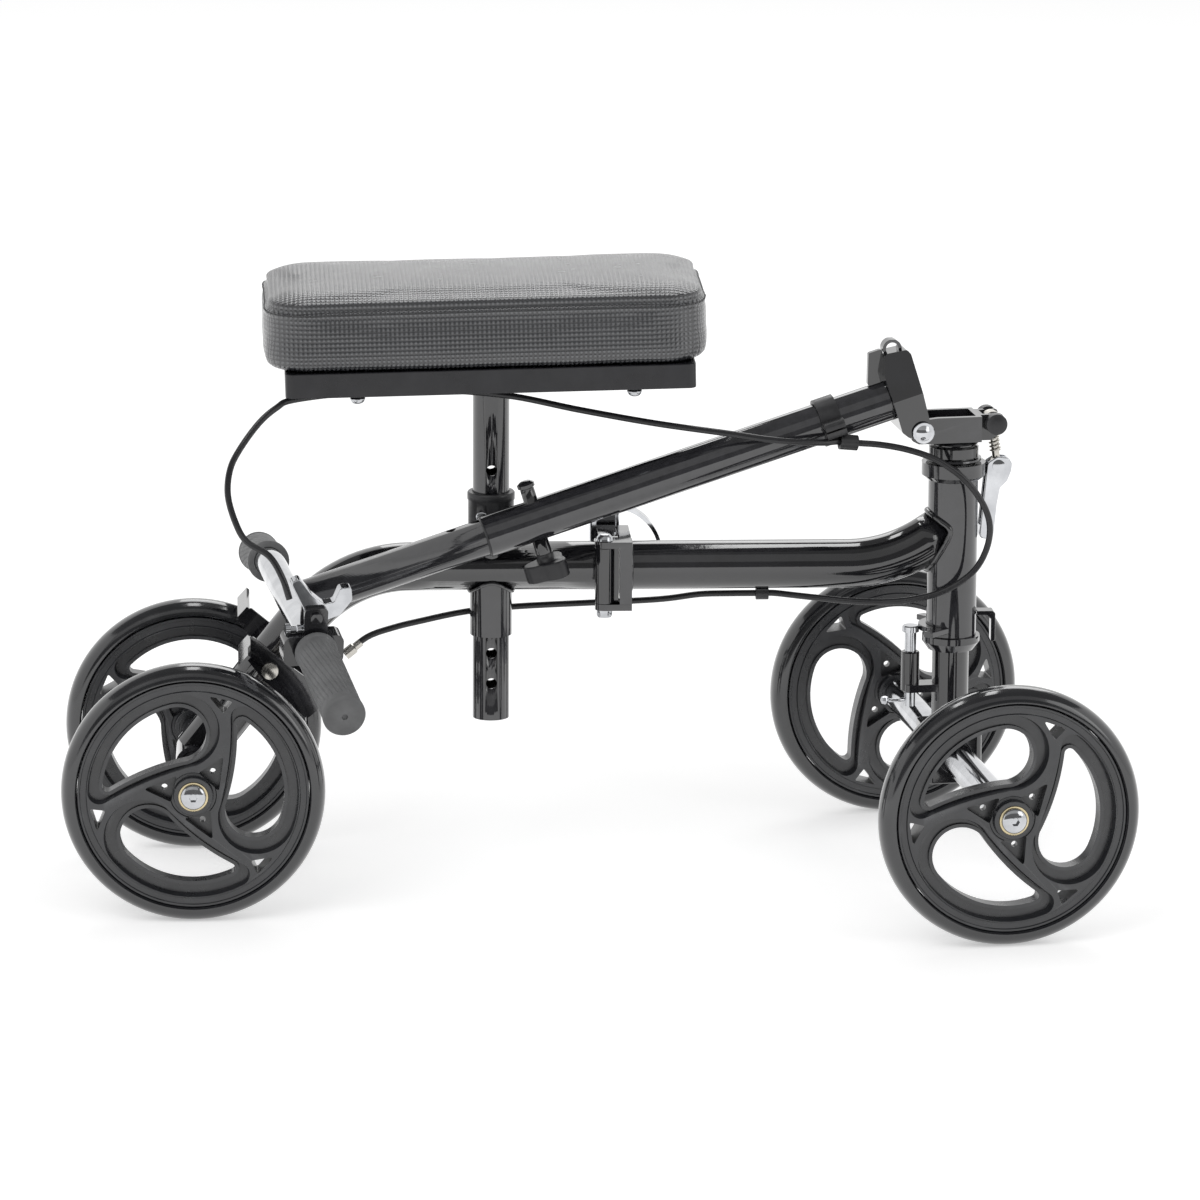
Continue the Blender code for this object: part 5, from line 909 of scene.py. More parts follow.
def prism(outline, low, high):
    """A solid from an XY outline, from Z low to Z high."""
    return loft([[(x, y, low) for x, y in outline], [(x, y, high) for x, y in outline]])


def loft(rings, caps=True):
    """A skin over rings with the same count of points, closed at both ends where caps is set."""
    bm = bmesh.new()
    loops = [[bm.verts.new(p) for p in ring] for ring in rings]
    pairs = list(zip(loops, loops[1:]))
    if not caps:
        pairs.append((loops[-1], loops[0]))
    for one, two in pairs:
        for i in range(len(one)):
            j = (i + 1) % len(one)
            bm.faces.new((one[i], one[j], two[j], two[i]))
    if caps:
        bm.faces.new(loops[-1])
        bm.faces.new(list(reversed(loops[0])))
    return bm


def turned(profile, sides, closed=False, shape=None):
    """A solid of revolution about Z from (radius, height) points, its radius changed by shape.

    A closed profile makes a ring. An open one starts and ends on the axis.
    """
    bm = bmesh.new()
    rings = []
    sides = sides * FINE
    for index, (radius, height) in enumerate(profile):
        if radius < ON_AXIS:
            rings.append([bm.verts.new((0, 0, height))])
        else:
            ring = []
            for i in range(sides):
                angle = 2 * math.pi * i / sides
                reach = radius if shape is None else shape(radius, angle, index)
                ring.append(bm.verts.new((reach * math.cos(angle), reach * math.sin(angle), height)))
            rings.append(ring)
    pairs = list(zip(rings, rings[1:]))
    if closed:
        pairs.append((rings[-1], rings[0]))
    for one, two in pairs:
        for i in range(sides):
            j = (i + 1) % sides
            if len(one) == 1 and len(two) == 1:
                continue
            if len(one) == 1:
                bm.faces.new((one[0], two[i], two[j]))
            elif len(two) == 1:
                bm.faces.new((one[i], one[j], two[0]))
            else:
                bm.faces.new((one[i], one[j], two[j], two[i]))
    return bm


def rod(radius, low, high, sides):
    """A solid round bar along Z."""
    return turned([(0, low), (radius, low), (radius, high), (0, high)], sides)


def pipe(outer, inner, low, high, sides, edge=0.0):
    """A round tube along Z with open ends, with a small chamfer where one is given."""
    ends = [(outer, low), (outer, high)]
    if edge > 0:
        ends = [(outer - edge, low), (outer, low + edge), (outer, high - edge), (outer - edge, high)]
    return turned([(inner, low), *ends, (inner, high)], sides, closed=True)


def along(start, end):
    """The frame at start whose Z axis points at end."""
    start = Vector(start)
    direction = Vector(end) - start
    rotation = direction.to_track_quat("Z", "Y").to_matrix().to_4x4()
    return Matrix.Translation(start) @ rotation


def axis_y(location=(0, 0, 0)):
    """Z of a turned piece laid along +Y."""
    return Matrix.Translation(location) @ Matrix.Rotation(-math.pi / 2, 4, "X")


def side_plate(location=(0, 0, 0)):
    """An XY outline stood up in the XZ plane, its Z towards -Y."""
    return Matrix.Translation(location) @ Matrix.Rotation(math.pi / 2, 4, "X")


def front_plate(location):
    """An XY outline stood up in the YZ plane, its Z towards +X."""
    turn = Matrix(((0, 0, 1, 0), (1, 0, 0, 0), (0, 1, 0, 0), (0, 0, 0, 1)))
    return Matrix.Translation(location) @ turn


def fillet_path(corners, radii, step):
    """A polyline with each inner corner rounded to its own radius."""
    corners = [Vector(c) for c in corners]
    points = [corners[0]]
    for i in range(1, len(corners) - 1):
        before = (corners[i - 1] - corners[i]).normalized()
        after = (corners[i + 1] - corners[i]).normalized()
        turn = math.pi - before.angle(after)
        if turn < 1e-4:
            continue
        reach = radii[i - 1] * math.tan(turn / 2)
        centre = corners[i] + (before + after).normalized() * (radii[i - 1] / math.cos(turn / 2))
        start = corners[i] + before * reach - centre
        axis = (before.cross(after)).normalized() * -1.0
        count = max(2, round(turn / step)) * FINE
        for k in range(count + 1):
            spun = start.copy()
            spun.rotate(Matrix.Rotation(turn * k / count, 3, axis))
            points.append(centre + spun)
    points.append(corners[-1])
    return points


def smooth_curve(points, spacing):
    """Points read from a Catmull-Rom curve through the given ones."""
    points = [Vector(p) for p in points]
    padded = [points[0] * 2 - points[1]] + points + [points[-1] * 2 - points[-2]]
    result = [points[0]]
    for i in range(1, len(padded) - 2):
        p0, p1, p2, p3 = padded[i - 1:i + 3]
        count = max(1, round((p2 - p1).length / spacing)) * CURVE_FINE
        for k in range(1, count + 1):
            t = k / count
            result.append(0.5 * (2 * p1 + (p2 - p0) * t + (2 * p0 - 5 * p1 + 4 * p2 - p3) * t * t
                                 + (3 * p1 - p0 - 3 * p2 + p3) * t ** 3))
    return result


def swept(path, outer, inner, sides):
    """A round tube, or a bar where inner is zero, along a path."""
    count = len(path)
    sides = sides * FINE
    angles = [2 * math.pi * k / sides for k in range(sides)]
    loops = [[], []]
    side = None
    for i in range(count):
        tangent = (path[min(i + 1, count - 1)] - path[max(i - 1, 0)]).normalized()
        if side is None:
            side = tangent.orthogonal().normalized()
        side = (side - tangent * side.dot(tangent)).normalized()
        up = tangent.cross(side)
        for radius, loop in zip((outer, inner), loops):
            if radius > 0:
                loop.append([path[i] + (side * math.cos(a) + up * math.sin(a)) * radius for a in angles])
    if loops[1]:
        return loft(loops[0] + loops[1][::-1], caps=False)
    return loft(loops[0])


# Wheels

def comma_outline(outer, fat_r, fat_angle, tip_r, tip_angle, bulge, steps=4):
    """One swirl opening: a fat round end, a long outer arc, a narrow tip and a bulging inner edge."""
    fat = Vector((math.cos(fat_angle * deg), math.sin(fat_angle * deg))) * (outer - fat_r)
    tip = Vector((math.cos(tip_angle * deg), math.sin(tip_angle * deg))) * (outer - tip_r)
    span = tip - fat
    lean = math.acos((fat_r - tip_r) / span.length)
    normal_angle = (math.atan2(span.y, span.x) + lean) / deg
    points = arc(fat.x, fat.y, fat_r, normal_angle, 360.0 + fat_angle, steps + 1)
    points += arc(0, 0, outer, 360.0 + fat_angle, 360.0 + tip_angle, steps)[1:]
    points += arc(tip.x, tip.y, tip_r, 360.0 + tip_angle, 360.0 + normal_angle, 2)[1:]
    start = Vector(points[-1])
    end = Vector(points[0])
    inward = Vector((-(end - start).y, (end - start).x)).normalized()
    inner_steps = steps * FINE
    for i in range(1, inner_steps):
        t = i / inner_steps
        spot = start.lerp(end, t) + inward * (4 * bulge * t * (1 - t))
        points.append((spot.x, spot.y))
    return points


def opening_outline():
    return comma_outline(OPENING_R, OPENING_FAT_R, OPENING_FAT_AT, OPENING_TIP_R, OPENING_TIP_AT,
                         OPENING_BULGE)


def pocket_outline():
    return comma_outline(POCKET_R, POCKET_FAT_R, POCKET_FAT_AT, POCKET_TIP_R, POCKET_TIP_AT, OPENING_BULGE,
                         POCKET_STEPS)


def grown(outline, by):
    """The outline moved outward by a distance, point by point."""
    count = len(outline)
    points = []
    for i in range(count):
        ahead = Vector(outline[(i + 1) % count]) - Vector(outline[i - 1])
        out = Vector((ahead.y, -ahead.x)).normalized()
        points.append((outline[i][0] + out.x * by, outline[i][1] + out.y * by))
    return points


def even_outline(outline, count):
    """The same closed outline with its points spaced evenly, starting at its first point."""
    loop = [Vector(p) for p in outline] + [Vector(outline[0])]
    lengths = [(b - a).length for a, b in zip(loop, loop[1:])]
    total = sum(lengths)
    points = []
    index, passed = 0, 0.0
    for i in range(count):
        goal = total * i / count
        while passed + lengths[index] < goal:
            passed += lengths[index]
            index += 1
        spot = loop[index].lerp(loop[index + 1], (goal - passed) / max(lengths[index], 1e-9))
        points.append((spot.x, spot.y))
    return points


def pocket_cutters(i, turn):
    """A pocket on each face: sloped walls down to the web, round a raised lip at the opening."""
    hole = even_outline(opening_outline(), OUTLINE_POINTS)
    lip = grown(hole, LIP_T)
    wall = even_outline(pocket_outline(), OUTLINE_POINTS)
    wide = grown(wall, POCKET_DRAFT)
    web = RIM_WEB_T / 2
    face = RIM_W / 2
    floor = web + LIP_H
    above = floor + LIP_OVERLAP
    tools = [cutter(f"opening_{i}", prism(hole, -RIM_W, RIM_W), None, turn)]
    for side in (-1, 1):
        rings = [[(x, y, side * z) for x, y in ring]
                 for ring, z in ((wall, floor), (wide, face), (wide, face + CUT_BEYOND))]
        tools.append(cutter(f"pocket_{side + 1}_{i}", loft(rings), None, turn))
        trench = [[(x, y, side * z) for x, y in ring]
                  for ring, z in ((lip, web), (wall, web), (wall, above), (lip, above))]
        tools.append(cutter(f"trench_{side + 1}_{i}", loft(trench, caps=False), None, turn))
    return tools


def hub_cutters(i, turn):
    """The three-cornered pockets beside the hub with their drain holes, and the holes at the rim."""
    corner = turn @ Matrix.Rotation(CORNER_HOLE_AT, 4, "Z") @ Matrix.Translation((CORNER_HOLE_R, 0, 0))
    drain = turn @ Matrix.Rotation(DRAIN_HOLE_AT, 4, "Z") @ Matrix.Translation((DRAIN_HOLE_R, 0, 0))
    corner_hole = prism(rounded_corners(CORNER_HOLE, CORNER_HOLE_ROUND), -RIM_W, RIM_W)
    tools = [cutter(f"corner_{i}", corner_hole, None, corner),
             cutter(f"drain_{i}", rod(DRAIN_HOLE_SIZE, -RIM_W, RIM_W, 6), None, drain)]
    outline = rounded_corners(HUB_POCKET, HUB_POCKET_CORNER_R)
    mirrored = [(x, -y) for x, y in outline][::-1]
    back = Matrix.Rotation(math.pi, 4, "X") @ Matrix.Rotation(-HUB_POCKET_AT, 4, "Z")
    for name, shape, place in (("hub_pocket", outline, Matrix.Rotation(HUB_POCKET_AT, 4, "Z")),
                               ("hub_pocket_back", mirrored, back)):
        pocket = prism(shape, RIM_W / 2 - HUB_POCKET_DEPTH, RIM_W / 2 + CUT_BEYOND)
        tools.append(cutter(f"{name}_{i}", pocket, None, turn @ place))
    return tools


def rim_mesh():
    """The rim's section turned round the axle: hub ring, spoke face, ledge, ring and tyre seat."""
    half = RIM_W / 2
    out = HUB_W / 2
    ring = HUB_R - HUB_RING_T
    right = [
        (hub_bore(), out - 0.8 * mm), (ring, out - 0.8 * mm), (ring + 0.3 * mm, out),
        (HUB_R - 0.4 * mm, out), (HUB_R, out - 0.4 * mm), (HUB_R + 0.6 * mm, half - 0.6 * mm),
        (HUB_R + 2.4 * mm, half - 0.8 * mm),
        (HUB_R + 3.0 * mm, half), (POCKET_R + 1.8 * mm, half), (POCKET_R + 2.4 * mm, half - RIM_LEDGE),
        (TYRE_SEAT_R - RIM_RING_T, half - RIM_LEDGE), (TYRE_SEAT_R - RIM_RING_T + 0.5 * mm, half),
        (TYRE_SEAT_R - 0.3 * mm, half), (TYRE_SEAT_R, half - 0.3 * mm),
    ]
    left = [(radius, -height) for radius, height in reversed(right)]
    return turned(right + left, BIG_STEPS, closed=True)


def hub_bore():
    return AXLE_BOLT_R + SLIDE_GAP


def build_rim():
    """One rim, cut and softened once, whose mesh all four wheels share."""
    rim = add_object("rim_blank", rim_mesh(), None, rim_plastic())
    tools = []
    for i in range(SPOKE_COUNT):
        turn = Matrix.Rotation(SPOKE_STEP * i, 4, "Z")
        tools += pocket_cutters(i, turn) + hub_cutters(i, turn)
    finish_cuts(rim, tools)
    soften(rim, 0.55 * mm, 2, 38.0)
    mesh = rim.data
    made.remove(rim)
    bpy.data.objects.remove(rim, do_unlink=True)
    return mesh


def tyre_mesh():
    """A round-crowned cast tyre with a bead beside the rim."""
    seat = TYRE_SEAT_R + GAP
    half = TYRE_W / 2
    crown = seat + TYRE_SHOULDER
    side = half - TYRE_TUCK
    profile = [(seat, -side), (seat + TYRE_BEAD, -side - TYRE_BEAD_STEP)]
    for x, y in arc(0, 0, 1.0, -90, 90, TYRE_STEPS):
        profile.append((crown + max(0.0, x) ** TYRE_BULGE * (WHEEL_R - crown), y * half))
    profile += [(seat + TYRE_BEAD, side + TYRE_BEAD_STEP), (seat, side)]
    return turned(profile, BIG_STEPS + 8, closed=True)


def hexagon(radius):
    return [(radius * math.cos(i * 60 * deg), radius * math.sin(i * 60 * deg)) for i in range(6)]


def socket_screw(name, parent, place, head_r, head_h, shank_r, shank_l, material, sides=SMALL_STEPS):
    """A domed screw head with a six-sided socket, its shank running down Z from the head's seat."""
    rise = [(head_r * math.cos(a * deg), head_h * (0.25 + 0.75 * math.sin(a * deg)))
            for a in range(0, 81, 8)]
    profile = [(0, -shank_l), (shank_r, -shank_l), (shank_r, 0), (head_r * 0.96, 0), (head_r, head_h * 0.08)]
    screw = add_object(name, turned(profile + rise + [(0, head_h)], sides), parent, material, place)
    socket = prism(hexagon(min(SOCKET_R, head_r * 0.42)), head_h * 0.35, head_h + 2 * mm)
    finish_cuts(screw, [cutter(name + "_socket", socket, parent, place)])
    soften(screw, 0.15 * mm, 1, 45.0)
    return screw


def add_wheel(name, carrier, location, outward, phase, rim_data):
    """A wheel on an empty at its centre, whose local Z points outward along the axle."""
    facing = (-outward * math.pi / 2, 0, 0)
    hub = add_empty(name, carrier, location, facing)
    side = Matrix.Rotation(math.pi if outward > 0 else 0.0, 4, "X")
    rim = linked(name + "_rim_piece", rim_data, hub)
    rim.matrix_local = side @ Matrix.Rotation(phase, 4, "Z")
    made.append(rim)
    add_object(name + "_tyre", tyre_mesh(), hub, tyre_rubber(), None, 60.0)
    spot = Matrix.Translation(location) @ Matrix.Rotation(facing[0], 4, "X")
    head = spot @ Matrix.Translation((0, 0, HUB_W / 2 + GAP))
    socket_screw(name + "_bolt", carrier, head, AXLE_HEAD_R - 0.6 * mm, AXLE_HEAD_T, AXLE_BOLT_R,
                 HUB_W + AXLE_BOLT_REACH, chrome(), 16)
    washer = turned([(AXLE_BOLT_R + GAP, -0.5 * mm), (WASHER_R - 0.4 * mm, -0.5 * mm), (WASHER_R, 0.0),
                     (WASHER_R - 0.3 * mm, 0.7 * mm), (AXLE_HEAD_R - 0.5 * mm, 0.5 * mm),
                     (AXLE_BOLT_R + GAP, 0.4 * mm)], 16, True)
    add_extra(name + "_washer", washer, carrier, brass(), head, name + "_bolt")


# Frame, front half

def front_tube_path():
    """From the hinge plate forward and up into the head tube."""
    rise_x = FRONT_X - FRONT_BEND_X
    corners = [
        (HINGE_X + HINGE_FRONT_T + GAP, 0, FRAME_Z),
        (FRONT_BEND_X, 0, FRAME_Z),
        (FRONT_X, 0, FRAME_Z + rise_x * math.tan(FRONT_RISE)),
    ]
    return fillet_path(corners, [FRONT_BEND_R], 8.0 * deg)


def add_main_tube_front(frame):
    """The front tube, mitred to the head tube."""
    bm = swept(front_tube_path(), FRAME_R, FRAME_R - FRAME_WALL, SWEPT_STEPS)
    tube = add_object("main_tube_front", bm, frame, gloss_black())
    mitre = rod(HEAD_R + GAP, HEAD_BOTTOM, HEAD_TOP, BIG_STEPS)
    tool = cutter("mitre_guide", mitre, frame, Matrix.Translation((FRONT_X, 0, 0)))
    beyond = prism(round_rect(2 * HEAD_R, 4 * HEAD_R, 1 * mm, 1), HEAD_BOTTOM, HEAD_TOP)
    ahead = cutter("ahead_guide", beyond, frame, Matrix.Translation((FRONT_X + HEAD_R, 0, 0)))
    finish_cuts(tube, [tool, ahead])


def add_head_tube(frame):
    bm = pipe(HEAD_R, HEAD_R - HEAD_WALL, HEAD_BOTTOM, HEAD_TOP, BIG_STEPS)
    add_object("head_tube", bm, frame, gloss_black(), Matrix.Translation((FRONT_X, 0, 0)))


def add_cups(frame):
    """Headset cups pressed on the head tube's ends, open round the steerer."""
    bore = STEERER_R + SLIDE_GAP
    up = HEAD_TOP + GAP
    low = HEAD_BOTTOM - GAP
    upper = [
        (bore, up),
        (HEAD_R + 1.0 * mm, up),
        (CUP_R, up + 4.0 * mm),
        (CUP_R, up + UPPER_CUP_H),
        (bore, up + UPPER_CUP_H),
    ]
    lower = [
        (bore, low),
        (bore, low - LOWER_CUP_H),
        (STEERER_R + 3.5 * mm, low - LOWER_CUP_H),
        (CUP_LOW_R, low - 5.0 * mm),
        (CUP_LOW_R, low),
    ]
    place = Matrix.Translation((FRONT_X, 0, 0))
    add_object("headset_upper_cup", turned(upper, TUBE_STEPS + 4, True), frame, gloss_black(), place)
    add_object("headset_lower_cup", turned(lower, TUBE_STEPS + 4, True), frame, gloss_black(), place)


def add_steering_stop(frame):
    """The fork-shaped plate behind the head tube whose two arms stop the locking pin."""
    inner = HEAD_R + GAP
    outer = STOP_REACH
    half = STOP_ARM_AT / deg
    outline = arc(0, 0, outer, 180 - half - 12, 180 - half, 2)
    outline += arc(0, 0, PIN_PATH_R - LOCK_PIN_R - 2 * mm, 180 - half, 180 + half, 6)
    outline += arc(0, 0, outer, 180 + half, 180 + half + 12, 2)
    outline += arc(0, 0, inner, 180 + half + 30, 180 - half - 30, 10)
    bm = prism(outline, STOP_Z, STOP_Z + STOP_T)
    place = Matrix.Translation((FRONT_X, 0, 0))
    soften(add_object("steering_stop", bm, frame, gloss_black(), place), 0.6 * mm)


def add_head_hook(frame):
    """The bent strap at the lower front of the head tube."""
    reach = 14.5 * mm
    strap = 3.5 * mm
    outline = rounded_corners([(0, 0), (reach - 2 * mm, 0), (reach, -2 * mm), (reach, -24 * mm),
                               (reach - strap, -25 * mm), (reach - strap, -strap - 3 * mm),
                               (reach - strap - 3 * mm, -strap), (0, -strap)], 1.2 * mm, 2)
    bm = prism(outline, -6.0 * mm, 6.0 * mm)
    place = side_plate((FRONT_X + HEAD_R + GAP, 0, HOOK_TOP))
    soften(add_object("head_hook", bm, frame, gloss_black(), place))


def hinge_outline(start_y):
    """The hinge plate's chamfered outline across the tube, from start_y to the left edge."""
    low = FRAME_Z - HINGE_H / 2
    high = FRAME_Z + HINGE_H / 2
    return rounded_corners([(start_y, low), (HINGE_HALF_W, low), (HINGE_HALF_W, high), (start_y, high)],
                           6 * mm)


def ear_outline():
    """One ear of the front plate, round the pin and back to the plate."""
    back = HINGE_X - HINGE_AXIS_X + HINGE_FRONT_T
    return [(back, -HINGE_BARREL_R), (back, HINGE_BARREL_R)] + arc(0, 0, HINGE_BARREL_R, 90, 270, 8)


def add_hinge_front(frame):
    """The front tube's end plate, with an ear above and one below the rear plate's barrel."""
    start = HINGE_PIN_Y - HINGE_BARREL_R
    plate = prism(hinge_outline(start), 0, HINGE_FRONT_T)
    item = add_object("hinge_plate_front", plate, frame, gloss_black(), front_plate((HINGE_X, 0, 0)))
    pin = Matrix.Translation((HINGE_AXIS_X, HINGE_PIN_Y, 0))
    ears = []
    for name, low in (("low", FRAME_Z - HINGE_H / 2), ("top", FRAME_Z + HINGE_H / 2 - HINGE_EAR_T)):
        ears.append(cutter("ear_" + name, prism(ear_outline(), low, low + HINGE_EAR_T), frame, pin))
    reach = HINGE_H / 2 - HINGE_EAR_T
    barrel = rod(HINGE_BARREL_R + 2 * GAP, FRAME_Z - reach, FRAME_Z + reach, TUBE_STEPS)
    bore = rod(HINGE_PIN_R + SLIDE_GAP, FRAME_Z - HINGE_H, FRAME_Z + HINGE_H, SMALL_STEPS)
    cuts = [cutter("barrel_room", barrel, frame, pin), cutter("pin_bore", bore, frame, pin)]
    finish_cuts(item, cuts, ears)
    soften(item, 0.9 * mm, 3)


def add_hinge_pin(frame):
    """The long bolt through the barrels, with a domed head above and a nut below."""
    low = FRAME_Z - HINGE_H / 2
    high = FRAME_Z + HINGE_H / 2
    profile = [
        (0, low - 6.5 * mm), (5.4 * mm, low - 6.0 * mm), (6.2 * mm, low - 4.5 * mm),
        (6.2 * mm, low - GAP), (HINGE_PIN_R, low - GAP), (HINGE_PIN_R, high + GAP),
        (6.4 * mm, high + GAP), (6.0 * mm, high + 3.0 * mm), (4.0 * mm, high + 5.2 * mm),
        (0, high + 6.0 * mm),
    ]
    place = Matrix.Translation((HINGE_AXIS_X, HINGE_PIN_Y, 0))
    add_object("hinge_bolt", turned(profile, SMALL_STEPS), frame, chrome(), place)


def add_cable_clip(name, parent, matrix, reach):
    """A small strap clip: a ring round the cable under a foot that meets the tube."""
    ring = CABLE_R + 2.6 * mm
    outline = arc(0, 0, ring, 150, 390, 8) + [(ring * 0.87, reach), (-ring * 0.87, reach)]
    clip = add_object(name, prism(outline, -CLIP_W / 2, CLIP_W / 2), parent, black_plastic(), matrix)
    bore = cutter(name + "_bore", rod(CABLE_R + 2 * GAP, -CLIP_W, CLIP_W, 10), parent, matrix)
    finish_cuts(clip, [bore])
    soften(clip)


# Frame, rear half, placed from the hinge pin

def rear(matrix):
    """A chassis matrix seen from the rear frame's empty on the hinge pin."""
    return Matrix.Translation((-HINGE_AXIS_X, -HINGE_PIN_Y, 0)) @ matrix


def drop_x():
    """Where the straight rear tube's line meets the sloping one."""
    return REAR_X + (FRAME_Z - WHEEL_R) / math.tan(REAR_DROP)


def rear_tube_path():
    slope = Vector((-math.cos(REAR_DROP), 0, -math.sin(REAR_DROP)))
    axle = Vector((REAR_X, 0, WHEEL_R))
    end = axle - slope * REAR_SADDLE
    corners = [(HINGE_X - HINGE_REAR_T - GAP, 0, FRAME_Z), (drop_x(), 0, FRAME_Z), end]
    return fillet_path(corners, [REAR_BEND_R], 12.0 * deg)


def add_main_tube_rear(empty):
    """The rear tube, holed for the seat post's sleeve, then bent down to the axle."""
    bm = swept(rear_tube_path(), FRAME_R, FRAME_R - FRAME_WALL, SWEPT_STEPS)
    tube = add_object("main_tube_rear", bm, empty, gloss_black(), rear(Matrix.Identity(4)))
    hole = rod(SLEEVE_R + GAP, SLEEVE_BOTTOM, COLLAR_BOTTOM, TUBE_STEPS + 4)
    tool = cutter("sleeve_guide", hole, empty, rear(Matrix.Translation((POST_X, 0, 0))))
    bolt = rod(YOKE_BOLT_R + GAP, -2 * FRAME_R, 2 * FRAME_R, SMALL_STEPS)
    across = cutter("yoke_bolt_guide", bolt, empty, rear(axis_y((YOKE_X, 0, YOKE_Z))))
    saddle = rod(REAR_CROSS_R + GAP, -2 * FRAME_R, 2 * FRAME_R, TUBE_STEPS)
    seat = cutter("cross_guide", saddle, empty, rear(axis_y((REAR_X, 0, WHEEL_R))))
    finish_cuts(tube, [tool, across, seat])


def add_hinge_rear(empty):
    """The rear tube's end plate, joined to the barrel that turns on the pin."""
    start = HINGE_PIN_Y + HINGE_BARREL_R + HINGE_EAR_ROOM
    plate = prism(hinge_outline(start), -HINGE_REAR_T, -2 * GAP)
    place = rear(front_plate((HINGE_X, 0, 0)))
    item = add_object("hinge_plate_rear", plate, empty, gloss_black(), place)
    reach = HINGE_H / 2 - HINGE_EAR_T - GAP
    pin = rear(Matrix.Translation((HINGE_AXIS_X, HINGE_PIN_Y, 0)))
    barrel = rod(HINGE_BARREL_R, FRAME_Z - reach, FRAME_Z + reach, TUBE_STEPS)
    back = HINGE_X - HINGE_REAR_T - HINGE_AXIS_X
    front = HINGE_X - 2 * GAP - HINGE_AXIS_X
    far = start + 1 * mm - HINGE_PIN_Y
    web = prism([(back, 0), (front, 0), (front, far), (back, far)], FRAME_Z - reach, FRAME_Z + reach)
    bore = rod(HINGE_PIN_R + SLIDE_GAP, FRAME_Z - HINGE_H, FRAME_Z + HINGE_H, SMALL_STEPS)
    joins = [cutter("barrel", barrel, empty, pin), cutter("barrel_web", web, empty, pin)]
    finish_cuts(item, [cutter("barrel_bore", bore, empty, pin)], joins)
    soften(item, 0.9 * mm, 3)


def add_sleeve_and_collar(empty):
    """The sleeve welded through the tube and the plastic clamp collar on top of it."""
    bore = POST_R + SLIDE_GAP
    place = rear(Matrix.Translation((POST_X, 0, 0)))
    sleeve = pipe(SLEEVE_R, bore, SLEEVE_BOTTOM, COLLAR_BOTTOM - GAP, TUBE_STEPS + 4)
    add_object("seat_post_sleeve", sleeve, empty, gloss_black(), place)
    profile = [
        (bore, COLLAR_BOTTOM), (COLLAR_R, COLLAR_BOTTOM), (COLLAR_R, COLLAR_TOP - 7 * mm),
        (COLLAR_R + 0.7 * mm, COLLAR_TOP - 6 * mm), (COLLAR_R + 0.7 * mm, COLLAR_TOP - 1 * mm),
        (COLLAR_R, COLLAR_TOP), (bore, COLLAR_TOP),
    ]
    ring = turned(profile, TUBE_STEPS + 4, True)
    collar = add_object("seat_post_collar", ring, empty, black_plastic(), place)
    screw_at = Vector((POST_X - 8 * mm, -COLLAR_R + 2 * mm, COLLAR_BOTTOM + 10 * mm))
    screw = turned(in_mm((0, -2), (4, -2), (4, 0.6), (3.2, 2), (0, 2.4)), 10)
    spot = rear(Matrix.Translation(screw_at) @ Matrix.Rotation(math.pi / 2, 4, "X"))
    finish_cuts(collar, [], [cutter("collar_screw", screw, empty, spot)])


def add_rear_axle(empty):
    """The cross tube between the rear wheels, clamped under the sloping tube's end."""
    half = REAR_TRACK / 2 - HUB_W / 2 - AXLE_SHOULDER
    axle = pipe(AXLE_TUBE_R, AXLE_BOLT_R + GAP, -half, half, TUBE_STEPS)
    place = rear(Matrix.Translation((REAR_X, 0, WHEEL_R)) @ Matrix.Rotation(-math.pi / 2, 4, "X"))
    add_object("rear_axle_tube", axle, empty, chrome(), place)
    cross = pipe(REAR_CROSS_R, AXLE_TUBE_R + GAP, -REAR_CROSS_HALF, REAR_CROSS_HALF, TUBE_STEPS)
    add_object("rear_axle_clamp", cross, empty, gloss_black(), place)


# Mid-frame latch on the left side

def add_frame_latch(frame):
    """The clamp block beside the hinge plates, and the curved lever that turns on its upright pin."""
    near_y = HINGE_HALF_W + GAP
    far_y = near_y + LATCH_DEPTH
    low = LATCH_Z - LATCH_H / 2
    high = LATCH_Z + LATCH_H / 2
    front = HINGE_X + 3 * mm
    back = HINGE_X - 20 * mm
    outline = rounded_corners([
        (HINGE_X + 0.3 * mm, near_y), (front, near_y), (front, far_y),
        (back, far_y), (back, near_y + 2.5 * mm), (HINGE_X + 0.3 * mm, near_y + 2.5 * mm),
    ], 2 * mm, 1)
    block = add_object("frame_latch_block", prism(outline, low, high), frame, chrome())
    pin_x = front - 6 * mm
    pin_y = near_y + LATCH_DEPTH / 2
    spot = Matrix.Translation((pin_x, pin_y, 0))
    pin = rod(2.5 * mm, high - 3 * mm, high + 5 * mm + LATCH_LEVER_LIFT, SMALL_STEPS)
    finish_cuts(block, [], [cutter("latch_pin", pin, frame, spot)])
    soften(block, 0.8 * mm, 3)
    lever = add_empty("frame_latch", frame, (pin_x, pin_y, 0))
    disc = rod(6.5 * mm, high + GAP, high + 4 * mm + LATCH_LEVER_LIFT, 12)
    item = add_object("frame_latch_lever", disc, lever, chrome())
    strap = arc(0, 0, LATCH_LEVER_R, 90, 12, 8) + arc(0, 0, LATCH_LEVER_R - 3 * mm, 12, 90, 8)
    turn = side_plate((0, 0, high + 4 * mm + LATCH_LEVER_LIFT - LATCH_LEVER_R))
    bore = cutter("lever_bore", rod(2.5 * mm + SLIDE_GAP, low, high + 9 * mm, SMALL_STEPS), lever)
    finish_cuts(item, [bore], [cutter("lever_strap", prism(strap, -6 * mm, 6 * mm), lever, turn)])
    soften(item, 0.7 * mm, 3)


# Steering head and fork, in the frame of the steering axis

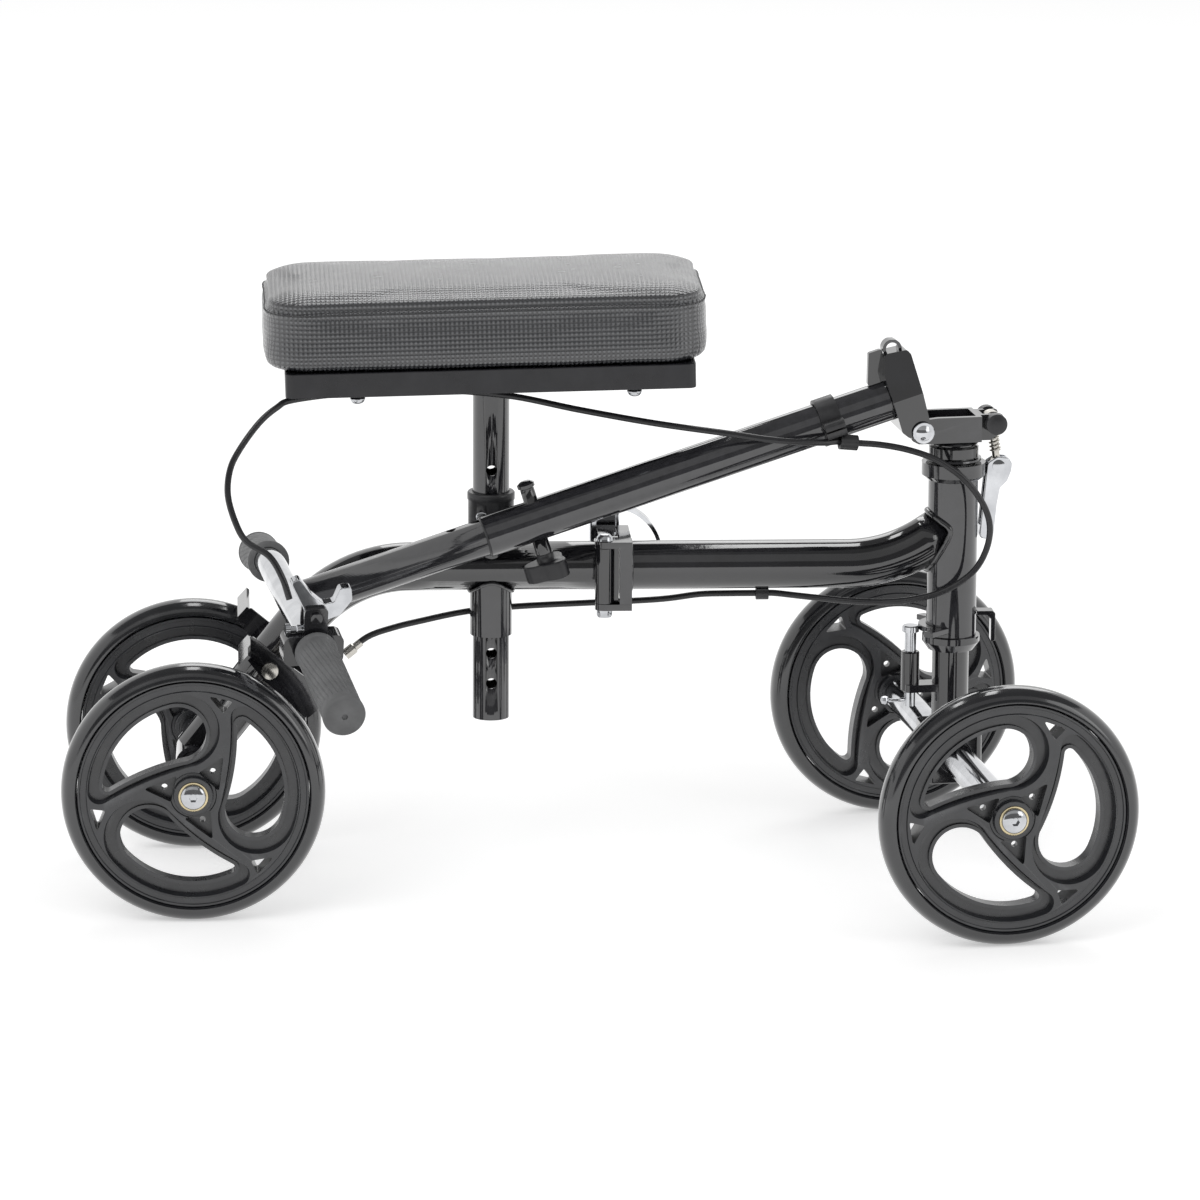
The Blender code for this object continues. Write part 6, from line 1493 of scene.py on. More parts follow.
def add_fork(steering):
    """The steerer, from the front axle's crown up through the head tube to the column's base."""
    steerer = rod(STEERER_R, CROWN_TOP - 2 * mm, BASE_LOW + 4 * mm, TUBE_STEPS + 4)
    item = add_object("fork_steerer", steerer, steering, gloss_black())
    half = CROWN_HALF
    crown = prism(round_rect(CROWN_L, 2 * half, 5 * mm, 2), WHEEL_R - CROWN_L / 2, CROWN_TOP)
    bore = rod(AXLE_TUBE_FRONT_R + GAP, -2 * half, 2 * half, TUBE_STEPS + 4)
    finish_cuts(item, [cutter("axle_bore", bore, steering, axis_y((0, 0, WHEEL_R)))],
                [cutter("crown", crown, steering)])
    soften(item, 1.2 * mm, 3)


def add_front_axle(steering):
    """The bright cross tube that carries the two front wheels."""
    half = FRONT_TRACK / 2 - HUB_W / 2 - AXLE_SHOULDER
    place = axis_y((0, 0, WHEEL_R))
    axle = pipe(AXLE_TUBE_FRONT_R, AXLE_BOLT_R + GAP, -half, half, TUBE_STEPS + 4)
    add_object("front_axle_tube", axle, steering, chrome(), place)


def add_locknut(steering):
    """The stack above the upper cup: a washer, a ribbed spacer and a narrower top."""
    bore = STEERER_R + GAP
    low = HEAD_TOP + UPPER_CUP_H + 2 * GAP
    profile = [
        (bore, low), (17.5 * mm, low), (17.5 * mm, low + 4 * mm), (19.5 * mm, low + 4.5 * mm),
        (19.5 * mm, low + 12 * mm), (18 * mm, low + 13 * mm), (19.0 * mm, low + 15 * mm),
        (16.5 * mm, BASE_LOW - GAP), (bore, BASE_LOW - GAP),
    ]
    add_object("headset_locknut", turned(profile, 16, True), steering, gloss_black())


def add_column_base(steering):
    """The saddle on the steerer: two cheeks that carry the column's pivot, and a narrower slotted nose."""
    rear_x = -PIVOT_BACK - 8.3 * mm
    outline = rounded_corners([
        (rear_x, PIVOT_Z - 7 * mm), (rear_x + 6 * mm, BASE_LOW), (BASE_FRONT_X - 10 * mm, BASE_LOW),
        (BASE_FRONT_X, BASE_LOW + 6 * mm), (BASE_FRONT_X, LATCH_PIN_Z + 7 * mm), (BASE_NOSE_X, BASE_TOP),
        (-17 * mm, BASE_TOP), (rear_x + 2 * mm, PIVOT_Z + 8 * mm),
    ], 3 * mm, 2)
    block = prism(outline, -BASE_HALF_W, BASE_HALF_W)
    base = add_object("column_base", block, steering, gloss_black(), side_plate())
    gap_high = BASE_TOP + 5 * mm
    length = BASE_NOSE_X - 4 * mm - rear_x + 10 * mm
    centre = rear_x - 10 * mm + length / 2
    channel = prism(round_rect(length, 2 * BASE_HALF_W - 2 * CHEEK_T, 1 * mm, 1, centre),
                    BASE_LOW + 9 * mm, gap_high)
    place = axis_y((-PIVOT_BACK, 0, PIVOT_Z))
    tools = [
        cutter("cheek_channel", channel, steering),
        cutter("pivot_bore", rod(PIVOT_R + GAP, -40 * mm, 40 * mm, SMALL_STEPS), steering, place),
        cutter("latch_bore", rod(LATCH_PIN_R + GAP, -40 * mm, 40 * mm, SMALL_STEPS), steering,
               axis_y((LATCH_PIN_X, 0, LATCH_PIN_Z))),
        cutter("steerer_room", rod(STEERER_R + GAP, 0, BASE_LOW + 4 * mm + GAP, TUBE_STEPS + 4), steering),
        cutter("stud_room", prism(round_rect(40 * mm, 15 * mm, 1 * mm, 1, LATCH_PIN_X + 11 * mm), 0,
                                  BASE_TOP + 9 * mm), steering),
    ]
    for side in (-1, 1):
        aside = side * (BASE_NOSE_HALF + 10 * mm)
        outline = round_rect(40 * mm, 20 * mm, 2 * mm, 1, BASE_NOSE_X + 20 * mm, aside)
        wide = prism(outline, 0, gap_high + 9 * mm)
        tools.append(cutter(f"nose_side_{side + 1}", wide, steering))
    finish_cuts(base, tools)
    soften(base, 0.8 * mm, 3)


def headed_pin(radius, head_r, head_t, half, dome):
    """A cross pin with a head at each end, along Z."""
    profile = [(0, -half - head_t - dome), (head_r * 0.6, -half - head_t - dome * 0.7),
               (head_r, -half - head_t), (head_r, -half), (radius, -half), (radius, half),
               (head_r, half), (head_r, half + head_t), (head_r * 0.6, half + head_t + dome * 0.7),
               (0, half + head_t + dome)]
    return turned(profile, SMALL_STEPS)


def add_head_pins(steering):
    """The column's pivot bolt and the latch's cross pin with its two round plastic ends."""
    half = FLANGE_HALF_W + GAP
    bolt = headed_pin(PIVOT_R, 7.2 * mm, 2.0 * mm, half, 3.0 * mm)
    add_object("column_pivot_bolt", bolt, steering, chrome(), axis_y((-PIVOT_BACK, 0, PIVOT_Z)))
    pin = headed_pin(LATCH_PIN_R, LATCH_CAP_R, LATCH_CAP_T, BASE_NOSE_HALF + GAP, 1.0 * mm)
    add_object("latch_cross_pin", pin, steering, black_plastic(), axis_y((LATCH_PIN_X, 0, LATCH_PIN_Z)))


def coil_path(radius, pitch, turns, start):
    """One unbroken helix along Z, its ends running straight for one wire diameter."""
    points = []
    each = COIL_POINTS * FINE
    count = round(turns * each)
    for i in range(count + 1):
        angle = 2 * math.pi * i / each
        points.append(Vector((radius * math.cos(angle), radius * math.sin(angle), start + pitch * i / each)))
    lead = Vector((0, -2 * SPRING_WIRE_R, 0))
    tail = Vector((-points[-1].y, points[-1].x, 0)).normalized() * 2 * SPRING_WIRE_R
    return [points[0] + lead] + points + [points[-1] + tail]


def add_column_latch(steering):
    """The hanging clamp: a threaded stud with its spring, and the bright cam lever below it."""
    swing = add_empty("latch_swing", steering, (LATCH_PIN_X, 0, LATCH_PIN_Z), (0, math.pi - LATCH_HANG, 0))
    shank = rod(LATCH_STUD_R, LATCH_PIN_R + 1 * mm, LATCH_STUD_L, 12)
    stud = add_object("latch_stud", shank, swing, zinc())
    eye = rod(LATCH_PIN_R + 3.5 * mm, -5 * mm, 5 * mm, SMALL_STEPS)
    foot = rod(LATCH_FOOT_R, -3.2 * mm, 3.2 * mm, 12)
    bore = rod(LATCH_PIN_R + SLIDE_GAP, -9 * mm, 9 * mm, SMALL_STEPS)
    foot_bore = rod(LEVER_PIN_R + SLIDE_GAP, -9 * mm, 9 * mm, 12)
    low = (0, 0, LATCH_STUD_L)
    joins = [cutter("stud_eye", eye, swing, axis_y()), cutter("stud_foot", foot, swing, axis_y(low))]
    cuts = [cutter("eye_bore", bore, swing, axis_y()), cutter("foot_bore", foot_bore, swing, axis_y(low))]
    finish_cuts(stud, cuts, joins)
    soften(stud, 0.3 * mm)
    spring_r = LATCH_STUD_R + SPRING_WIRE_R + GAP
    path = coil_path(spring_r, SPRING_PITCH, SPRING_TURNS, SPRING_START)
    add_object("latch_spring", swept(path, SPRING_WIRE_R, 0.0, 6), swing, zinc())
    lever = add_empty("latch_lever_pivot", swing, low, (0, LEVER_LEAN, 0))
    tip = LEVER_L / mm
    corners = in_mm((-7, -7.5), (2, -7.5), (9.1, -2), (7, tip), (-4, tip), (-3, 30), (-3.6, 17), (-8.5, 11),
                    (-10.5, 3), (-10.5, -3))
    outline = rounded_corners(corners, 4 * mm, 2)
    body = prism(outline, -LEVER_HALF_W, LEVER_HALF_W)
    turn = Matrix.Rotation(math.pi / 2, 4, "X")
    handle = add_object("latch_lever", body, lever, chrome(), turn)
    slot = prism(round_rect(40 * mm, 2 * LEVER_SLOT, 0.5 * mm, 1), -30 * mm, LEVER_L - 10 * mm)
    pin = headed_pin(LEVER_PIN_R, 5 * mm, 1.0 * mm, LEVER_HALF_W, 0.6 * mm)
    finish_cuts(handle, [cutter("lever_slot", slot, lever)])
    soften(handle, 0.8 * mm, 3)
    finish_cuts(handle, [], [cutter("lever_pin", pin, lever, axis_y())])


def add_steering_lock(steering):
    """The sleeve on the fork with its sprung pin, pulled down by a ball ring to free the steering."""
    place = Matrix.Translation((-PIN_PATH_R, 0, 0))
    sleeve = pipe(LOCK_SLEEVE_R, LOCK_PIN_R + SLIDE_GAP, LOCK_LOW, LOCK_HIGH, TUBE_STEPS - 4, 0.8 * mm)
    arm = prism(round_rect(PIN_PATH_R + 6 * mm, 17 * mm, 4 * mm, 2, PIN_PATH_R / 2 - 2 * mm), LOCK_LOW,
                LOCK_LOW + 6 * mm)
    item = add_object("lock_sleeve", sleeve, steering, gloss_black(), place)
    round_arm = cutter("sleeve_arm", arm, steering, place)
    room = cutter("steerer_gap", rod(STEERER_R + GAP, 0, HEAD_TOP, TUBE_STEPS + 4), steering)
    hole = cutter("sleeve_bore", rod(LOCK_PIN_R + SLIDE_GAP, 0, HEAD_TOP, SMALL_STEPS), steering, place)
    finish_cuts(item, [room, hole], [round_arm])
    soften(item)
    low = LOCK_LOW - 12 * mm
    cap = LOCK_TOP - 5 * mm
    pin = turned([(0, low), (LOCK_PIN_R, low), (LOCK_PIN_R, cap), (LOCK_CAP_R, cap),
                  (LOCK_CAP_R, LOCK_TOP - 0.8 * mm), (LOCK_CAP_R - 0.8 * mm, LOCK_TOP), (0, LOCK_TOP)],
                 SMALL_STEPS)
    pin_item = add_object("lock_pin", pin, steering, chrome(), place)
    wire_path = in_mm((-3, 0, 0), (-9, -2, 0), (-15, -2, 0), (-19, 0, 0))
    wire = swept(smooth_curve(wire_path, 3 * mm), 1.4 * mm, 0.0, 8)
    at = Matrix.Translation((-PIN_PATH_R, 0, LOCK_LOW - 7 * mm))
    ball = turned(in_mm((0, -3.6), (2.6, -2.6), (3.6, 0), (2.6, 2.6), (0, 3.6)), 10)
    ball_at = at @ Matrix.Translation((-20 * mm, 0, 0))
    finish_cuts(pin_item, [], [cutter("pull_wire", wire, steering, at),
                               cutter("pull_ball", ball, steering, ball_at)])


# Steering column, in the frame of its pivot: Z up the tube, X towards its front face

def column_place():
    return Matrix.Translation((COLUMN_OFFSET, 0, 0))


def add_column_casting(pivot):
    """The hollow cap under the column: a face plate, two side walls on the pivot and the front eye."""
    boss = arc(0, 0, 8.6 * mm, 130, 250, 5)
    outline = boss + rounded_corners([
        (5 * mm, -7.6 * mm), (26 * mm, -8.6 * mm), (CASTING_FRONT_X - 6 * mm, -10 * mm),
        (CASTING_FRONT_X - 2 * mm, -8 * mm), (CASTING_FRONT_X, 9 * mm), (50 * mm, CASTING_TOP),
        (5 * mm, CASTING_TOP), (-1.5 * mm, 11 * mm),
    ], 3 * mm, 2)
    turn = Matrix.Rotation(math.pi / 2, 4, "X")
    body = prism(outline, -FLANGE_HALF_W, FLANGE_HALF_W)
    item = add_object("column_casting", body, pivot, gloss_black(), turn)
    wide = BASE_HALF_W + 2 * GAP
    narrow = NOSE_HALF_W - (FLANGE_HALF_W - wide)
    front = CASTING_FRONT_X - 6 * mm
    room = prism([(-20 * mm, -wide), (TAPER_FROM, -wide), (front, -narrow), (front, narrow),
                  (TAPER_FROM, wide), (-20 * mm, wide)], -30 * mm, CASTING_PLATE)
    eye = prism(arc(0, 0, 7.5 * mm, 0, 330, 11), -5 * mm, 5 * mm)
    eye_at = Matrix.Translation((CASTING_FRONT_X + 1 * mm, 0, 2 * mm)) @ turn
    lug = rounded_corners([(COLUMN_OFFSET + COLUMN_R + GAP, CASTING_TOP - 2 * mm),
                           (CASTING_FRONT_X + 3 * mm, CASTING_TOP - 6 * mm),
                           (CASTING_FRONT_X + 3 * mm, CASTING_TOP + 5 * mm),
                           (COLUMN_OFFSET + COLUMN_R + GAP, CASTING_TOP + 13 * mm)], 2 * mm)
    lug_body = prism(lug, -2.5 * mm, 2.5 * mm)
    front_eye = cutter("front_eye", eye, pivot, eye_at)
    finish_cuts(front_eye, [cutter("eye_hole", rod(5.0 * mm, -9 * mm, 9 * mm, 12), pivot, eye_at)])
    joins = [front_eye, cutter("front_lug", lug_body, pivot, turn)]
    tube_room = rod(COLUMN_R + GAP, CASTING_TOP, COLUMN_END, BIG_STEPS)
    cuts = [
        cutter("cap_room", room, pivot),
        cutter("casting_bore", rod(PIVOT_R + SLIDE_GAP, -40 * mm, 40 * mm, SMALL_STEPS), pivot, axis_y()),
        cutter("tube_room", tube_room, pivot, column_place()),
    ]
    for side in (-1, 1):
        ahead = CASTING_FRONT_X + 12 * mm
        taper = prism([(TAPER_FROM, side * FLANGE_HALF_W), (ahead, side * NOSE_HALF_W * 0.8),
                       (ahead, side * 2 * FLANGE_HALF_W), (TAPER_FROM, side * 2 * FLANGE_HALF_W)][::side],
                      -30 * mm, 40 * mm)
        cuts.append(cutter(f"side_taper_{side + 1}", taper, pivot))
    finish_cuts(item, cuts)
    finish_cuts(item, [], joins)
    soften(item, 2.6 * mm, 4)


def knob_frame():
    """The knob's frame on the column's axis, Z out of the tube's lower face."""
    turn = Matrix.Rotation(-math.pi / 2, 4, "Y")
    return column_place() @ Matrix.Translation((0, 0, KNOB_AT)) @ turn


def add_column_tube(pivot):
    """The outer column tube, with the boss for the height knob and the height button's housing."""
    low = CASTING_TOP + GAP
    bm = pipe(COLUMN_R, COLUMN_R - COLUMN_WALL, low, COLUMN_END, TUBE_STEPS + 4)
    tube = add_object("column_tube", bm, pivot, gloss_black(), column_place())
    boss = rod(KNOB_BOSS_R, COLUMN_R - 3 * mm, COLUMN_R + KNOB_BOSS_H, 12)
    high = COLUMN_R + BUTTON_H
    button = turned([
        (0, COLUMN_R - 3 * mm), (BUTTON_R, COLUMN_R - 3 * mm), (BUTTON_R, high - 6 * mm),
        (BUTTON_DOME_R, high - 5 * mm),
        (BUTTON_DOME_R, high - 2.5 * mm), (BUTTON_DOME_R * 0.6, high - 0.5 * mm), (0, high),
    ], SMALL_STEPS)
    above = Matrix.Translation((0, 0, KNOB_AT - 2 * mm)) @ Matrix.Rotation(math.pi / 2, 4, "Y")
    hole = rod(KNOB_STEM_R + SLIDE_GAP, 0, COLUMN_R + 20 * mm, 10)
    room = rod(COLUMN_R - COLUMN_WALL, KNOB_AT - 20 * mm, KNOB_AT + 20 * mm, TUBE_STEPS + 4)
    joins = [cutter("knob_boss", boss, pivot, knob_frame()),
             cutter("height_button", button, pivot, column_place() @ above)]
    finish_cuts(tube, [], joins)
    finish_cuts(tube, [cutter("knob_hole", hole, pivot, knob_frame()),
                       cutter("boss_room", room, pivot, column_place())])


def add_column_clamp(pivot):
    """A split band round the column with a screw boss and a strap that holds the brake cable."""
    inner = COLUMN_R + GAP
    outer = inner + 2.6 * mm
    half = 8 * mm
    band = pipe(outer, inner, -half, half, TUBE_STEPS + 4)
    place = column_place() @ Matrix.Translation((0, 0, CLAMP_AT)) @ Matrix.Rotation(CLAMP_TURN, 4, "Z")
    item = add_object("column_clamp", band, pivot, satin_black(), place)
    ear = prism(round_rect(11 * mm, 13 * mm, 3 * mm, 2, outer + 3 * mm), -half, half)
    spot = Vector(COLUMN_CLIP)
    run = along(spot, spot + Vector(CLIP_RUN))
    ring = cutter("clip_ring", rod(CABLE_R + 3.5 * mm, -7 * mm, 7 * mm, 12), pivot, run)
    finish_cuts(item, [], [cutter("clamp_ear", ear, pivot, place), ring])
    slit = prism(round_rect(19 * mm, 1.6 * mm, 0.4 * mm, 1, outer + 3 * mm), -half - 1 * mm, half + 1 * mm)
    room = rod(inner, -90 * mm, 90 * mm, TUBE_STEPS + 4)
    bore = rod(CABLE_R + 2 * GAP, -20 * mm, 20 * mm, 10)
    finish_cuts(item, [cutter("clamp_room", room, pivot, place), cutter("clamp_slit", slit, pivot, place),
                       cutter("clip_bore", bore, pivot, run)])
    soften(item)


def knob_outline():
    """The three-lobed outline of the height knob."""
    points = []
    for i in range(30 * FINE):
        angle = 12.0 * i * deg / FINE
        reach = KNOB_R * (0.84 + 0.16 * math.cos(3 * angle))
        points.append((reach * math.cos(angle), reach * math.sin(angle)))
    return points


def add_height_knob(pivot):
    """The knob under the column whose stem clamps the inner tube."""
    place = knob_frame()
    knob_empty = add_empty("height_knob_axis", pivot)
    knob_empty.matrix_local = place
    head = prism(knob_outline(), KNOB_HEAD_AT, KNOB_HEAD_AT + KNOB_HEAD_T)
    knob = add_object("height_knob", head, knob_empty, black_plastic())
    stem = rod(KNOB_STEM_R, MAST_R + 0.6 * mm, KNOB_HEAD_AT + 2 * mm, 12)
    neck = rod(7 * mm, COLUMN_R + KNOB_BOSS_H + GAP, KNOB_HEAD_AT + 1 * mm, 12)
    soften(knob, 1.5 * mm, 3)
    finish_cuts(knob, [], [cutter("knob_stem", stem, knob_empty), cutter("knob_neck", neck, knob_empty)])


def add_mast(slider):
    """The inner tube that slides in the column, with its height holes, mitred to the bar."""
    bm = pipe(MAST_R, MAST_R - MAST_WALL, MAST_START, BAR_AT, TUBE_STEPS + 2)
    mast = add_object("handlebar_mast", bm, slider, gloss_black(), column_place())
    cuts = []
    for i in range(MAST_HOLES):
        place = column_place() @ Matrix.Translation((0, 0, MAST_HOLE_AT - HOLE_PITCH * i))
        place = place @ Matrix.Rotation(math.pi / 2, 4, "Y")
        cuts.append(cutter(f"mast_hole_{i}", rod(4 * mm, 0, 30 * mm, 10), slider, place))
    saddle = rod(BAR_R + GAP, -50 * mm, 50 * mm, TUBE_STEPS)
    cuts.append(cutter("bar_room", saddle, slider, bar_place() @ axis_y((0, 0, BAR_AT))))
    finish_cuts(mast, cuts)


def bar_place():
    """The bar's frame: its middle above the mast's axis, twisted and turned a little on the mast."""
    middle = Matrix.Rotation(BAR_TWIST, 4, "Z") @ Matrix.Translation((BAR_LIFT, 0, BAR_AT))
    return column_place() @ middle @ Matrix.Rotation(BAR_TURN, 4, "X") @ Matrix.Translation((0, 0, -BAR_AT))


def bar_path():
    """The handlebar: straight across the mast, then swept down and back at each side."""
    drop = BAR_SWEEP * (BAR_HALF - BAR_BEND_AT)
    corners = [(-drop, -BAR_HALF, BAR_AT), (0, -BAR_BEND_AT, BAR_AT), (0, BAR_BEND_AT, BAR_AT),
               (-drop, BAR_HALF, BAR_AT)]
    return fillet_path(corners, [BAR_BEND_R, BAR_BEND_R], 5 * deg)


def add_handlebar(slider):
    bar = swept(bar_path(), BAR_R, BAR_R - 1.6 * mm, SWEPT_STEPS)
    add_object("handlebar", bar, slider, chrome(), bar_place())


def grip_frame(side):
    """The frame at a grip's inner end, Z running out along the bar's end."""
    drop = BAR_SWEEP * (BAR_HALF - BAR_BEND_AT)
    end = Vector((-drop, side * BAR_HALF, BAR_AT))
    run = Vector((-drop, side * (BAR_HALF - BAR_BEND_AT), 0)).normalized()
    start = end - run * (GRIP_L - GRIP_CAP)
    return bar_place() @ along(start, end)


def grip_surface(heights):
    """How a grip's radius changes round it: shallow grooves that wind a little along it."""
    def shape(radius, angle, index):
        height = heights[index] / GRIP_L
        if radius <= GRIP_R - 1 * mm or not GRIP_PLAIN_END < height < 1 - GRIP_PLAIN_END:
            return radius
        wave = abs(math.sin(GRIP_RIBS / 2 * (angle + GRIP_RIB_TWIST * height)))
        return radius - GRIP_RIB_DEPTH * max(0.0, 1.0 - wave / GRIP_RIB_WIDTH)
    return shape


def add_grip(slider, name, side):
    """A round rubber grip with winding grooves, an inner collar and a domed end with a small hole."""
    bore = BAR_R + GAP
    closed = GRIP_L - GRIP_CAP + GAP
    profile = [(0, closed), (bore, closed), (bore, 0)]
    for more, height in in_mm((-0.6, 0), (0.3, 0.4), (0.6, 1.2), (0.6, 4.2), (0.2, 5.2), (-0.2, 6)):
        profile.append((GRIP_R + more, height))
    run = GRIP_L - 2 * GRIP_COLLAR_END
    for i in range(GRIP_LENGTH_STEPS + 1):
        profile.append((GRIP_R - 0.1 * mm, GRIP_COLLAR_END + run * i / GRIP_LENGTH_STEPS))
    for more, back in in_mm((0.4, 5.5), (0.4, 2.6), (-0.2, 1.2), (-1.4, 0.4), (-3, 0)):
        profile.append((GRIP_R + more, GRIP_L - back))
    floor = GRIP_L - 1.5 * mm
    profile += [(GRIP_END_HOLE_R, GRIP_L), (GRIP_END_HOLE_R - 0.3 * mm, floor), (0, floor)]
    shape = grip_surface([height for _, height in profile])
    bm = turned(profile, TUBE_STEPS + 36, False, shape)
    add_object(name, bm, slider, grip_rubber(), grip_frame(side), 40.0)


# Brake lever on the near grip's side

def brake_frame():
    """The frame on the bar inside the near grip: Z runs out along the bar, Y up, X forward."""
    grip = grip_frame(-1)
    run = grip.to_3x3() @ Vector((0, 0, 1))
    up = Vector((math.cos(COLUMN_DROP), 0, -math.sin(COLUMN_DROP)))
    up = (up - run * up.dot(run)).normalized()
    ahead = up.cross(run)
    turn = Matrix((ahead, up, run)).transposed().to_4x4()
    return Matrix.Translation(grip.translation - run * LEVER_CLAMP_BACK) @ turn


def add_brake_lever(slider):
    """The lever's clamp on the bar with its pivot pin and cable adjuster, and the hooked bright lever."""
    place = brake_frame()
    half = 8 * mm
    block = prism(round_rect(46 * mm, 24 * mm, 6 * mm, 2, -1 * mm, -1 * mm), -half, half)
    clamp = add_object("brake_clamp", block, slider, gloss_plastic(), place)
    top = LEVER_PIN_UP + 8 * mm
    riser = prism(round_rect(18 * mm, top, 4 * mm, 2, 0, top / 2), -half, half)
    room = rod(BAR_R + GAP, -20 * mm, 20 * mm, TUBE_STEPS)
    slot = prism(round_rect(60 * mm, 40 * mm, 1 * mm, 1, 0, LEVER_SLOT_UP + 20 * mm),
                 -BLADE_HALF - GAP, BLADE_HALF + GAP)
    pin_at = place @ Matrix.Translation((0, LEVER_PIN_UP, 0))
    joins = [cutter("clamp_riser", riser, slider, place)]
    cuts = [cutter("clamp_room", room, slider, place), cutter("blade_slot", slot, slider, place)]
    finish_cuts(clamp, cuts, joins)
    soften(clamp, 0.8 * mm, 3)
    pin = headed_pin(LEVER_BOLT_R, 4.6 * mm, 1.6 * mm, half, 1.0 * mm)
    profile = in_mm((0, 5), (3.6, 5), (3.6, 13), (2.6, 14), (2.6, 18), (4.4, 18.6), (4.4, 22), (0, 22))
    adjuster = turned(profile, 10)
    back = place @ Matrix.Translation((0, 14 * mm, 0)) @ Matrix.Rotation(-math.pi / 2, 4, "Y")
    finish_cuts(clamp, [], [cutter("lever_bolt", pin, slider, pin_at)])
    add_extra("brake_adjuster", adjuster, slider, chrome(), back, "brake_clamp")
    for i, (across, up) in enumerate(in_mm((-19, -1), (17, -1))):
        seat_at = place @ Matrix.Translation((across, up, -half))
        place_down = seat_at @ Matrix.Rotation(math.pi, 4, "X")
        socket_screw(f"clamp_screw_{i}", slider, place_down, 3.6 * mm, 1.8 * mm, 1.6 * mm, 3 * mm, zinc())
        extras[f"clamp_screw_{i}_piece"] = "brake_clamp"
    lever = add_empty("brake_lever_pivot", slider)
    lever.matrix_local = pin_at
    corners = in_mm((-20, 29), (-10, 8), (-5, -6), (6, -5), (19, 0), (28, 12), (27, 23), (18, 22), (14, 11),
                    (6, 10), (-3, 18), (-13, 32))
    outline = rounded_corners(corners, 3.5 * mm, 2)
    item = add_object("brake_lever", prism(outline, -BLADE_HALF, BLADE_HALF), lever, chrome())
    hole = rod(LEVER_BOLT_R + SLIDE_GAP, -20 * mm, 20 * mm, 12)
    finish_cuts(item, [cutter("blade_hole", hole, lever)])
    soften(item, 0.7 * mm, 3)


# Seat

def add_seat_post(seat):
    """The post with its height holes, up into the tray's socket."""
    bm = pipe(POST_R, POST_R - POST_WALL, POST_BOTTOM, POST_TOP, SWEPT_STEPS)
    post = add_object("seat_post", bm, seat, gloss_black())
    cuts = []
    for i in range(POST_HOLES):
        place = axis_y((0, 0, POST_HOLE_LOW + HOLE_PITCH * i))
        cuts.append(cutter(f"post_hole_{i}", rod(HOLE_R, -30 * mm, 30 * mm, HOLE_STEPS), seat, place))
    finish_cuts(post, cuts)


def tray_frame():
    """The frame at the middle of the tray's lower edge, tipped with the seat, from the post's axis."""
    middle = (TRAY_REAR_X + TRAY_FRONT_X) / 2 - POST_X
    return Matrix.Translation((middle, 0, TRAY_Z)) @ Matrix.Rotation(-TRAY_PITCH, 4, "Y")


def add_seat_tray(seat):
    """The folded steel tray, open below, with the post's socket and four screws."""
    length = TRAY_FRONT_X - TRAY_REAR_X
    place = tray_frame()
    shell = prism(round_rect(length, TRAY_W, 6 * mm, 3), 0, TRAY_LIP)
    tray = add_object("seat_tray", shell, seat, tray_black(), place)
    inside = prism(round_rect(length - 2 * TRAY_T, TRAY_W - 2 * TRAY_T, 4 * mm, 3), -9 * mm,
                   TRAY_LIP - TRAY_T)
    finish_cuts(tray, [cutter("tray_inside", inside, seat, place)])
    soften(tray, 0.7 * mm, 3)
    socket = pipe(POST_R + 5 * mm, POST_R + GAP, TRAY_Z - 6 * mm, TRAY_Z + TRAY_LIP - 1 * mm, TUBE_STEPS)
    joins = [cutter("post_socket", socket, seat)]
    shank = TRAY_LIP - 1 * mm
    for i, (x, y) in enumerate(TRAY_SCREWS):
        screw = turned([*TRAY_SCREW_HEAD, (TRAY_SCREW_R, shank), (0, shank)], 10)
        joins.append(cutter(f"tray_screw_{i}", screw, seat, place @ Matrix.Translation((x, y, 0))))
    finish_cuts(tray, [], joins)


def pad_ring(inset):
    """One outline of the cushion, its corners rounding in with the inset."""
    radius = max(6 * mm, PAD_CORNER_R - inset)
    return round_rect(PAD_L - 2 * inset, PAD_W - 2 * inset, radius, PAD_CORNER_STEPS)


def pad_crown(x, y):
    """How far the top sinks away from the crown's middle, by the seat's own length and width."""
    across = min(1.0, abs(2 * y / PAD_W))
    along_x = min(1.0, abs(2 * x / PAD_L))
    return -PAD_FLAT * PAD_CROWN * (0.65 * across ** 2.2 + 0.35 * along_x ** 4)


def pad_rings():
    """The cushion's outlines from its base to the crown: how far in, how high, how much of the crown."""
    top = PAD_TOP
    seam = PAD_STITCH_AT
    side = [
        (12 * mm, 0.0, 0.0), (5 * mm, 0.8 * mm, 0.0), (2.2 * mm, 3 * mm, 0.0), (0.8 * mm, 6 * mm, 0.0),
        (0.0, 12 * mm, 0.0), (0.6 * mm, 0.36 * seam, 0.2), (1.2 * mm, 0.5 * seam, 0.4),
        (1.2 * mm, 0.65 * seam, 0.6), (0.9 * mm, 0.8 * seam, 0.8), (0.6 * mm, seam - 3 * mm, 0.95),
        (0.9 * mm, seam, 1.0), (1.3 * mm, seam + 2 * mm, 1.0), (2.6 * mm, seam + 4.2 * mm, 1.0),
        (5 * mm, seam + 6.2 * mm, 1.0), (9 * mm, seam + 7.4 * mm, 1.0), (15 * mm, top - 1.8 * mm, 1.0),
        (24 * mm, top - 0.9 * mm, 1.0), (36 * mm, top - 0.3 * mm, 1.0), (50 * mm, top, 1.0),
        (66 * mm, top, 1.0), (78 * mm, top, 1.0),
    ]
    rings = []
    for inset, height, follow in side:
        outline = pad_ring(inset + PAD_SHRINK)
        rings.append([(x, y, height + pad_crown(x, y) * follow) for x, y in outline])
    return rings


def pad_place():
    return tray_frame() @ Matrix.Translation((PAD_SHIFT, 0, TRAY_LIP + GAP))


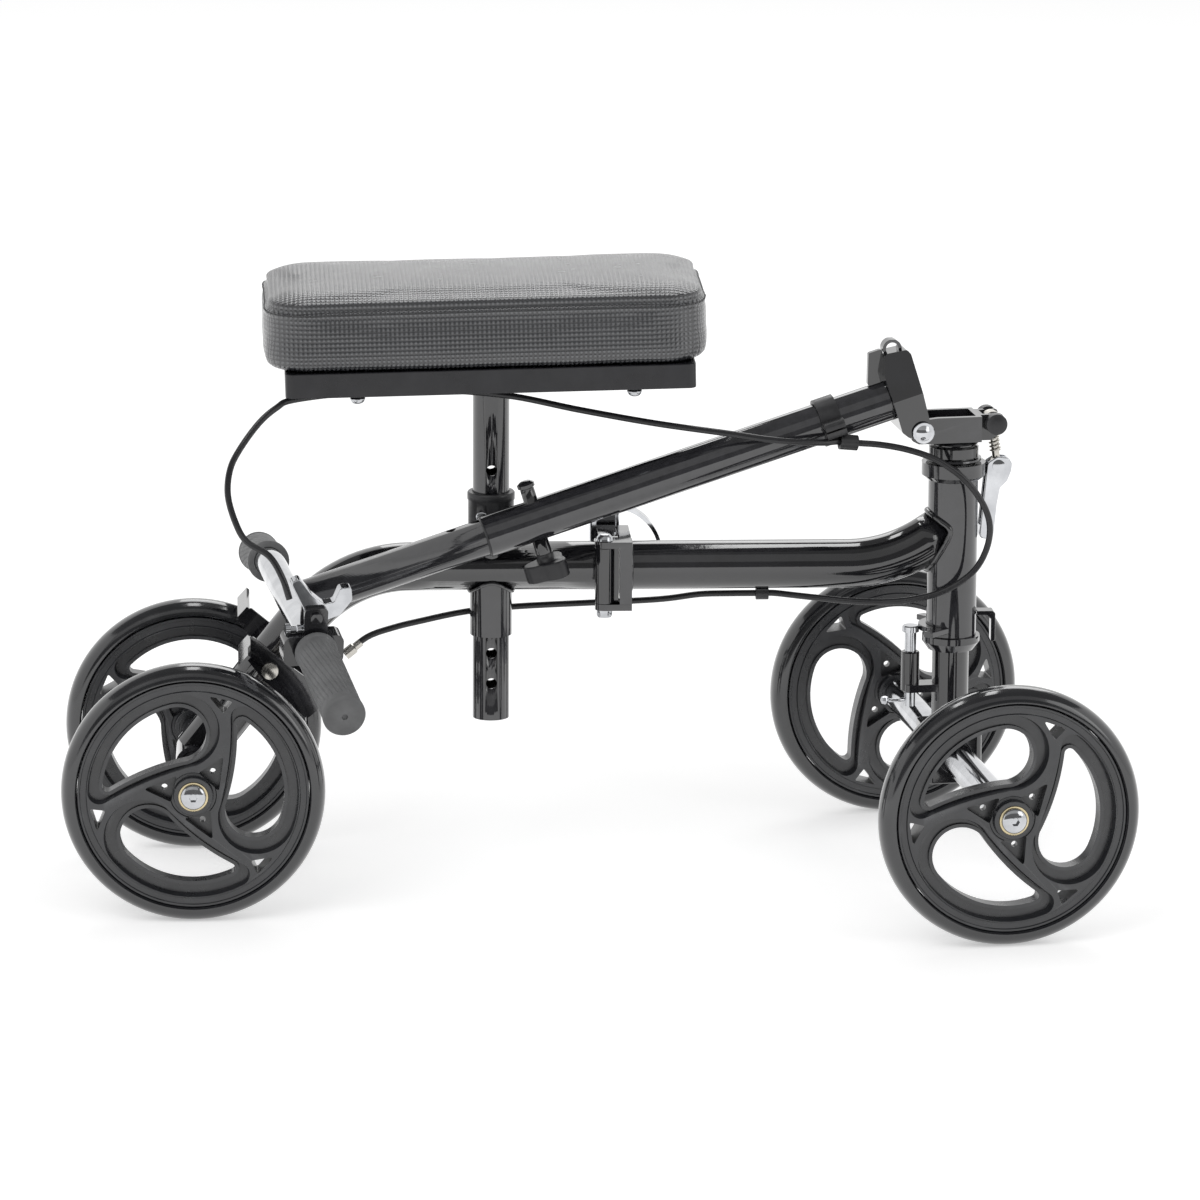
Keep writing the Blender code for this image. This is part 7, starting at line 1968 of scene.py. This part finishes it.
def swell(item):
    """Puff the padding like a filled bag, holding each point near where it was."""
    before = [v.co.copy() for v in item.data.vertices]
    group = item.vertex_groups.new(name="held")
    for index, spot in enumerate(before):
        if spot.z < PAD_HELD_BELOW:
            group.add([index], 1.0, "REPLACE")
    cloth = item.modifiers.new("cloth", "CLOTH")
    settings = cloth.settings
    settings.quality = 5
    settings.mass = 0.3
    settings.tension_stiffness = 25
    settings.compression_stiffness = 25
    settings.bending_stiffness = 1.5
    settings.use_pressure = True
    settings.uniform_pressure_force = PAD_SWELL
    settings.vertex_group_mass = "held"
    settings.effector_weights.gravity = 0.0
    cloth.point_cache.frame_start = 1
    cloth.point_cache.frame_end = PAD_CLOTH_STEPS
    scene = bpy.context.scene
    for step in range(1, PAD_CLOTH_STEPS + 1):
        scene.frame_set(step)
    applied(item)
    scene.frame_set(1)
    for vertex, old in zip(item.data.vertices, before):
        move = vertex.co - old
        if move.length > PAD_SWELL_LIMIT:
            vertex.co = old + move.normalized() * PAD_SWELL_LIMIT


def seam_path():
    """Evenly spaced points round the pad where the stitches lie, in the pad's own frame."""
    outline = even_outline(pad_ring(STITCH_INSET), STITCH_POINTS)
    return [Vector((x, y, PAD_STITCH_AT + pad_crown(x, y))) for x, y in outline]


def press_seam(item):
    """The sewn seam, a narrow groove between two raised rolls round the pad's side."""
    for vertex in item.data.vertices:
        x, y, z = vertex.co
        seat = PAD_STITCH_AT + pad_crown(x, y)
        edge = max(abs(x) - (PAD_L / 2 - PAD_SEAM_REACH), abs(y) - (PAD_W / 2 - PAD_SEAM_REACH))
        if edge < 0:
            continue
        off = (z - seat) / PAD_SEAM_HALF
        groove = math.exp(-off * off)
        rolls = math.exp(-(abs(off) - PAD_ROLL_AT) ** 2 / PAD_ROLL_WIDTH)
        out = Vector((x / PAD_L * 2, y / PAD_W * 2, 0.0))
        out = Vector((math.copysign(abs(out.x) ** 8, x), math.copysign(abs(out.y) ** 8, y), 0.25))
        vertex.co += out.normalized() * (rolls * PAD_SEAM_ROLL - groove * PAD_SEAM_DEPTH)


def ruffle(item):
    """Small folds and hand marks that padding keeps."""
    normals = [normal.vector.copy() for normal in item.data.vertex_normals]
    for vertex, normal in zip(item.data.vertices, normals):
        vertex.co += normal * noise.noise(vertex.co * PAD_RUFFLE_SCALE) * PAD_RUFFLE


def add_stitches(parent, place, pad):
    """One row of short thread stitches lying in the groove of the cover, as a single piece."""
    path = []
    for spot in seam_path():
        _, near, normal, _ = pad.closest_point_on_mesh(spot)
        path.append(near + normal * STITCH_LIFT)
    step = sum((b - a).length for a, b in zip(path, path[1:])) / len(path)
    each = max(2, round(STITCH_L / step))
    pause = max(1, round(STITCH_GAP / step))
    bm = bmesh.new()
    for start in range(0, len(path) - each, each + pause):
        points = []
        for k, spot in enumerate(path[start:start + each + 1]):
            sink = abs(k - each / 2) / (each / 2)
            out = Vector((spot.x / PAD_L, spot.y / PAD_W, 0)).normalized()
            points.append(spot + out * (STITCH_ARCH - sink ** 4 * STITCH_SINK))
        part = swept(points, STITCH_R, 0.0, 2)
        mesh = bpy.data.meshes.new("stitch")
        part.to_mesh(mesh)
        part.free()
        bm.from_mesh(mesh)
        bpy.data.meshes.remove(mesh)
    add_extra("seam_stitches", bm, parent, stitch_thread(), place, "seat_cushion", 60.0)


def add_seat_cushion(seat):
    """The padded cover, blown up a little by simulation, then sewn."""
    place = pad_place()
    pad = add_object("seat_cushion", loft(pad_rings()), seat, vinyl(), place, 80.0)
    remesh = pad.modifiers.new("even", "REMESH")
    remesh.mode = "VOXEL"
    remesh.voxel_size = PAD_VOXEL
    remesh.use_smooth_shade = True
    applied(pad)
    relax = pad.modifiers.new("relax", "SMOOTH")
    relax.factor = 0.5
    relax.iterations = 5
    applied(pad)
    pad.parent = None
    pad.matrix_world = Matrix.Identity(4)
    swell(pad)
    pad.parent = seat
    pad.matrix_local = place
    finer = pad.modifiers.new("finer", "SUBSURF")
    finer.levels = 2
    finer.render_levels = 2
    applied(pad)
    ruffle(pad)
    press_seam(pad)
    pad.data.shade_smooth()
    pad.data.materials.clear()
    pad.data.materials.append(vinyl())
    add_stitches(seat, place, pad)


# Rear brake

def yoke_points(corners):
    """Corners read from the shoe's spot on the tyre, as seen from the yoke's pivot."""
    return [(SHOE_SPOT_X + x - YOKE_X, SHOE_SPOT_Z + z - YOKE_Z) for x, z in corners]


def lug_points():
    """The lug's outline: its foot on the web, its tip round the cable's end."""
    end_x, _, end_z = CABLE_REAR[-1]
    tip = [(end_x * mm + x - YOKE_X, end_z * mm + z - YOKE_Z) for x, z in LUG_TIP]
    return yoke_points(LUG_FOOT) + tip


def add_brake_yoke(empty):
    """The rocking yoke: two side plates, the web that joins them and the two shoes over the tyres."""
    pivot = add_empty("rear_brake", empty, rear(Matrix.Translation((YOKE_X, 0, YOKE_Z))).translation)
    outline = rounded_corners(yoke_points(PLATE_CORNERS), 4 * mm, 2)
    near_plate, far_plate = [prism(outline, low, low + YOKE_T)
                             for low in (YOKE_HALF_W - YOKE_T, -YOKE_HALF_W)]
    item = add_object("brake_yoke", near_plate, pivot, gloss_black(), side_plate())
    joins = [cutter("far_plate", far_plate, pivot, side_plate())]
    inside = YOKE_HALF_W - YOKE_LAP
    web = prism(yoke_points(WEB_CORNERS), -inside, inside)
    joins.append(cutter("yoke_web", web, pivot, side_plate()))
    joins.append(cutter("cable_lug", prism(lug_points(), -LUG_RIGHT, LUG_LEFT), pivot, side_plate()))
    shoe = yoke_points(SHOE_CORNERS)
    for name, low, high in (("near", inside, SHOE_END), ("far", -SHOE_END, -inside)):
        joins.append(cutter("shoe_" + name, prism(shoe, low, high), pivot, side_plate()))
    hole = rod(YOKE_BOLT_R + SLIDE_GAP, -90 * mm, 90 * mm, SMALL_STEPS)
    finish_cuts(item, [cutter("yoke_bore", hole, pivot, axis_y())], joins)
    hole = rod(FERRULE_R - 1.4 * mm, -9 * mm, 9 * mm, 10)
    finish_cuts(item, [cutter("lug_bore", hole, pivot, ferrule_frame())])
    soften(item)
    bolt = headed_pin(YOKE_BOLT_R, 6.5 * mm, 2.5 * mm, YOKE_HALF_W + GAP, 1.2 * mm)
    spot = rear(axis_y((YOKE_X, 0, YOKE_Z)))
    add_object("brake_yoke_bolt", bolt, empty, zinc(), spot)
    return pivot


def ferrule_frame():
    """The frame at the cable's end, Z running back along the cable, from the yoke's pivot."""
    before, last = [Vector(p) * mm for p in CABLE_REAR[-2:]]
    return Matrix.Translation((-YOKE_X, 0, -YOKE_Z)) @ along(last, before)


def add_cable_ferrule(pivot):
    """The bright adjuster on the yoke's lug that the cable ends in."""
    profile = [
        (FERRULE_BORE, 0), (FERRULE_R, 0), (FERRULE_R, 9 * mm), (FERRULE_R - 1.2 * mm, 10 * mm),
        (FERRULE_R - 1.2 * mm, 16 * mm), (FERRULE_BORE, 16 * mm),
    ]
    add_object("cable_ferrule", turned(profile, 8, True), pivot, zinc(), ferrule_frame())


# Brake cable in three lengths, one on each body it runs along

def chassis_to(empty):
    """The step from the chassis frame to the frame of an empty under it."""
    bpy.context.view_layer.update()
    chain = Matrix.Identity(4)
    item = empty
    while item is not None and item.parent is not None:
        chain = item.matrix_local @ chain
        item = item.parent
    return chain.inverted()


def add_cable(name, owner, points):
    to_owner = chassis_to(owner)
    path = [to_owner @ p for p in smooth_curve([Vector(p) * mm for p in points], CABLE_STEP)]
    add_object(name, swept(path, CABLE_R, 0.0, 7), owner, cable_jacket(), None, 60.0)


# Small pieces that the model leaves out

def loop_bead(name, parent, host, path, radius, centre):
    """A weld bead along a closed path, a little uneven."""
    count = len(path)
    angles = [2 * math.pi * k / WELD_SIDES for k in range(WELD_SIDES)]
    rings = []
    for i in range(count):
        tangent = (path[(i + 1) % count] - path[i - 1]).normalized()
        side = path[i] - centre
        side = (side - tangent * side.dot(tangent)).normalized()
        up = tangent.cross(side)
        size = radius * (1.0 + WELD_UNEVEN * noise.noise(path[i] * WELD_NOISE))
        rings.append([path[i] + (side * math.cos(a) + up * math.sin(a)) * size for a in angles])
    add_extra(name, loft(rings, caps=False), parent, gloss_black(), None, host, 60.0)


def circle_path(matrix, radius):
    angles = [2 * math.pi * i / WELD_RING_POINTS for i in range(WELD_RING_POINTS)]
    return [matrix @ Vector((radius * math.cos(angle), radius * math.sin(angle), 0)) for angle in angles]


def tube_meeting(start, direction, radius, axis_x, post_radius):
    """Where a slanting tube meets an upright one: points round the slanting tube."""
    direction = direction.normalized()
    side = Vector((0, 1, 0))
    up = direction.cross(side).normalized()
    points = []
    for i in range(WELD_POINTS):
        angle = 2 * math.pi * i / WELD_POINTS
        spot = start + side * (radius * math.cos(angle)) + up * (radius * math.sin(angle))
        px, py = spot.x - axis_x, spot.y
        a = direction.x ** 2 + direction.y ** 2
        b = 2 * (px * direction.x + py * direction.y)
        c = px * px + py * py - post_radius ** 2
        root = max(0.0, b * b - 4 * a * c)
        points.append(spot + direction * ((-b - math.sqrt(root)) / (2 * a)))
    return points


def add_welds(root, rear_empty):
    """The beads where the front tube meets the head, at both hinge plates and under the sleeve."""
    rise = Vector((math.cos(FRONT_RISE), 0, math.sin(FRONT_RISE)))
    start = Vector(front_tube_path()[-2])
    meeting = tube_meeting(start, rise, FRAME_R + 0.6 * mm, FRONT_X, HEAD_R + 0.5 * mm)
    loop_bead("head_weld", root, "head_tube", meeting, 2.3 * mm, sum(meeting, Vector()) / len(meeting))
    sides = (("front", root, Matrix.Identity(4), HINGE_X + HINGE_FRONT_T, 0.8 * mm),
             ("rear", rear_empty, rear(Matrix.Identity(4)), HINGE_X - HINGE_REAR_T, -0.8 * mm))
    for name, owner, seen, face, out in sides:
        ring = circle_path(seen @ front_plate((face + out, 0, FRAME_Z)), FRAME_R + 0.8 * mm)
        centre = seen @ Vector((face, 0, FRAME_Z))
        loop_bead("hinge_weld_" + name, owner, "hinge_plate_" + name, ring, 1.5 * mm, centre)
    post_ring = []
    for i in range(WELD_POINTS):
        angle = 2 * math.pi * i / WELD_POINTS
        y = SLEEVE_R * math.sin(angle)
        z = FRAME_Z - math.sqrt(max(0.0, FRAME_R ** 2 - y * y))
        spot = Vector((POST_X + (SLEEVE_R + 0.7 * mm) * math.cos(angle), y * 1.04, z - 0.5 * mm))
        post_ring.append(rear(Matrix.Translation(spot)).translation)
    centre = sum(post_ring, Vector()) / len(post_ring)
    loop_bead("sleeve_weld", rear_empty, "seat_post_sleeve", post_ring, 1.5 * mm, centre)


def add_pivot_washer(steering):
    """The bright washer under the head of the column's pivot bolt."""
    half = FLANGE_HALF_W + 2.4 * mm
    turn = Matrix.Translation((-PIVOT_BACK, -half, PIVOT_Z)) @ Matrix.Rotation(math.pi / 2, 4, "X")
    ring = turned(in_mm((4, -0.4), (8.4, -0.4), (8.6, 0.2), (8.2, 0.6), (4, 0.6)), 14, True)
    add_extra("pivot_washer", ring, steering, chrome(), turn, "column_pivot_bolt")


def add_column_end(pivot):
    """The plastic ring in the mouth of the outer tube round the sliding mast."""
    place = column_place() @ Matrix.Translation((0, 0, COLUMN_END))
    mouth = COLUMN_R - COLUMN_WALL - GAP / 2
    ring = turned([(MAST_R + 0.25 * mm, -3 * mm), (mouth, -3 * mm), (mouth, 0.1 * mm),
                   (COLUMN_R - 0.4 * mm, 0.2 * mm), (COLUMN_R - 0.3 * mm, 0.8 * mm),
                   (COLUMN_R - 0.8 * mm, 1.5 * mm), (MAST_R + 0.4 * mm, 1.8 * mm)], 20, True)
    add_extra("column_end_ring", ring, pivot, black_plastic(), place, "column_tube")


def add_tray_screws(seat):
    """Bright domed screws over the ends of the tray's fixings."""
    base = tray_frame()
    for i, (x, y) in enumerate(TRAY_SCREWS):
        place = base @ Matrix.Translation((x, y, -2.2 * mm)) @ Matrix.Rotation(math.pi, 4, "X")
        dome = turned(TRAY_DOME, 16)
        add_extra(f"tray_dome_{i}", dome, seat, chrome(), place, "seat_tray", 50.0)


def add_locknut_hexagon(steering):
    """The six-sided nut and the lock ring that close the head bearings, under the column's saddle."""
    low = HEAD_TOP + UPPER_CUP_H + 2 * GAP
    nut = prism(hexagon(20.6 * mm), low + 4.6 * mm, low + 12 * mm)
    item = add_extra("locknut_hexagon", nut, steering, gloss_black(), Matrix.Rotation(0.25, 4, "Z"),
                     "headset_locknut")
    finish_cuts(item, [cutter("hexagon_room", rod(19.0 * mm, 0, HEAD_TOP * 2, TUBE_STEPS), steering)])
    soften(item, 0.7 * mm, 3)
    ring = turned([(17.2 * mm, low + 1.2 * mm), (21.6 * mm, low + 1.2 * mm), (22.0 * mm, low + 1.8 * mm),
                   (21.6 * mm, low + 3.2 * mm), (17.2 * mm, low + 3.4 * mm)], TUBE_STEPS, True)
    add_extra("locknut_ring", ring, steering, gloss_black(), None, "headset_locknut")


def add_collar_screw(empty):
    """The bright domed screw that closes the seat collar."""
    spot = Vector((POST_X - 8 * mm, -COLLAR_R + 0.2 * mm, COLLAR_BOTTOM + 10 * mm))
    place = rear(Matrix.Translation(spot) @ Matrix.Rotation(math.pi / 2, 4, "X"))
    socket_screw("collar_dome", empty, place, 4.4 * mm, 1.7 * mm, 2.2 * mm, 1.2 * mm, chrome())
    extras["collar_dome_piece"] = "seat_post_collar"


# The whole walker

def build_frame(root):
    add_main_tube_front(root)
    add_head_tube(root)
    add_cups(root)
    add_steering_stop(root)
    add_head_hook(root)
    add_hinge_front(root)
    add_hinge_pin(root)
    add_frame_latch(root)
    clip = front_plate((CLIP_X, 0, CLIP_Z))
    add_cable_clip("cable_clip", root, clip, FRAME_Z - FRAME_R - CLIP_Z)


def build_rear(root, rim_data):
    empty = add_empty("rear_frame", root, (HINGE_AXIS_X, HINGE_PIN_Y, 0))
    add_main_tube_rear(empty)
    add_hinge_rear(empty)
    add_sleeve_and_collar(empty)
    add_collar_screw(empty)
    add_rear_axle(empty)
    for side, name, phase in ((-1, "near", 0.0), (1, "far", REAR_FAR_PHASE)):
        spot = rear(Matrix.Translation((REAR_X, side * REAR_TRACK / 2, WHEEL_R))).translation
        add_wheel(f"rear_wheel_{name}", empty, spot, side, phase, rim_data)
    pivot = add_brake_yoke(empty)
    add_cable_ferrule(pivot)
    add_cable("brake_cable_rear", empty, CABLE_REAR)
    seat = add_empty("seat", empty, rear(Matrix.Translation((POST_X, 0, 0))).translation)
    add_seat_post(seat)
    add_seat_tray(seat)
    add_tray_screws(seat)
    add_seat_cushion(seat)
    return empty


def build_steering(root, rim_data):
    steering = add_empty("steering", root, (FRONT_X, 0, 0), (0, 0, STEER))
    add_fork(steering)
    add_front_axle(steering)
    add_locknut(steering)
    add_locknut_hexagon(steering)
    add_column_base(steering)
    add_head_pins(steering)
    add_column_latch(steering)
    add_steering_lock(steering)
    for side, name, phase in ((-1, "near", FRONT_NEAR_PHASE), (1, "far", FRONT_FAR_PHASE)):
        spot = (0, side * FRONT_TRACK / 2, WHEEL_R)
        add_wheel(f"front_wheel_{name}", steering, spot, side, phase, rim_data)
    return steering


def build_column(steering):
    tilt = (0, -(math.pi / 2 + COLUMN_DROP), 0)
    pivot = add_empty("tiller", steering, (-PIVOT_BACK, 0, PIVOT_Z), tilt)
    add_column_casting(pivot)
    add_column_tube(pivot)
    add_column_clamp(pivot)
    add_height_knob(pivot)
    add_cable("brake_cable_front", pivot, CABLE_FRONT)
    slider = add_empty("handlebar_slide", pivot)
    add_mast(slider)
    add_handlebar(slider)
    add_grip(slider, "grip_near", -1)
    add_grip(slider, "grip_far", 1)
    add_brake_lever(slider)
    add_cable("brake_cable_upper", slider, CABLE_UPPER)
    add_column_end(pivot)


def build_walker():
    root = add_empty("walker", None, root_place())
    rim_data = build_rim()
    build_frame(root)
    rear_empty = build_rear(root, rim_data)
    steering = build_steering(root, rim_data)
    build_column(steering)
    add_welds(root, rear_empty)
    add_pivot_washer(steering)


def dress():
    """Each piece rides on its node's body and stands for the node it is named after."""
    bpy.context.view_layer.update()
    guides = [item for item in bpy.data.objects if item.name.endswith("_guide")]
    for item in made:
        host = extras.get(item.name)
        node = item.name.removesuffix("_piece")
        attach(item, NODE_BODY[host or node])
        if host is None:
            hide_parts(node)
    for guide in guides:
        bpy.data.objects.remove(guide, do_unlink=True)


# Stage, light and camera

def add_camera():
    """The photograph's view: a long lens far back, a little above the level and off square."""
    back = Vector((math.sin(VIEW_TURN) * math.cos(VIEW_RISE), -math.cos(VIEW_TURN) * math.cos(VIEW_RISE),
                   math.sin(VIEW_RISE)))
    right = (-back).cross(Vector((0, 0, 1))).normalized()
    up = right.cross(-back)
    tilted_right = right * math.cos(VIEW_ROLL) + up * math.sin(VIEW_ROLL)
    tilted_up = -right * math.sin(VIEW_ROLL) + up * math.cos(VIEW_ROLL)
    place = Matrix((tilted_right, tilted_up, back)).transposed().to_4x4()
    place.translation = VIEW_TARGET + back * VIEW_DISTANCE + root_place()
    data = bpy.data.cameras.new("photo_camera")
    data.sensor_width = SENSOR
    data.sensor_fit = "HORIZONTAL"
    data.lens = VIEW_FOCAL_PIXELS * SENSOR / PHOTO_SIZE
    data.clip_end = 100.0
    camera = linked("photo_camera", data)
    camera.matrix_world = place
    bpy.context.scene.camera = camera


def seen_rays(tree, plain, shown):
    """plain where light only lands, shown where the camera, a mirror or glass looks."""
    path = tree.nodes.new("ShaderNodeLightPath")
    seen = math_of(tree, "ADD", path.outputs["Is Camera Ray"],
                   math_of(tree, "ADD", path.outputs["Is Glossy Ray"], path.outputs["Is Transmission Ray"]))
    mix = tree.nodes.new("ShaderNodeMixShader")
    tree.links.new(math_of(tree, "MINIMUM", seen, 1.0), mix.inputs["Fac"])
    tree.links.new(plain.outputs[0], mix.inputs[1])
    tree.links.new(shown.outputs[0], mix.inputs[2])
    return mix


def staged_sheet(name, corners, material_name):
    """A four-cornered sheet of the studio with an empty material, and that material's node tree."""
    mesh = bpy.data.meshes.new(name)
    mesh.from_pydata(corners, [], [(0, 1, 2, 3)])
    material = bpy.data.materials.new(material_name)
    material.use_nodes = True
    material.node_tree.nodes.clear()
    mesh.materials.append(material)
    return linked(name, mesh), material.node_tree


def surface(tree, kind, shader):
    out = tree.nodes.new(kind)
    tree.links.new(shader.outputs[0], out.inputs["Surface"])


def add_floor():
    """A pale floor that keeps the walker's shadow and shows white where nothing shades it."""
    signs = ((-1, -1), (1, -1), (1, 1), (-1, 1))
    corners = [(FLOOR_HALF * x, FLOOR_HALF * y, 0) for x, y in signs]
    floor, tree = staged_sheet("floor", corners, "pale_floor")
    plain = node_of(tree, "ShaderNodeBsdfDiffuse", Color=(FLOOR_GREY, FLOOR_GREY, FLOOR_GREY, 1.0))
    glow = node_of(tree, "ShaderNodeEmission", Strength=FLOOR_GLOW)
    lit = tree.nodes.new("ShaderNodeAddShader")
    tree.links.new(plain.outputs[0], lit.inputs[0])
    tree.links.new(glow.outputs[0], lit.inputs[1])
    surface(tree, "ShaderNodeOutputMaterial", seen_rays(tree, plain, lit))


def add_world():
    """White where it is seen or mirrored, a little lower where it only lights."""
    world = bpy.data.worlds.new("studio")
    bpy.context.scene.world = world
    world.use_nodes = True
    tree = world.node_tree
    tree.nodes.clear()
    soft, white = [node_of(tree, "ShaderNodeBackground", Color=(1.0, 1.0, 1.0, 1.0), Strength=strength)
                   for strength in (WORLD_LIGHT, WORLD_SEEN)]
    surface(tree, "ShaderNodeOutputWorld", seen_rays(tree, soft, white))


def add_lamp(name, spot, size, power):
    data = bpy.data.lights.new(name, "AREA")
    data.shape = "RECTANGLE"
    data.size, data.size_y = size
    data.energy = power
    aim = Vector(LAMP_TARGET) - Vector(spot)
    lamp = linked(name, data)
    lamp.matrix_world = Matrix.Translation(spot) @ aim.to_track_quat("-Z", "Y").to_matrix().to_4x4()


def add_card(name, low, high, level, reach=3.4, middle=0.0, half=3.6):
    """A studio card over the stage, from one height angle to another, that only mirrors see."""
    corners = []
    for angle, ends in ((low, (-half, half)), (high, (half, -half))):
        for end in ends:
            corners.append((middle + end, -reach * math.cos(angle * deg),
                            CARD_FOOT + reach * math.sin(angle * deg)))
    card, tree = staged_sheet(name, corners, name)
    glow = node_of(tree, "ShaderNodeEmission", Color=(level, level, level, 1.0), Strength=1.0)
    surface(tree, "ShaderNodeOutputMaterial", glow)
    card.visible_camera = False
    card.visible_diffuse = False
    card.visible_shadow = False
    card.visible_transmission = False


def add_studio():
    add_floor()
    add_world()
    for name, values in LAMPS.items():
        add_lamp(name, *values)
    for name, values in CARDS.items():
        add_card(name, *values)
    bpy.context.scene.view_settings.view_transform = "Standard"


add_camera()
add_studio()
build_walker()
dress()
